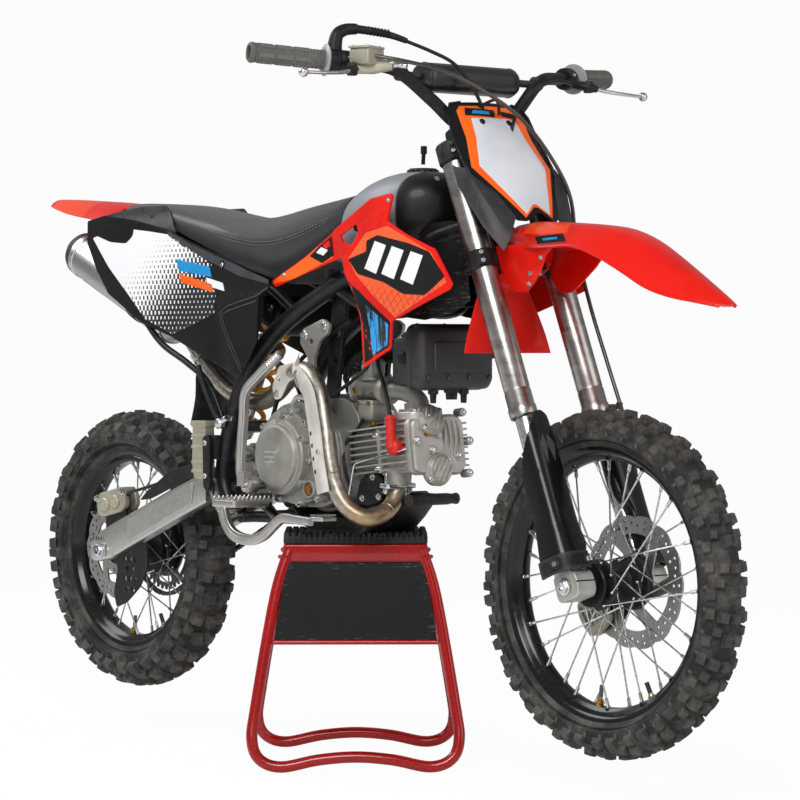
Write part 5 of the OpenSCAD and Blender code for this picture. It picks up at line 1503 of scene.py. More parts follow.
def makeControls():
    piece = Piece()
    for s in (-1, 1):
        way = (onBar(s * 300) - onBar(s * 260)).normalized()
        at = aim(onBar(s * 246), way)
        piece.add(lathe([(11.1, 0), (18, 0), (19.5, 1.5), (19.5, 20), (18, 22), (11.1, 22)], 32,
            closed=True), matBlack, at)
        root = onBar(s * 258) + Vector((14, 0, -6))
        perch = smoothPath([root + Vector((-6, 0, 2)), root + Vector((10, s * 4, -6)), Vector((313, s * 268, 1191)),
            Vector((320, s * 284, 1187))], 5)
        piece.add(tube(perch, lambda t: 13.5 - 4.5 * t, 16, flat=0.72), matBlack)
        piece.add(lathe([(0.02, -10), (8, -10), (9, -8), (9, 8), (8, 10), (0.02, 10)], 24), matBlack,
            shift(314, s * 270, 1190))
        piece.add(hexBolt(10, 4), darkSteel, shift(314, s * 270, 1199))
        lever = smoothPath([(312, s * 262, 1191), (322, s * 286, 1186), (331, s * 306, 1182), (336, s * 345, 1179),
            (333, s * 386, 1178)], 6)
        piece.add(tube(lever, lambda t: 6.6 - 2.0 * t, 14, flat=0.62), steel)
        piece.add(ball(8.3, 20), steel, shift(332, s * 387, 1178))
        for k in (-6, 6):
            piece.add(screw(6.5, 3), steel, aim(onBar(s * 257) + Vector((19, 0, k)), (1, 0, 0)))
    tank = rounded([(-20, -15), (22, -15), (22, 12), (14, 15), (-13, 15), (-20, 8)], 3, 3)
    at = shift(305, -232, 1215) @ swivel(20)
    piece.add(plate([(a * 1.28, b) for a, b in tank], [], 36, 1.6, 3), castBeige, at @ lookAhead)
    piece.add(plate([(a * 1.31, b) for a, b in oblong(-20, -2, 21, 2, 1, 2)], [], 39, 0.8, 2), castBeige, at
        @ shift(0, 0, 13.6) @ lookAhead)
    for x, y in ((-13, -20), (13, -20), (-13, 22), (13, 22)):
        piece.add(screw(5, 2), steel, at @ shift(x, y, 15.4))
    piece.add(tube([(296, -250, 1196), (310, -222, 1196), (330, -198, 1200)], [11, 11, 9], 20), castBeige)
    piece.add(tube([(324, -200, 1200), (338, -192, 1201), (352, -184, 1198)], [6.5, 5, 5], 12), steel)
    piece.add(hexBolt(13, 6), steel, aim((330, -199, 1204), (0.4, 0.2, 1)))
    piece.add(hexBolt(12, 9, False), steel, aim((344, -188, 1200), (0.8, 0.5, -0.15)))
    # throttle housing with its cable elbow
    housing = aim(onBar(-262), (onBar(-284) - onBar(-262)))
    piece.add(lathe([(11.1, 0), (20, 0), (22, 2), (22, 21), (20, 23), (11.1, 23)], 40, closed=True),
        matBlack, housing)
    neck = smoothPath([onBar(-270) + Vector((2, 0, 12)), Vector((268, -268, 1238)), Vector((269, -263, 1252)),
        Vector((271, -248, 1260)), Vector((275, -228, 1262))], 6)
    piece.add(tube(neck, [13.5 - 4.5 * (i / (len(neck) - 1)) for i in range(len(neck))], 20, flat=0.85), matBlack)
    piece.add(bend([(275, -230, 1262), (282, -190, 1259), (288, -160, 1254), (293, -134, 1247)], 6,
        lambda t: 7.5 - 2.6 * t, 16), cableBlack)
    for i in range(7):
        p = Vector((279, -206, 1260.5)) + Vector((0.22, 1, -0.1)) * (i * 6)
        piece.add(lathe([(6.0, -1), (8.0, 0), (6.0, 1)], 18), cableBlack, aim(p, (0.22, 1, -0.12)))
    cable = smoothPath([(291, -138, 1248), (310, -95, 1231), (329, -60, 1211), (342, -32, 1176), (354, -12, 1128),
        (366, -9, 1090), fromHead(40, -9, 234), fromHead(39, -9, 224)], 7)
    piece.add(tube(cable, 3.1, 10), cableBlack)
    piece.add(bend([(298, 246, 1195), (322, 190, 1196), (345, 120, 1180), (362, 66, 1150), (372, 36, 1112),
        (374, 26, 1080), fromHead(40, 22, 234), fromHead(39, 22, 224)], 7, 3.1, 10), cableBlack)
    for y in (-9, 22):  # ferrules on the upper yoke
        piece.add(rod(fromHead(40, y, 222), fromHead(40, y, 240), 4.6, 14), darkSteel)
    return piece.build("leversAndCables", "front_end", ["hand_controls"], 0.4, 2, 40)


def makeHose():
    piece = Piece()
    path = smoothPath([(322, -226, 1214), (352, -190, 1206), (385, -130, 1190), (408, -60, 1158), (418, 10, 1118),
        (424, 70, 1060), (438, 106, 990), (446, 115, 900), (478, 117, 800), (519, 119, 700), (559, 122, 600),
        (580, 123, 520), (584, 121, 450), (580, 112, 400), (566, 92, 356), (549, 70, 325)], 8)
    piece.add(tube(path, 3.4, 12), clearHose)
    for z in (860, 640, 470):
        p = min(path, key=lambda q: abs(q.z - z) + (200 if q.y < 90 else 0))
        piece.add(rod(p + Vector((0, -3, -6)), p + Vector((0, -3, 6)), 5.6, 14), matBlack)
        piece.add(rod(p, p + Vector((-8, -22, 0)), 3.2, 10), matBlack)
    return piece.build("brakeHoseLine", "front_end", ["brake_hose"], 0, 2, 45)


makeForkTubes()
makeYokes()
makeForkGuards()
makeForkFeet()
makeFrontAxle()
makeFrontCaliper()
makeHandlebar()
makeBarPad()
makeGrips()
makeControls()
makeHose()
print("front end made")


# ---- engine ----

engineSet = {"clutchX": -86.0, "clutchZ": 540.0, "clutchR": 68.0, "barrelHalf": 56.0}
acrossTurn = swivel(90, "X")  # local Z then runs to the right of the bike


def facing(x, y, z):  # a place on the right side of the bike whose Z points out to the right
    return shift(x, y, z) @ acrossTurn


def sidePlate(outline, y, t, edge=1.2, holes=(), parts=2):  # an upright plate; outline in X and Z, outer face at y
    flat = plate(outline, holes, t, edge, parts)
    s = -1 if y < 0 else 1
    return moved(flat, facing(0, y - s * t / 2, 0))


def makeCases():
    piece = Piece()
    outline = [(-190, 470), (-208, 515), (-192, 580), (-130, 634), (-40, 652), (20, 640), (46, 612), (46, 500),
        (20, 452), (-30, 440), (-66, 440), (-92, 458), (-150, 458)]
    piece.add(sidePlate(rounded(outline, 14, 4), -30, 60, 3), castGrey)
    piece.add(sidePlate(rounded([(-120, 600), (-40, 652), (20, 640), (46, 612), (46, 500), (20, 452), (-30, 440),
        (-66, 440), (-92, 458), (-120, 458)], 14, 4), 66, 72, 3), castGrey)
    piece.add(sidePlate(rounded([(-190, 470), (-208, 515), (-192, 580), (-130, 634), (-100, 640), (-100, 458),
        (-150, 458)], 14, 4), 50, 56, 3), castGrey)
    right = rounded([(-170, 492), (-174, 560), (-150, 612), (-118, 632), (-66, 640), (-30, 628), (0, 600), (34, 590),
        (44, 560), (44, 490), (34, 462), (0, 450), (-60, 450), (-104, 456), (-140, 470)], 12, 4)
    piece.add(sidePlate(right, -68, 42, 2.5), castGrey)
    piece.add(sidePlate([(x * 0.985 - 0.5, z * 0.985 + 8) for x, z in right], -74, 8, 1.2), castPale)
    cover = rounded([(-158, 500), (-164, 548), (-146, 596), (-116, 620), (-80, 626), (-44, 612), (-20, 588), (2, 580),
        (22, 566), (26, 520), (14, 478), (-12, 460), (-60, 456), (-104, 462), (-136, 474)], 12, 4)
    piece.add(sidePlate(cover, -92, 20, 2.4, parts=3), castGrey)
    at = facing(engineSet["clutchX"], -92, engineSet["clutchZ"])
    r = engineSet["clutchR"]
    piece.add(lathe([(r, -2), (r, 12), (r - 1.5, 15), (r - 4, 16.5), (r - 9, 16.8), (r - 10, 17.6), (r - 11.5, 23),
        (r - 14, 25.6), (r - 18, 26.6), (r - 30, 27.0), (r - 34, 27.0), (14, 27.0), (0.02, 27.0)], 96), castGrey, at)
    piece.add(lathe([(r - 8.5, 15), (r - 8.5, 17.4), (r - 9.8, 17.8), (r - 10.8, 15)], 96, closed=True), castPale, at)
    for i, a in enumerate((28, 78, 132, 196, 250, 318)):
        lug = at @ swivel(a) @ shift(r + 1.5, 0, 0)
        piece.add(stub(7.5, -2, 12, 6.5, 13.5, 20), castGrey, lug)
        piece.add(screw(9, 4), steel, lug @ shift(0, 0, 13.5))
    for i in range(3):  # plain raised bars on the clutch cover
        piece.add(block((30, 2.6, 1.6)), castPale, facing(-95, -119.6, 548 - 9 * i))
    piece.add(sidePlate(rounded([(-96, 618), (-88, 596), (-78, 618)], 2, 2), -110, 22, 1), castGrey)
    for x, z, y in ((-66, 622, -92), (-28, 600, -92), (-30, 574, -94), (-12, 536, -94), (18, 500, -94),
            (18, 560, -94), (-98, 464, -94), (-40, 458, -94), (12, 468, -94), (-150, 486, -92), (-156, 560, -92)):
        piece.add(stub(7, -14, 3, 6, 4.4, 18), castGrey, facing(x, y, z))
        piece.add(hexBolt(9.5, 4.5), steel, facing(x, y - 4.4, z))
    plug = facing(-8, -94, 484)
    piece.add(lathe([(17, -8), (17, 5), (15, 8), (13, 8), (12.5, 5), (0.02, 5)], 40), castGrey, plug)
    piece.add(sleeve(9.5, 12.3, 4, 6, 32), copper, plug)
    piece.add(hexBolt(15, 6, False), brass, plug @ shift(0, 0, 4))
    piece.add(bend([(-70, -86, 634), (-50, -90, 646), (-24, -86, 640), (-14, -84, 626)], 5, 5, 12), castPale)
    piece.add(stub(11, -4, 10, 9, 12, 24), matBlack, aim((-42, -62, 648), (0.1, -0.2, 1)))
    for s in (-1, 1):  # plain badge field and ribs on the upper right of the case
        piece.add(sidePlate(rounded([(-4 + 22 * s, 520), (2 + 22 * s, 556), (8 + 22 * s, 556), (2 + 22 * s, 520)], 2,
            2), -94.4, 3, 0.6), castPale)
    # left side: flywheel cover, drive cover and the bolts round them
    left = shift(-92, 66, 540) @ swivel(-90, "X")
    piece.add(lathe([(64, 0), (64, 20), (61, 25), (54, 28), (40, 29.5), (0.02, 30)], 72), castGrey, left)
    for i in range(6):
        spot = left @ swivel(60 * i + 18) @ shift(64, 0, 0)
        piece.add(stub(7, -2, 17, 5.8, 18.5, 18), castGrey, spot)
        piece.add(screw(8.5, 4), steel, spot @ shift(0, 0, 18.5))
    barsLeft = shift(-92, 96.2, 548) @ swivel(-90, "X")
    for i in range(3):
        piece.add(block((30, 2.6, 1.4)), castPale, barsLeft @ shift(0, 9 * i, 0))
    piece.add(lathe([(0.02, 0), (25, 0), (25, 5), (23, 6), (0.02, 6)], 13), darkSteel, shift(-176, 57, 508)
        @ swivel(-90, "X"))
    # black lower cover, wire rod and the fittings behind the pipe
    piece.add(sidePlate(rounded([(58, 462), (70, 500), (96, 520), (124, 512), (136, 488), (126, 464), (90, 456)], 8,
        4), -50, 20, 2), matBlack)
    for x, z in ((106, 508), (78, 470), (122, 474)):
        piece.add(hexBolt(9, 4), steel, facing(x, -50, z))
    piece.add(tube([(66, -72, 470), (84, -74, 528), (90, -74, 532), (212, -62, 560)], 1.9, 10), steel)
    return piece.build("engineCastings", "chassis", ["engine_cases"], 0, 2, 36)


def makeHead():
    piece = Piece()
    at = shift(46, 0, 546) @ swivel(-6.3, "Y")
    half = engineSet["barrelHalf"]
    piece.add(block((78, 84, 74), (40, 0, 0)), castGrey, at)
    piece.add(block((60, 96, 84), (110, 0, -2)), castGrey, at)
    for i, z in enumerate((-36, -25, -14, -3, 8, 19, 30, 40)):  # cooling plates along the barrel and the head
        fin = rounded([(2, -half), (168, -half), (172, -half + 8), (172, half - 8), (168, half), (2, half)], 5, 3)
        piece.add(plate(fin, [], 3.6, 1.0, 2), castPale if i % 2 else castGrey, at @ shift(0, 0, z))
    for x in (84, 166):  # joint flanges between the plates
        piece.add(block((7, 2 * half + 2, 76), (x, 0, -2)), castGrey, at)
        for z in (-32, 26):
            for s in (-1, 1):
                piece.add(stub(5.5, -6, 6, 4, 7, 16), steel, at @ aim((x - 6, s * (half - 2), z), (1, 0, 0)))
    piece.add(block((52, 2 * half - 14, 92), (150, 0, 2)), castGrey, at)
    face = rounded([(-half - 4, -44), (-half - 6, 40), (-half + 6, 52), (half - 10, 54), (half + 6, 44),
        (half + 8, -40), (half - 4, -52), (-half + 8, -50)], 9, 4)
    piece.add(plate(face, [], 12, 2, 2), castGrey, at @ shift(166, 0, 0) @ lookAhead)
    piece.add(plate([(y * 0.93, z * 0.93) for y, z in face], [], 9, 2, 2), castPale, at
        @ shift(175, 0, 0) @ lookAhead)
    for i in range(4):  # upright curved ribs on the front face
        y = 8 + 11.5 * i
        rib = [(179, y, -18), (181.5, y + 4, -2), (182.5, y + 5, 12), (181.5, y + 4, 26), (179, y, 42)]
        piece.add(bend(rib, 4, 2.3, 8, flat=1.5), castGrey, at)
    for i in range(8):  # saw-like edge of the left side plates
        piece.add(block((8, 12, 3.4), (172, half + 8, -36 + 10.5 * i)), castGrey, at)
    for z, y in ((-46, -4), (48, -14)):  # rocker covers
        cap = at @ aim((178, y, z * 0.92), (1, 0, -0.12 if z < 0 else 0.35))
        piece.add(lathe([(29, -10), (29, 2), (27, 5), (25, 5.6), (23, 9), (18, 11), (0.02, 12)], 40), castGrey, cap)
        for k in range(5):
            w = sqrt(max(0.0, 21 ** 2 - (9 * (k - 2)) ** 2))
            piece.add(block((2 * w, 2.2, 3), (0, 9 * (k - 2), 11.5)), castPale, cap @ swivel(62))
        for a in (35, 215):
            piece.add(hexBolt(10, 5), steel, cap @ shift(26 * cos(radians(a)), 26 * sin(radians(a)), 3))
    for y, z in ((-24, 49), (-2, 19), (-17, -9), (42, -20), (-50, 8)):
        piece.add(stub(8.5, -8, 3, 7, 4.5, 20), castGrey, at @ aim((178, y, z), (1, 0, 0)))
        piece.add(hexBolt(11, 6), steel, at @ aim((182, y, z), (1, 0, 0)))
    piece.add(hexBolt(13, 5), brass, at @ aim((179.5, -26, 22), (1, 0, 0)))
    for y, z in ((60, 56), (72, 6), (66, -50)):
        piece.add(stub(7.5, -10, 8, 6, 9.5, 18), castGrey, at @ aim((172, y, z), (1, 0, 0)))
        piece.add(hexBolt(9.5, 4.5), steel, at @ aim((181, y, z), (1, 0, 0)))
    lid = at @ shift(146, -18, 54) @ swivel(4, "Y")
    piece.add(plate(rounded([(-38, -26), (-26, -38), (26, -38), (36, -26), (36, 26), (26, 38), (-26, 38), (-38, 26)],
        6, 3), [], 14, 2, 2), castPale, lid)
    piece.add(plate(oblong(-28, -20, 28, 20, 8, 3), [], 6, 1.5, 2), castGrey, lid @ shift(0, 0, 9))
    for x in (-29, 29):
        for y in (-28, 28):
            piece.add(screw(9, 4), steel, lid @ shift(x, y, 7))
    piece.add(lathe([(23, -6), (23, 8), (19, 10), (19, 22)], 36), castGrey, at @ shift(124, 0, 56))
    port = shift(152, -32, 494) @ swivel(4, "Y")
    piece.add(lathe([(17, 0), (21, 2), (21, 20), (26, 30)], 32), castGrey, port)
    piece.add(plate(rounded([(-12, -34), (12, -34), (18, 0), (12, 34), (-12, 34), (-18, 0)], 7, 4), [], 8,
        1.2, 2), steel, port)
    for y in (-27, 27):
        piece.add(rod((0, y, -14), (0, y, 22), 3.2, 10), steel, port)
        piece.add(moved(hexBolt(11, 7), shift(0, y, -11)), steel, port)
    # spark plug cap and its lead
    boss = at @ aim((124, -half, 12), (0, -1, 0))
    piece.add(stub(13, -4, 3, 11, 5, 28), castGrey, boss)
    cap = [(178, -66, 560), (176, -67, 572), (174, -66.5, 590), (172, -66, 606), (170, -65, 616)]
    piece.add(bend(cap, 4, [11, 11.5, 11, 10, 9.6, 9.4, 9.2, 9, 9, 9, 8.8, 8.6, 8.4, 8.2, 8, 7.8, 7.6], 20,
        flat=0.9), capRed)
    piece.add(lathe([(0.02, 16), (9, 15), (13.5, 10), (14, 3), (12, -8)], 28), capRed,
        aim((179, -58, 562), (0, -1, 0)))
    piece.add(lathe([(9.8, -2), (10.4, 0), (9.8, 2)], 24), capRed, aim((170.6, -65.4, 611), (-0.14, 0, 1)))
    lead = smoothPath([(170, -65, 614), (164, -63, 632), (150, -58, 656), (134, -52, 676), (112, -40, 694),
        (84, -22, 716), (60, 0, 742)], 6)
    piece.add(tube(lead, 3.7, 12), cableBlack)
    piece.add(bend([(66, -40, 740), (110, -62, 706), (80, -74, 676), (30, -80, 650), (-20, -80, 636)], 7,
        3.4, 12), cableBlack)
    return piece.build("cylinderAndHead", "chassis", ["cylinder_head"], 0.5, 2, 34)


capRed = rubberFinish("plugCapRed", "#c8201a", "#d8483c", 0.45, 500.0, 0.12)


def makeCarb():
    piece = Piece()
    piece.add(tube([(20, -14, 664), (34, -14, 663), (36, -14, 663), (96, -14, 659), (98, -14, 659), (112, -14, 658)],
        [25, 25, 20, 20, 25, 25], 28), castGrey)
    bowl = rounded([(-22, -24), (22, -24), (24, 0), (22, 24), (-22, 24), (-24, 0)], 8, 4)
    piece.add(plate(bowl, [], 6, 1, 2), castPale, shift(66, -14, 638))
    piece.add(loft([[(66 + x * q, -14 + y * q, z) for x, y in bowl] for z,
        q in ((636, 0.93), (616, 0.9), (608, 0.8), (603, 0.55))]), castGrey)
    piece.add(hexBolt(15, 7), brass, shift(66, -14, 603) @ swivel(180, "X"))
    piece.add(lathe([(21, 0), (21, 6), (19, 8), (19, 26), (21, 28), (21, 33), (16, 38), (8, 40), (8, 48), (5, 50)],
        36), castGrey, shift(66, -14, 676))
    for i in range(14):
        a = 2 * pi * i / 14
        piece.add(block((2.4, 3, 16)), castGrey, shift(66, -14, 696) @ Matrix.Rotation(a, 4, "Z") @ shift(19.6, 0, 0))
    for x, y, z in ((40, -36, 660), (88, -38, 652), (52, -38, 636), (80, -38, 636)):
        piece.add(screw(7, 3), brass, facing(x, y, z))
    piece.add(rod((56, -34, 656), (56, -46, 656), [7, 6], 16), castPale)
    piece.add(screw(10, 3), brass, facing(56, -46, 656))
    piece.add(bend([(100, -14, 659), (146, -8, 656), (171, 0, 640), (172, 0, 618)], 6, 16.5, 24), castGrey)
    piece.add(plate(rounded([(-12, -30), (12, -30), (16, 0), (12, 30), (-12, 30), (-16, 0)], 6, 3), [], 8, 1, 2),
        castPale, shift(172, 0, 622))
    boot = smoothPath([(24, -12, 664), (-4, 0, 684), (0, 22, 712), (50, 36, 726), (110, 28, 716), (176, 10, 712)], 6)
    piece.add(tube(boot, [19 + 1.6 * (i % 2) for i in range(len(boot))], 24), cableBlack)
    piece.add(lathe([(26.5, -5), (27.5, -4), (27.5, 4), (26.5, 5)], 32), steel, aim((24, -13, 664), (1, 0, 0)))
    piece.add(bend([(60, -30, 612), (52, -40, 590), (40, -60, 560), (50, -66, 520), (60, -60, 486)], 6,
        3, 10), cableBlack)
    return piece.build("carburettorCast", "chassis", ["carburettor"], 0.3, 2, 36)


def boxFinish():
    f = Finish("airboxBlack")
    pebble = f.cells(700.0)
    cloud = f.noise(12.0, 5.0)
    dust = f.noise(60.0, 6.0, 0.7).step(0.5, 0.8)
    shade = f.mix(tone("#1f1f20"), tone("#303031"), cloud)
    shade = f.mix(shade, tone("#6b6660"), dust * 0.25)
    return f.done(shade, 0.5 + (dust * 0.2), 0.0, pebble + cloud, 0.3, 0.0006)


boxBlack = boxFinish()


def makeAirbox():
    piece = Piece()
    rings = []
    for x, y, low, high in ((232, 80, 668, 766), (236, 86, 662, 772), (242, 87, 660, 774), (246, 87, 660, 774),
            (247, 84, 663, 771), (250, 84, 663, 771), (251, 86, 661, 773), (262, 85, 662, 772), (272, 80, 668, 766),
            (276, 74, 676, 758)):
        ring = oblong(-y, low, y, high, 16, 4)
        rings.append([(x, a, b) for a, b in ring])
    piece.add(loft(rings), boxBlack)
    front = [(277, a, b) for a, b in oblong(-58, 690, 58, 744, 8, 3)]
    piece.add(loft([front, [(279.5, a * 0.95, 717 + (b - 717) * 0.92) for _, a, b in front]]), boxBlack)
    duct = []
    for x, y, low, high in ((170, 58, 672, 742), (176, 64, 668, 748), (196, 68, 666, 752), (222, 74, 666, 758),
            (236, 78, 666, 762)):
        duct.append([(x, a, b) for a, b in oblong(-y, low, y, high, 14, 4)])
    piece.add(loft(duct), boxBlack)
    for y in (-62, 0, 62):
        piece.add(rod((200, y, 752), (240, y, 772), 4, 10), boxBlack)
    for y, h in ((-40, 26), (30, 26), (-4, 20), (8, 20)):
        piece.add(tube([(254, y, 664), (254, y, 664 - h * 0.4), (254, y, 664 - h * 0.42), (254, y, 664 - h)],
            [9, 9, 6, 5], 16), matBlack)
    for y in (-70, -24, 24, 70):
        piece.add(screw(8, 3), darkSteel, aim((277, y, 682), (1, 0, 0)))
    piece.add(stub(10, 0, 4, 8, 5, 24), matBlack, facing(214, -74, 716))
    return piece.build("airboxShell", "chassis", ["airbox"], 0.5, 2, 38)


# ---- exhaust ----

pipePath = [(152, -32, 506), (153, -34, 488), (157, -50, 462), (160, -76, 446), (150, -106, 441), (128, -128, 460),
    (110, -137, 494), (97, -140, 540), (82, -137, 600), (56, -130, 660), (14, -121, 691), (-35, -108, 692),
    (-90, -84, 672), (-150, -60, 650), (-215, -48, 634), (-290, -50, 648), (-350, -55, 690), (-424, -58, 764)]


def shieldFinish():  # pale steel of the heat guard
    f = Finish("shieldSteel")
    line = f.noise(120.0, 5.0, 0.6)
    cloud = f.noise(16.0, 5.0)
    shade = f.mix(tone("#d2cec6"), tone("#efece4"), cloud.step(0.3, 0.7))
    return f.done(shade, 0.36 + (line * 0.14), 0.6, line + cloud, 0.08, 0.0005)


shieldSteel = shieldFinish()


def makeExhaust():
    piece = Piece()
    path = smoothPath(pipePath, 8)
    piece.add(tube(path, 15, 32), header)
    for i in (20, 52, 96):  # weld beads
        at = path[i]
        way = path[i + 1] - path[i - 1]
        piece.add(lathe([(14.6, -1.8), (15.9, 0), (14.6, 1.8)], 32), header, aim(at, way))
    piece.add(lathe([(15, -4), (19, -3), (19, 3), (15, 4)], 32), steel, aim(path[2], path[3] - path[1]))
    line = smoothPath([(108, -138, 486), (97, -140, 540), (82, -137, 600), (56, -130, 660), (14, -121, 691),
        (-8, -116, 694)], 8)
    rows = []
    for i, p in enumerate(line):
        way = (line[min(i + 1, len(line) - 1)] - line[max(i - 1, 0)]).normalized()
        out = Vector((0, -1, 0))
        out = (out - way * out.dot(way)).normalized()
        back = way.cross(out).normalized()
        if back.x > 0:
            back = -back
        q = i / (len(line) - 1)
        wide = 34 - 14 * ramp(q, 0.55, 0.9)
        row = []
        for j in range(9):
            t = j / 8
            a = radians(20 - 80 * t)
            reach = 18.5 if t < 0.5 else 18.5 + (t - 0.5) * 2 * wide * 0.55
            row.append(p + out * (18.5 * cos(a) * (1 - 0.35 * max(0, t - 0.5))) + back * (-sin(a) * reach + 6 * t))
        rows.append(row)
    piece.add(skin(rows, 1.6), shieldSteel)
    for i in (6, 9, 12, 15):  # dark discs for the holes near the rear edge, painted with the shade seen through them
        p, q = rows[i][7], rows[min(i + 2, len(rows) - 1)][7]
        normal = (rows[i][8] - rows[i][6]).cross(q - p).normalized()
        if normal.y > 0:
            normal = -normal
        piece.add(lathe([(0.02, 0.5), (3.4, 0.5), (4, 0)], 16), cableBlack, aim(p + normal * 0.3, normal))
    for i in (10, 34):
        p = rows[i][3]
        piece.add(lathe([(5, -1), (5, 1.4), (4, 2.6), (0.02, 2.8)], 16), steel, aim(p, Vector((0, -1, 0.1))))
    ear = rounded([(-92, 664), (-84, 640), (-68, 644), (-48, 672), (-4, 690), (0, 706), (-34, 708), (-72, 700)], 6, 4)
    piece.add(sidePlate(ear, -117, 4, 1, [circle(5, 14, -74, 678)]), shieldSteel)
    piece.add(hexBolt(10, 4), steel, facing(-78, -117, 652))
    clamp = aim(path[-6], path[-4] - path[-8])
    piece.add(lathe([(17, -9), (18.4, -8), (18.4, 8), (17, 9)], 32), steel, clamp)
    return piece.build("headerPipe", "chassis", ["exhaust_header"], 0, 2, 40)


def makeMuffler():
    piece = Piece()
    a, b = Vector((-446, -58, 780)), Vector((-744, -58, 913))
    at = aim(a, b - a)
    long = (b - a).length
    piece.add(lathe([(15.5, -44), (17, -40), (21, -30), (36, -8), (41, 0), (42, 2)], 56), castPale, at)
    piece.add(lathe([(42, 0), (44.4, 1), (44.4, 12), (43.4, 13)], 64), steel, at)
    body = [(43.2, 12), (43.4, 40), (43.6, long * 0.5), (43.4, long - 20), (43.2, long - 12)]
    piece.add(lathe(body, 72), mufflerSteel, at)
    piece.add(lathe([(43.4, long - 14), (44.6, long - 13), (44.6, long - 2), (43, long)], 64), steel, at)
    piece.add(lathe([(44.2, long - 4), (44, long + 6), (40, long + 16), (33, long + 25), (24, long + 29),
        (21, long + 29), (20, long + 26), (20, long - 60), (4, long - 62)], 56), darkGrey, at)
    for q in (5, long - 7.5):
        for i in range(10):
            c = 2 * pi * i / 10
            piece.add(lathe([(2.6, -0.6), (2.4, 0.8), (0.02, 1.2)], 10), steel, at
                @ aim((44.6 * cos(c), 44.6 * sin(c), q), (cos(c), sin(c), 0)))
    strap = at @ shift(0, 0, long * 0.33)
    piece.add(lathe([(43.6, -11), (45.4, -10), (45.4, 10), (43.6, 11)], 64), matBlack, strap)
    piece.add(tube([Vector((-560, -58, 895)), Vector((-548, -58, 905)), Vector((-545, -60, 930))],
        [7, 6, 6], 10), matBlack)
    piece.add(block((26, 6, 34), (-545, -58, 912)), matBlack)
    piece.add(hexBolt(11, 5), steel, facing(-545, -61, 920))
    rows = []  # dark field on the can
    for i in range(9):
        c = radians(-122 + 7 * i)
        rows.append([(43.95 * cos(c), 43.95 * sin(c), long * (0.62 + 0.22 * j / 6) + 3 * i) for j in range(7)])
    piece.add(loft(rows, closed=False), black, at)
    return piece.build("mufflerCan", "chassis", ["muffler"], 0, 2, 34)


makeCases()
makeHead()
makeCarb()
makeAirbox()
makeExhaust()
makeMuffler()
print("engine made")


# ---- frame and rear end ----

rearSet = {"armIn": 68.0, "armThick": 26.0, "springR": 29.0, "wire": 5.2, "turns": 6.5, "chainPitch": 12.7,
    "headOuter": 24.4, "headInner": 14.4, "belly": 410.2, "chainR": 92.0, "chainY": 60.5}
spar = [(352, -17, 940), (290, -44, 925), (190, -66, 893), (60, -78, 850), (-87, -80, 784), (-165, -82, 730),
    (-215, -83, 672), (-252, -84, 590), (-272, -85, 510), (-264, -85, 466), (-244, -78, 430)]


def strap(points, wide, t, k=6, narrow=1.0):  # a flat lever along a path, upright, wide in X and Z
    path = smoothPath(points, k)
    rings = []
    for i, p in enumerate(path):
        way = path[min(i + 1, len(path) - 1)] - path[max(i - 1, 0)]
        up = Vector((-way.z, 0, way.x)).normalized()
        q = i / (len(path) - 1)
        w = wide * (1 + (narrow - 1) * q)
        rings.append([p + up * b + Vector((0, a, 0)) for a, b in oblong(-t / 2, -w / 2, t / 2, w / 2, 2.2, 3)])
    return loft(rings)


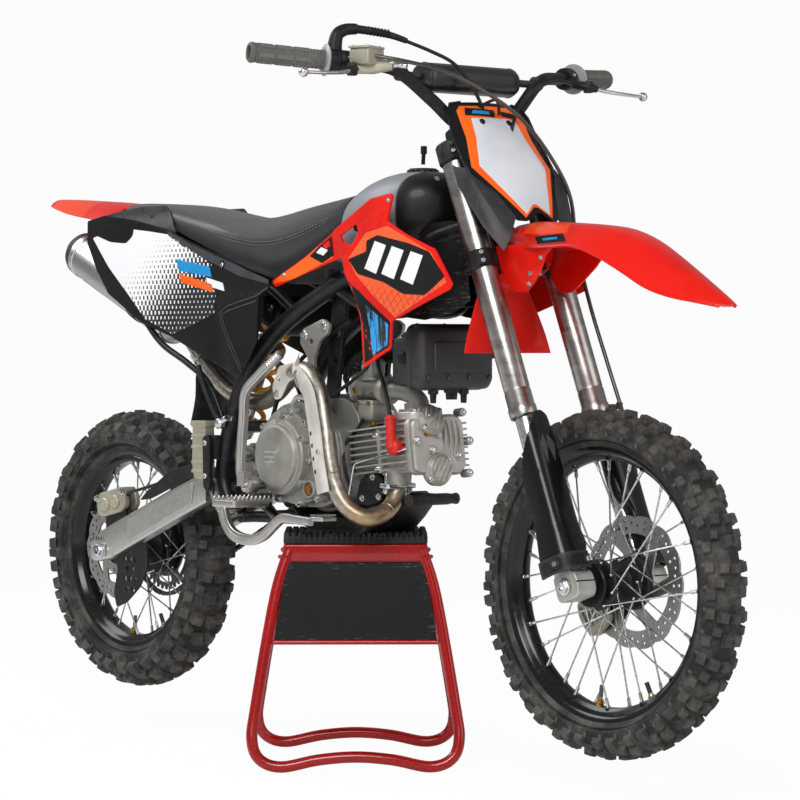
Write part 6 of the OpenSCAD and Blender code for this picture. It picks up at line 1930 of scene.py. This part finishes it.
def makeFrame():
    piece = Piece()
    r, bore = rearSet["headOuter"], rearSet["headInner"]
    piece.add(lathe([(bore, 56), (r - 1.5, 56), (r, 58), (r, 72), (r - 1.6, 74), (r - 1.6, 188), (r, 190), (r, 204),
        (r - 1.5, 206), (bore, 206)], 48), frameBlack, headPlace)
    piece.add(bend(spar, 7, 17, 28, flat=0.94), frameBlack, both=True)
    piece.add(bend([(370, -14, 892), (300, -34, 850), (215, -52, 800), (120, -62, 800), (40, -74, 838)], 7, 12, 22),
        frameBlack, both=True)
    piece.add(bend([(-240, -78, 426), (-214, -58, 426), (-160, -48, 426), (-40, -46, 426), (84, -46, 426)], 6, 10,
        20), frameBlack, both=True)
    hanger = rounded([(4, 848), (6, 812), (-10, 660), (-8, 644), (18, 644), (22, 660), (46, 820), (44, 846)], 5, 3)
    piece.add(sidePlate(hanger, -60, 9, 1.4, [circle(9, 18, 22, 760), circle(8, 18, 14, 710)]), frameBlack, both=True)
    piece.add(bend([(80, 8, 427), (112, 8, 456), (150, 8, 471), (206, 8, 471)], 6, 10, 18), frameBlack)
    piece.add(tube([(206, -57, 471), (206, -38, 471), (206, -36, 471), (206, 36, 471), (206, 38, 471),
        (206, 57, 471)], [9, 9, 10.2, 10.2, 9, 9], 20), matBlack)
    for s in (-1, 1):
        piece.add(lathe([(6, 0), (9.4, 0), (10, 1), (10, 4), (6, 4)], 20, closed=True), matBlack,
            aim((206, s * 52, 471), (0, s, 0)))
    piece.add(rod((80, -50, 426), (80, 50, 426), 10, 20), frameBlack)
    for x, z in ((-120, 764), (-252, 590), (-232, 425)):
        piece.add(rod((x, -78, z), (x, 78, z), 10, 20), frameBlack)
    pivot = [(-296, 520), (-300, 470), (-282, 438), (-240, 430), (-226, 452), (-236, 492), (-244, 530)]
    piece.add(sidePlate(rounded(pivot, 9, 4), -76, 14, 2, [circle(8.6, 24, -262, 476)]), frameBlack, both=True)
    piece.add(lathe([(8.6, 60.4), (22, 60.4), (23, 61.4), (23, 75), (22, 76), (8.6, 76)], 36, closed=True),
        frameBlack, facing(-262, 0, 476), both=True)
    piece.add(rod((-262, -84, 476), (-262, 84, 476), 7.8, 20), steel)
    for s in (-1, 1):
        piece.add(hexBolt(20, 8), steel, aim((-262, s * 77, 476), (0, s, 0)))
    lug = rounded([(-230, 828), (-232, 786), (-216, 770), (-196, 786), (-184, 812), (-190, 828)], 6, 3)
    for s in (-1, 1):
        piece.add(plate(lug, [circle(6, 16, -210, 806)], 6, 1, 2), frameBlack, facing(0, s * 24, 0))
        piece.add(hexBolt(14, 7), steel, aim((-210, s * 27, 806), (0, s, 0)))
    piece.add(bend([(-120, 0, 764), (-160, 0, 786), (-205, 0, 806)], 5, 13, 20), frameBlack)
    gusset = rounded([(356, 930), (300, 908), (232, 880), (250, 846), (330, 866), (374, 896)], 7, 3)
    piece.add(sidePlate(gusset, -30, 5, 1.2, [circle(12, 22, 300, 884)]), frameBlack, both=True)
    # cast hanger of the motor, on both sides
    bracket = rounded([(-48, 742), (-40, 766), (16, 784), (34, 774), (30, 758), (6, 744), (-8, 716), (-8, 672),
        (-24, 668), (-26, 716)], 6, 4)
    piece.add(sidePlate(bracket, -90, 9, 1.8, [circle(5, 16, -16, 744)]), castGrey, both=True)
    for x, z in ((-33, 755), (19, 770), (-16, 680)):
        piece.add(hexBolt(13, 6), steel, facing(x, -90, z), both=True)
        piece.add(lathe([(8.5, -6), (8.5, 1), (7.4, 2)], 20), steel, facing(x, -90, z), both=True)
    # black inner panels between the tank and the forks
    for s in (-1, 1):
        rows = []
        for i, (x, zl, zh, y) in enumerate(((150, 800, 905, 76), (210, 786, 930, 80), (262, 780, 944, 72),
                (306, 790, 948, 52), (336, 812, 944, 34))):
            rows.append([(x, s * (y - 6 * abs(2 * j / 5 - 1) ** 2), zl + (zh - zl) * j / 5) for j in range(6)])
        piece.add(skin(rows, 3), black)
    piece.add(block((60, 70, 90), (250, 0, 850)), matBlack)
    for i in range(7):
        piece.add(block((4, 74, 96)), matBlack, shift(224 + 9 * i, 0, 850))
    piece.add(bend([(-180, -66, 560), (-150, -72, 600), (-120, -72, 660), (-60, -66, 720), (60, -60, 780)], 6,
        4, 12), cableBlack)
    return piece.build("frameTubes", "chassis", ["frame"], 0, 2, 38)


def makeSubframe():
    piece = Piece()
    rail = smoothPath([(-96, -62, 800), (-180, -62, 850), (-300, -62, 880), (-430, -62, 908), (-560, -56, 938),
        (-640, -44, 962)], 6)
    piece.add(tube(rail, 10, 20), frameBlack, both=True)
    stay = smoothPath([(-254, -100, 598), (-296, -103, 668), (-358, -106, 706), (-436, -108.5, 744),
        (-500, -108.5, 806), (-540, -106, 880), (-558, -84, 928), (-562, -60, 938)], 6)
    piece.add(tube(stay, 6, 16), frameBlack, both=True)
    piece.add(plate(oblong(-16, -14, 16, 14, 5, 3), [], 10, 1, 2), frameBlack, facing(-241, -91, 613), both=True)
    piece.add(hexBolt(13, 6), steel, facing(-241, -96, 606), both=True)
    for x, z in ((-200, 856), (-440, 911)):
        piece.add(rod((x, -60, z), (x, 60, z), 7, 14), frameBlack)
    return piece.build("subframeTubes", "chassis", ["subframe"], 0, 2, 40)


def makeSkid():
    piece = Piece()
    low = rearSet["belly"]
    line = [(-104, 451), (-76, 422), (-56, low + 1.6), (14, low + 1.6), (85, low + 1.6), (118, 439), (149, 467)]
    half = 60
    rows = []
    for i, (x, z) in enumerate(line):
        inner = half - (3 if i in (0, 6) else 0)
        right = half if i < 5 else (half if i == 5 else 30)
        rows.append([(x, -right + (inner + right) * j / 10, z) for j in range(11)])
    piece.add(skin(rows, 3), matBlack)
    for s in (-1, 1):
        wing = rounded([(-60, low + 1), (85, low + 1), (104, 430), (80, 434), (-66, 434)], 4, 3)
        piece.add(plate(wing, [], 4, 0.8, 2), matBlack, facing(0, s * 58, 0))
    for x in (-30, 10, 50):
        for y in (-34, 0, 34):
            piece.add(lathe([(6, 0), (8, 0), (8, 1.6), (6, 2.2)], 20, closed=True), cableBlack,
                aim((x, y, low + 0.4), (0, 0, -1)) @ shift(0, 0, -1.8))
    way = Vector((33, 0, 28.4)).normalized()
    up = Vector((way.z, 0, -way.x))
    # near-black discs for the drilled holes on the front slope: painted shade seen through them
    for q, ys in ((0.3, (-38, -20, 4, 24, 42)), (0.62, (-40, -14, 8, 28, 46)), (0.9, (-12, 12, 36))):
        for y in ys:
            at = Vector((85 + 64 * q, y, low + 2 + 57 * q)) + up * 1.2
            piece.add(lathe([(0.02, 0.5), (5, 0.5), (5.6, 0)], 18), holeShade, aim(at, up))
    for x in (-30, 40):
        piece.add(screw(12, 4), steel, aim((x, -30, low + 0.2), (0, 0, -1)))
    for y in (50, -24):
        piece.add(sidePlate(rounded([(142, 458), (146, 471), (196, 476), (204, 466), (190, 460)], 3, 3),
            y, 6, 1), matBlack)
    return piece.build("skidPlateSheet", "chassis", ["skid_plate"], 0, 2, 34)


# painted shade for the inside of the drilled holes
holeShade = satinFinish("drilledHoleShade", "#08080a", 0.7, 0.0)


def makePegs():
    piece = Piece()
    outline = rounded([(-152, -208), (-86, -208), (-86, -126), (-100, -120), (-138, -120), (-152, -126)], 8, 4)
    slots = [oblong(-143, -198, -95, -184, 3, 3)[::-1], oblong(-143, -176, -95, -162, 3, 3)[::-1],
        oblong(-143, -154, -95, -140, 3, 3)[::-1]]
    piece.add(plate(outline, slots, 12, 1, 2), alloy, shift(0, 0, 458), both=True)
    for x in (-148, -90):
        for i in range(9):
            y = -202 + 9.6 * i
            base = [(x - 2.6, y - 3.8, 463), (x + 2.6, y - 3.8, 463), (x + 2.6, y + 3.8, 463),
                (x - 2.6, y + 3.8, 463)]
            tip = [(x - 1.4, y - 0.6, 471), (x + 1.4, y - 0.6, 471), (x + 1.4, y + 0.6, 471), (x - 1.4, y + 0.6, 471)]
            piece.add(loft([base, tip]), alloy, both=True)
    for y in (-205, -181, -157):
        for i in range(5):
            x = -138 + 9.6 * i
            base = [(x - 3.8, y - 2, 463), (x + 3.8, y - 2, 463), (x + 3.8, y + 2, 463), (x - 3.8, y + 2, 463)]
            tip = [(x - 0.6, y - 1, 470), (x + 0.6, y - 1, 470), (x + 0.6, y + 1, 470), (x - 0.6, y + 1, 470)]
            piece.add(loft([base, tip]), alloy, both=True)
    piece.add(block((34, 16, 26), (-117, -118, 461)), darkSteel, both=True)
    piece.add(rod((-140, -118, 460), (-94, -118, 460), 5, 14), steel, both=True)
    piece.add(tube([(-117, -118, 455), (-130, -92, 444), (-150, -64, 430)], 9, 18), frameBlack, both=True)
    return piece.build("footpegTeeth", "chassis", ["footpegs"], 0.3, 2, 34)


def makeFootLevers():
    piece = Piece()
    pedal = [(-240, -114, 446), (-222, -118, 416), (-190, -124, 396), (-140, -130, 390), (-95, -134, 400),
        (-52, -139, 424), (-28, -141, 434), (10, -145, 433), (56, -148, 431)]
    piece.add(strap(pedal, 23, 11, 7, 0.62), alloy)
    piece.add(strap([Vector(p) + Vector((0, -5.6, 0)) for p in pedal[:6]], 8, 2.4, 7, 0.7), castPale)
    piece.add(lathe([(6, -20), (11, -20), (12, -18), (12, 22), (11, 24), (6, 24)], 28, closed=True), alloy,
        facing(-240, -96, 444))
    piece.add(hexBolt(14, 6), steel, facing(-240, -120, 444))
    piece.add(plate(rounded([(50, -150), (84, -148), (86, -112), (50, -110)], 6, 3), [], 7, 1.2, 2), alloy,
        shift(0, 0, 436))
    for i in range(5):
        piece.add(block((2.4, 34, 3), (55 + 6.4 * i, -130, 442.4)), alloy)
    # kick lever
    kick = [(-127, -146, 489), (-141, -148, 510), (-138, -149, 560), (-131, -150, 610), (-122, -152, 654),
        (-78, -157, 684), (-42, -161, 704)]
    piece.add(strap(kick, 17, 12, 7, 0.95), alloy)
    piece.add(strap([Vector(p) + Vector((0, -6.2, 0)) for p in kick[1:]], 6.5, 2, 7, 0.9), castPale)
    end = aim((-44, -161, 703), Vector((36, -5, 18)))
    ribs = [(6.5, -2), (8, 0)]
    for i in range(6):
        ribs += [(8.8, 2 + 7 * i), (8.8, 5.5 + 7 * i), (7.4, 6.4 + 7 * i), (7.4, 8 + 7 * i)]
    piece.add(lathe(ribs + [(7, 46), (0.02, 47)], 24), alloy, end)
    piece.add(lathe([(0.02, -2), (14, -2), (15, 0), (15, 16), (13, 20), (7, 21), (0.02, 21)], 32), alloy,
        facing(-127, -130, 489))
    piece.add(rod((-127, -68, 489), (-127, -140, 489), 8.5, 18), steel)
    piece.add(hexBolt(12, 6), steel, facing(-127, -151, 489))
    piece.add(block((20, 16, 26), (-133, -148, 500)), alloy)
    # gear lever
    gear = smoothPath([(-110, 108, 474), (-70, 118, 466), (-10, 122, 460), (16, 124, 468)], 6)
    piece.add(tube(gear, lambda t: 6.5 - 1.4 * t, 14, flat=0.75), alloy)
    piece.add(rod((-110, 68, 474), (-110, 114, 474), 8, 18), steel)
    piece.add(lathe([(0.02, 0), (6, 0), (7, 1.5), (7, 36), (6, 38), (0.02, 38)], 18), rubber,
        aim((14, 118, 468), (0, 1, 0)))
    return piece.build("footLevers", "chassis", ["foot_levers"], 0, 2, 38)


def makeSwingarm():
    piece = Piece()
    stations = ((-684, 331, 361, 24), (-680, 326, 366, 26), (-664, 323, 377, 26), (-620, 331, 395, 26),
        (-560, 355, 418, 26), (-480, 386, 449, 26), (-400, 418, 480, 25), (-340, 441, 503, 22), (-322, 449, 494, 18))
    rings = []
    for x, low, high, wide in stations:
        y = rearSet["armIn"] + rearSet["armThick"] / 2
        ring = oblong(-wide / 2, low, wide / 2, high, 5.5, 4)
        rings.append([(x, -y + a, b) for a, b in ring])
    piece.add(loft(rings), alloy, both=True)
    piece.add(sidePlate(rounded([(-560, 366), (-360, 446), (-354, 486), (-564, 410)], 10, 4), -95, 3, 1),
        alloy, both=True)
    piece.add(rod((-335, -70, 475), (-335, 70, 475), 17, 24), alloy)
    for s in (-1, 1):
        arm = rounded([(-330, 456), (-330, 492), (-275, 497), (-248, 492), (-240, 476), (-248, 460),
            (-275, 455)], 8, 4)
        piece.add(plate(arm, [circle(8.6, 20, -262, 476)], 26, 2.4, 3), alloy, facing(0, s * 44, 0))
        ear = rounded([(-352, 488), (-312, 490), (-314, 540), (-322, 556), (-334, 556), (-342, 540)], 6, 4)
        piece.add(plate(ear, [circle(6.2, 16, -328, 536)], 9, 1.4, 2), alloy, facing(0, s * 26, 0))
        piece.add(hexBolt(16, 7), steel, aim((-328, s * 31, 536), (0, s, 0)))
    piece.add(sleeve(8.6, 20, -60, 60, 32), alloy, facing(-262, 0, 476))
    # axle blocks with their adjusters
    for s in (-1, 1):
        slider = oblong(-678, 334, -632, 360, 4, 3)
        piece.add(plate(slider, [circle(7.2, 20, -650, 346)], 3, 0.8, 2), alloy, facing(0, s * 95.4, 0))
        piece.add(rod((-650, s * 82, 346), (-694, s * 82, 344), 3.6, 12), steel)
        piece.add(hexBolt(11, 7), steel, aim((-686, s * 82, 344.4), (-1, 0, 0)))
        for k in range(4):
            piece.add(block((1.2, 1.2, 7), (-668 + 8 * k, s * 97, 368)), darkSteel)
    # black guard over the right leg, disc guard and chain guide
    guard = rounded([(-520, 446), (-500, 462), (-422, 506), (-339, 522), (-326, 506), (-360, 494), (-485, 450)], 5, 3)
    piece.add(sidePlate(guard, -96, 4, 1), matBlack)
    ax, az = -650, 346
    quarter = rounded([(ax + 5, az + 13), (ax + 132, az + 19), (ax + 135, az - 27), (ax + 109, az - 66),
        (ax + 67, az - 97), (ax + 34, az - 109), (ax + 25, az - 82), (ax + 38, az - 32)], 7, 4)
    holes = [circle(5.2, 14, ax + 62 + 17 * i + (8 if j % 2 else 0), az - 14 - 19 * j) for j in range(4)
        for i in range(3 if j % 2 == 0 else 2)]
    piece.add(sidePlate(quarter, -81, 4, 1, holes), matBlack)
    for y in (34, 52):
        piece.add(plate(rounded([(-510, 330), (-470, 330), (-460, 404), (-500, 404)], 6, 3), [], 4, 0.8, 2), matBlack,
            facing(0, y + 20, 0))
    return piece.build("swingarmPolished", "chassis", ["swingarm"], 0, 2, 36)


def makeShock():
    piece = Piece()
    top, low = Vector((-216, 0, 790)), Vector((-322, 0, 564))
    way = low - top
    at = aim(top, way)
    long = way.length
    r, wire, turns = rearSet["springR"] - rearSet["wire"], rearSet["wire"], rearSet["turns"]
    a, b = 22.0, long - 32.0
    coil = []
    n = int(turns * 26)
    for i in range(n + 1):
        q = i / n
        rise = a + (b - a) * min(1.0, max(0.0, (q - 0.06) / 0.88))
        c = 2 * pi * turns * q
        coil.append(at @ Vector((r * cos(c), r * sin(c), rise)))
    piece.add(tube(coil, wire, 12), gold)
    piece.add(lathe([(6, -22), (15, -22), (17, -14), (18, -2), (18, 70), (17, 72), (15, 74), (15, 96), (6, 98)],
        32), darkGrey, at)
    piece.add(lathe([(18, 10), (29, 10), (29.4, 12), (29.4, 16), (28, 18), (18, 18)], 36, closed=True), matBlack, at)
    piece.add(sleeve(18, 24, 3, 9, 24), alloy, at)
    piece.add(lathe([(0.02, 90), (6, 90), (6, long - 18), (0.02, long - 18)], 20), steel, at)
    piece.add(lathe([(6, long - 34), (24, long - 34), (28.6, long - 31), (28.6, long - 27), (16, long - 24),
        (13, long - 6), (6, long)], 32), alloy, at)
    piece.add(lathe([(6, -19), (15, -19), (16, -17), (16, 17), (15, 19), (6, 19)], 28, closed=True), darkGrey,
        facing(-210, 0, 806))
    piece.add(lathe([(6, -18), (15, -18), (16, -16), (16, 16), (15, 18), (6, 18)], 28, closed=True), alloy,
        facing(-328, 0, 536))
    piece.add(rod((-328, -33, 536), (-328, 33, 536), 5.8, 16), steel)
    return piece.build("shockSpring", "chassis", ["shock"], 0, 2, 40)


def makeRearBrake():
    piece = Piece()
    at = shift(-684, -58, 404) @ swivel(12, "Y").inverted()
    outline = rounded([(2, 6), (18, 0), (78, 0), (95, 10), (95, 34), (80, 45), (16, 45), (2, 34)], 8, 4)
    for y, t in ((-12.5, 12), (13.5, 10)):
        piece.add(plate(outline, [], t, 2, 3), castBeige, at @ shift(0, y, 0) @ acrossTurn)
    piece.add(plate(rounded([(8, 34), (90, 34), (86, 47), (12, 47)], 5, 3), [], 34, 1.4, 2),
        castBeige, at @ acrossTurn)
    for x in (30, 64):
        piece.add(lathe([(0.02, 0), (13.5, 0), (13.5, 3), (11, 5.5), (4, 6), (0.02, 6)], 26), castBeige, at
            @ shift(x, -18, 22) @ acrossTurn)
    for x in (8, 88):
        piece.add(hexBolt(11, 6), steel, at @ shift(x, -18.5, 38) @ acrossTurn)
    piece.add(sidePlate(rounded([(-666, 364), (-600, 386), (-600, 430), (-666, 430)], 5, 3), -70, 6, 1), matBlack)
    # pump with its reservoir, guard and rod
    body = rounded([(-318, 596), (-320, 520), (-314, 494), (-286, 492), (-280, 512), (-281, 596)], 5, 4)
    piece.add(sidePlate(body, -124, 24, 3, parts=3), castBeige)
    piece.add(sidePlate(rounded([(-321, 600), (-321, 588), (-278, 588), (-278, 600)], 4, 3), -125,
        27, 1.4), castBeige)
    for z in (572, 552, 524, 508):
        piece.add(sidePlate(rounded([(-320, z + 3), (-320, z - 3), (-279, z - 3), (-279, z + 3)], 2, 2), -125,
            4, 1), castBeige)
    guard = rounded([(-284, 570), (-282, 480), (-272, 470), (-263, 480), (-263, 566), (-270, 576)], 5, 4)
    piece.add(sidePlate(guard, -127, 9, 2), matBlack)
    for x, z in ((-273, 560), (-273, 500)):
        piece.add(screw(11, 4), steel, facing(x, -127, z))
    piece.add(lathe([(0.02, 0), (8, 0), (10, 3), (10, 12), (7, 16), (0.02, 17)], 24), steel, facing(-250, -104, 596))
    piece.add(rod((-250, -112, 596), (-232, -110, 606), 6, 14), steel)
    piece.add(bend([(-320, -108, 700), (-296, -112, 660), (-262, -114, 614), (-250, -114, 604)], 5,
        5, 14), cableBlack)
    piece.add(tube([(-273, -116, 474), (-262, -116, 456), (-244, -116, 444)], 3.2, 12), steel)
    piece.add(block((30, 14, 44), (-281, -105, 552)), matBlack)
    line = smoothPath([(-300, -110, 520), (-340, -96, 508), (-420, -90, 490), (-520, -86, 468), (-580, -76, 458),
        (-600, -66, 452)], 6)
    piece.add(tube(line, 3, 10), cableBlack)
    return piece.build("rearCaliperAndPump", "chassis", ["rear_brake"], 0.3, 2, 36)


def makeRearAxle():
    piece = Piece()
    piece.add(sleeve(5.1, 8, -105, 105, 32), steel, rearWheelPlace)
    for s in (-1, 1):
        piece.add(lathe([(8, 60.4), (12.6, 60.4), (13, 62), (13, 67), (12, 67.8), (8, 67.8)], 32, closed=True),
            darkSteel, rearWheelPlace @ Matrix.Scale(s, 4, (0, 0, 1)))
        end = rearWheelPlace @ aim((0, 0, s * 94.4), (0, 0, s))
        piece.add(lathe([(5.2, 2.4), (14.6, 2.4), (14.6, 4), (12, 4.4)], 32), steel, end)
        piece.add(lathe([(5.2, 2), (12.6, 2), (12.6, 9), (11, 10.6), (5.2, 10.6)], 6, closed=True), steel, end)
    return piece.build("rearAxleBolt", "chassis", ["rear_axle"], 0.3, 2, 35)


def makeChain():
    piece = Piece()
    axle, drive = Vector((-650, 346)), Vector((-176, 508))
    way = drive - axle
    far, lean = way.length, atan2(way.y, way.x)
    big, small = rearSet["chainR"], 32.0
    b = asin((big - small) / far)
    loop = []
    for i in range(61):
        t = pi / 2 - b + (pi + 2 * b) * i / 60
        loop.append((big * cos(t), big * sin(t)))
    for i in range(31):
        t = -pi / 2 + b + (pi - 2 * b) * i / 30
        loop.append((far + small * cos(t), small * sin(t)))
    loop = [Vector((axle.x + x * cos(lean) - y * sin(lean), axle.y + x * sin(lean) + y * cos(lean))) for x, y in loop]
    steps = [0.0]
    for p, q in zip(loop, loop[1:] + loop[:1]):
        steps.append(steps[-1] + (q - p).length)
    whole = steps[-1]
    n = int(whole / rearSet["chainPitch"] / 2) * 2

    def onLoop(d):
        d %= whole
        for i in range(len(loop)):
            if steps[i + 1] >= d:
                q = (d - steps[i]) / max(1e-6, steps[i + 1] - steps[i])
                return loop[i].lerp(loop[(i + 1) % len(loop)], q)
        return loop[0]

    link = []
    for i in range(14):
        a = 2 * pi * i / 14
        x = 6.35 * (1 if cos(a) > 0 else -1) + 4.6 * cos(a)
        link.append((x, (4.6 if abs(cos(a)) > 0.3 else 3.7) * sin(a)))
    y0 = rearSet["chainY"]
    for i in range(n):
        p, q = onLoop(whole * i / n), onLoop(whole * (i + 1) / n)
        way = (q - p).normalized()
        mid = (p + q) / 2
        wide = 4.0 if i % 2 else 2.7
        at = shift(mid.x, y0, mid.y) @ Matrix.Rotation(-atan2(way.y, way.x), 4, "Y") @ acrossTurn
        for s in (-1, 1):
            piece.add(plate(link, [], 1.1, 0, 1), chainSteel, at @ shift(0, 0, s * wide))
        piece.add(lathe([(0.02, -4.5), (1.8, -4.5), (1.8, -3), (3.7, -3), (3.7, 3), (1.8, 3), (1.8, 4.5),
            (0.02, 4.5)], 10), chainSteel, facing(p.x, y0, p.y))
    return piece.build("driveChain", "chassis", ["chain"], 0, 1, 30)


chainSteel = metalFinish("chainSteel", "#6a6863", "#35332f", 0.4)
makeFrame()
makeSubframe()
makeSkid()
makePegs()
makeFootLevers()
makeSwingarm()
makeShock()
makeRearBrake()
makeRearAxle()
makeChain()
print("frame and rear end made")


# ---- paddock stand ----

standSet = {"yaw": 50.0, "top": 390.0, "half": 126.0, "deep": 96.0, "footHalf": 128.0, "footDeep": 174.0,
    "tube": 20.0, "pad": 20.0}
standPlace = swivel(standSet["yaw"])


def standFinish():
    f = Finish("standEnamel")
    cloud = f.noise(9.0, 5.0)
    chip = f.noise(95.0, 6.0, 0.7).step(0.66, 0.72)
    grimeAndShade = f.noise(40.0, 6.0, 0.65).step(0.5, 0.85)
    z = f.axes()[2]
    wear = chip * z.step(0.36, 0.40)
    shade = f.mix(tone("#a80503"), tone("#860201"), cloud)
    shade = f.mix(shade, tone("#4a1512"), grimeAndShade * 0.3)
    shade = f.mix(shade, tone("#b8a8a0"), wear * 0.5)
    return f.done(shade, 0.22 + (grimeAndShade * 0.2), 0.0, cloud + (wear * -0.5), 0.12, 0.0005,
        **{"Coat Weight": 0.35, "Specular IOR Level": 0.3})


def makeStand():
    piece = Piece()
    half, deep, top = standSet["half"], standSet["deep"], standSet["top"]
    fh, fd, r = standSet["footHalf"], standSet["footDeep"], standSet["tube"] / 2
    w = fh + 51
    side = [(-half + 10, -deep, top - 12), (-half - 14, -deep - 16, top - 90), (-w + 6, -fd + 24, 110),
        (-w, -fd + 10, 54), (-w + 14, -fd + 3, r + 12), (-fh, -fd, r), (-fh / 2, -fd, r + 12), (0, -fd, r + 17)]
    whole = side + [(-x, y, z) for x, y, z in side[-2::-1]]
    for s in (-1, 1):
        path = smoothPath([(x, -s * y, z) for x, y, z in whole], 6)
        piece.add(tube(path, r, 22), standPaint, standPlace)
    outer = oblong(-half, -deep - 8, half, deep + 8, 5, 4)
    inner = oblong(-half + 32, -deep + 18, half - 32, deep - 18, 3, 3)
    piece.add(plate(outer, [inner[::-1]], 30.6, 3, 3), standPaint, standPlace @ shift(0, 0, top - 15.6))
    for s in (-1, 1):  # black panel between the legs
        rows = []
        for i in range(9):
            q = i / 8
            wide = half - 5 + 21 * q
            y = -s * -(deep + 11 + 22 * q)
            rows.append([(wide * (2 * j / 12 - 1), y, top - 32 - 136 * q) for j in range(13)])
        piece.add(skin(rows, 2.6), panelBlack, standPlace)
        y, z = s * (deep + 32), top - 169
        piece.add(rod((-half - 17, y, z), (half + 17, y, z), 4.2, 12), standPaint, standPlace)
    for s in (-1, 1):
        for k in (-1, 1):
            at = Vector((k * (half - 2), s * (deep + 2), top - 24))
            piece.add(lathe([(10.6, -3), (12.6, 0), (11, 3)], 20), standPaint, standPlace
                @ aim(at, (k * 0.25, s * 0.2, -1)))
    return piece.build("standTubes", "chassis", ["stand_frame"], 0, 2, 40)


def makePad():
    piece = Piece()
    half, deep, low, t = standSet["half"], standSet["deep"] + 6, standSet["top"], standSet["pad"]
    base = oblong(-half, -deep, half, deep, 9, 4)
    hole = circle(30, 40)
    piece.add(plate(base, [hole[::-1]], t - 6, 2, 2), padRubber, standPlace @ shift(0, 0, low + (t - 6) / 2))
    for i in range(21):
        x = -half + 6 + (2 * half - 12) * i / 20
        for j in range(15):
            y = -deep + 7 + (2 * deep - 14) * j / 14
            if x * x + y * y < 38 ** 2:
                continue
            stud = oblong(-4.8, -4.8, 4.8, 4.8, 1.2, 2)
            turned = swivel(45 if (i + j) % 2 else 0)
            piece.add(loft([[(a, b, 0) for a, b in stud], [(a * 0.82, b * 0.82, 6.2) for a, b in stud]]), padRubber,
                standPlace @ shift(x, y, low + t - 6.2) @ turned)
    for i in range(26):
        x = -half + 8 + (2 * half - 16) * i / 25
        for s in (-1, 1):
            piece.add(block((3.6, 2.6, t - 4)), padRubber, standPlace @ shift(x, s * (deep + 0.8), low + t / 2))
    return piece.build("standPadTread", "chassis", ["stand_pad"], 0.3, 1, 34)


standPaint = standFinish()
padRubber = rubberFinish("padRubber", "#151515", "#3c3c3b", 0.75, 260.0, 0.3)
panelBlack = plasticFinish("panelBlack", "#0c0c0d", "#070708", 0.45, 0.1)
makeStand()
makePad()
print("stand made")
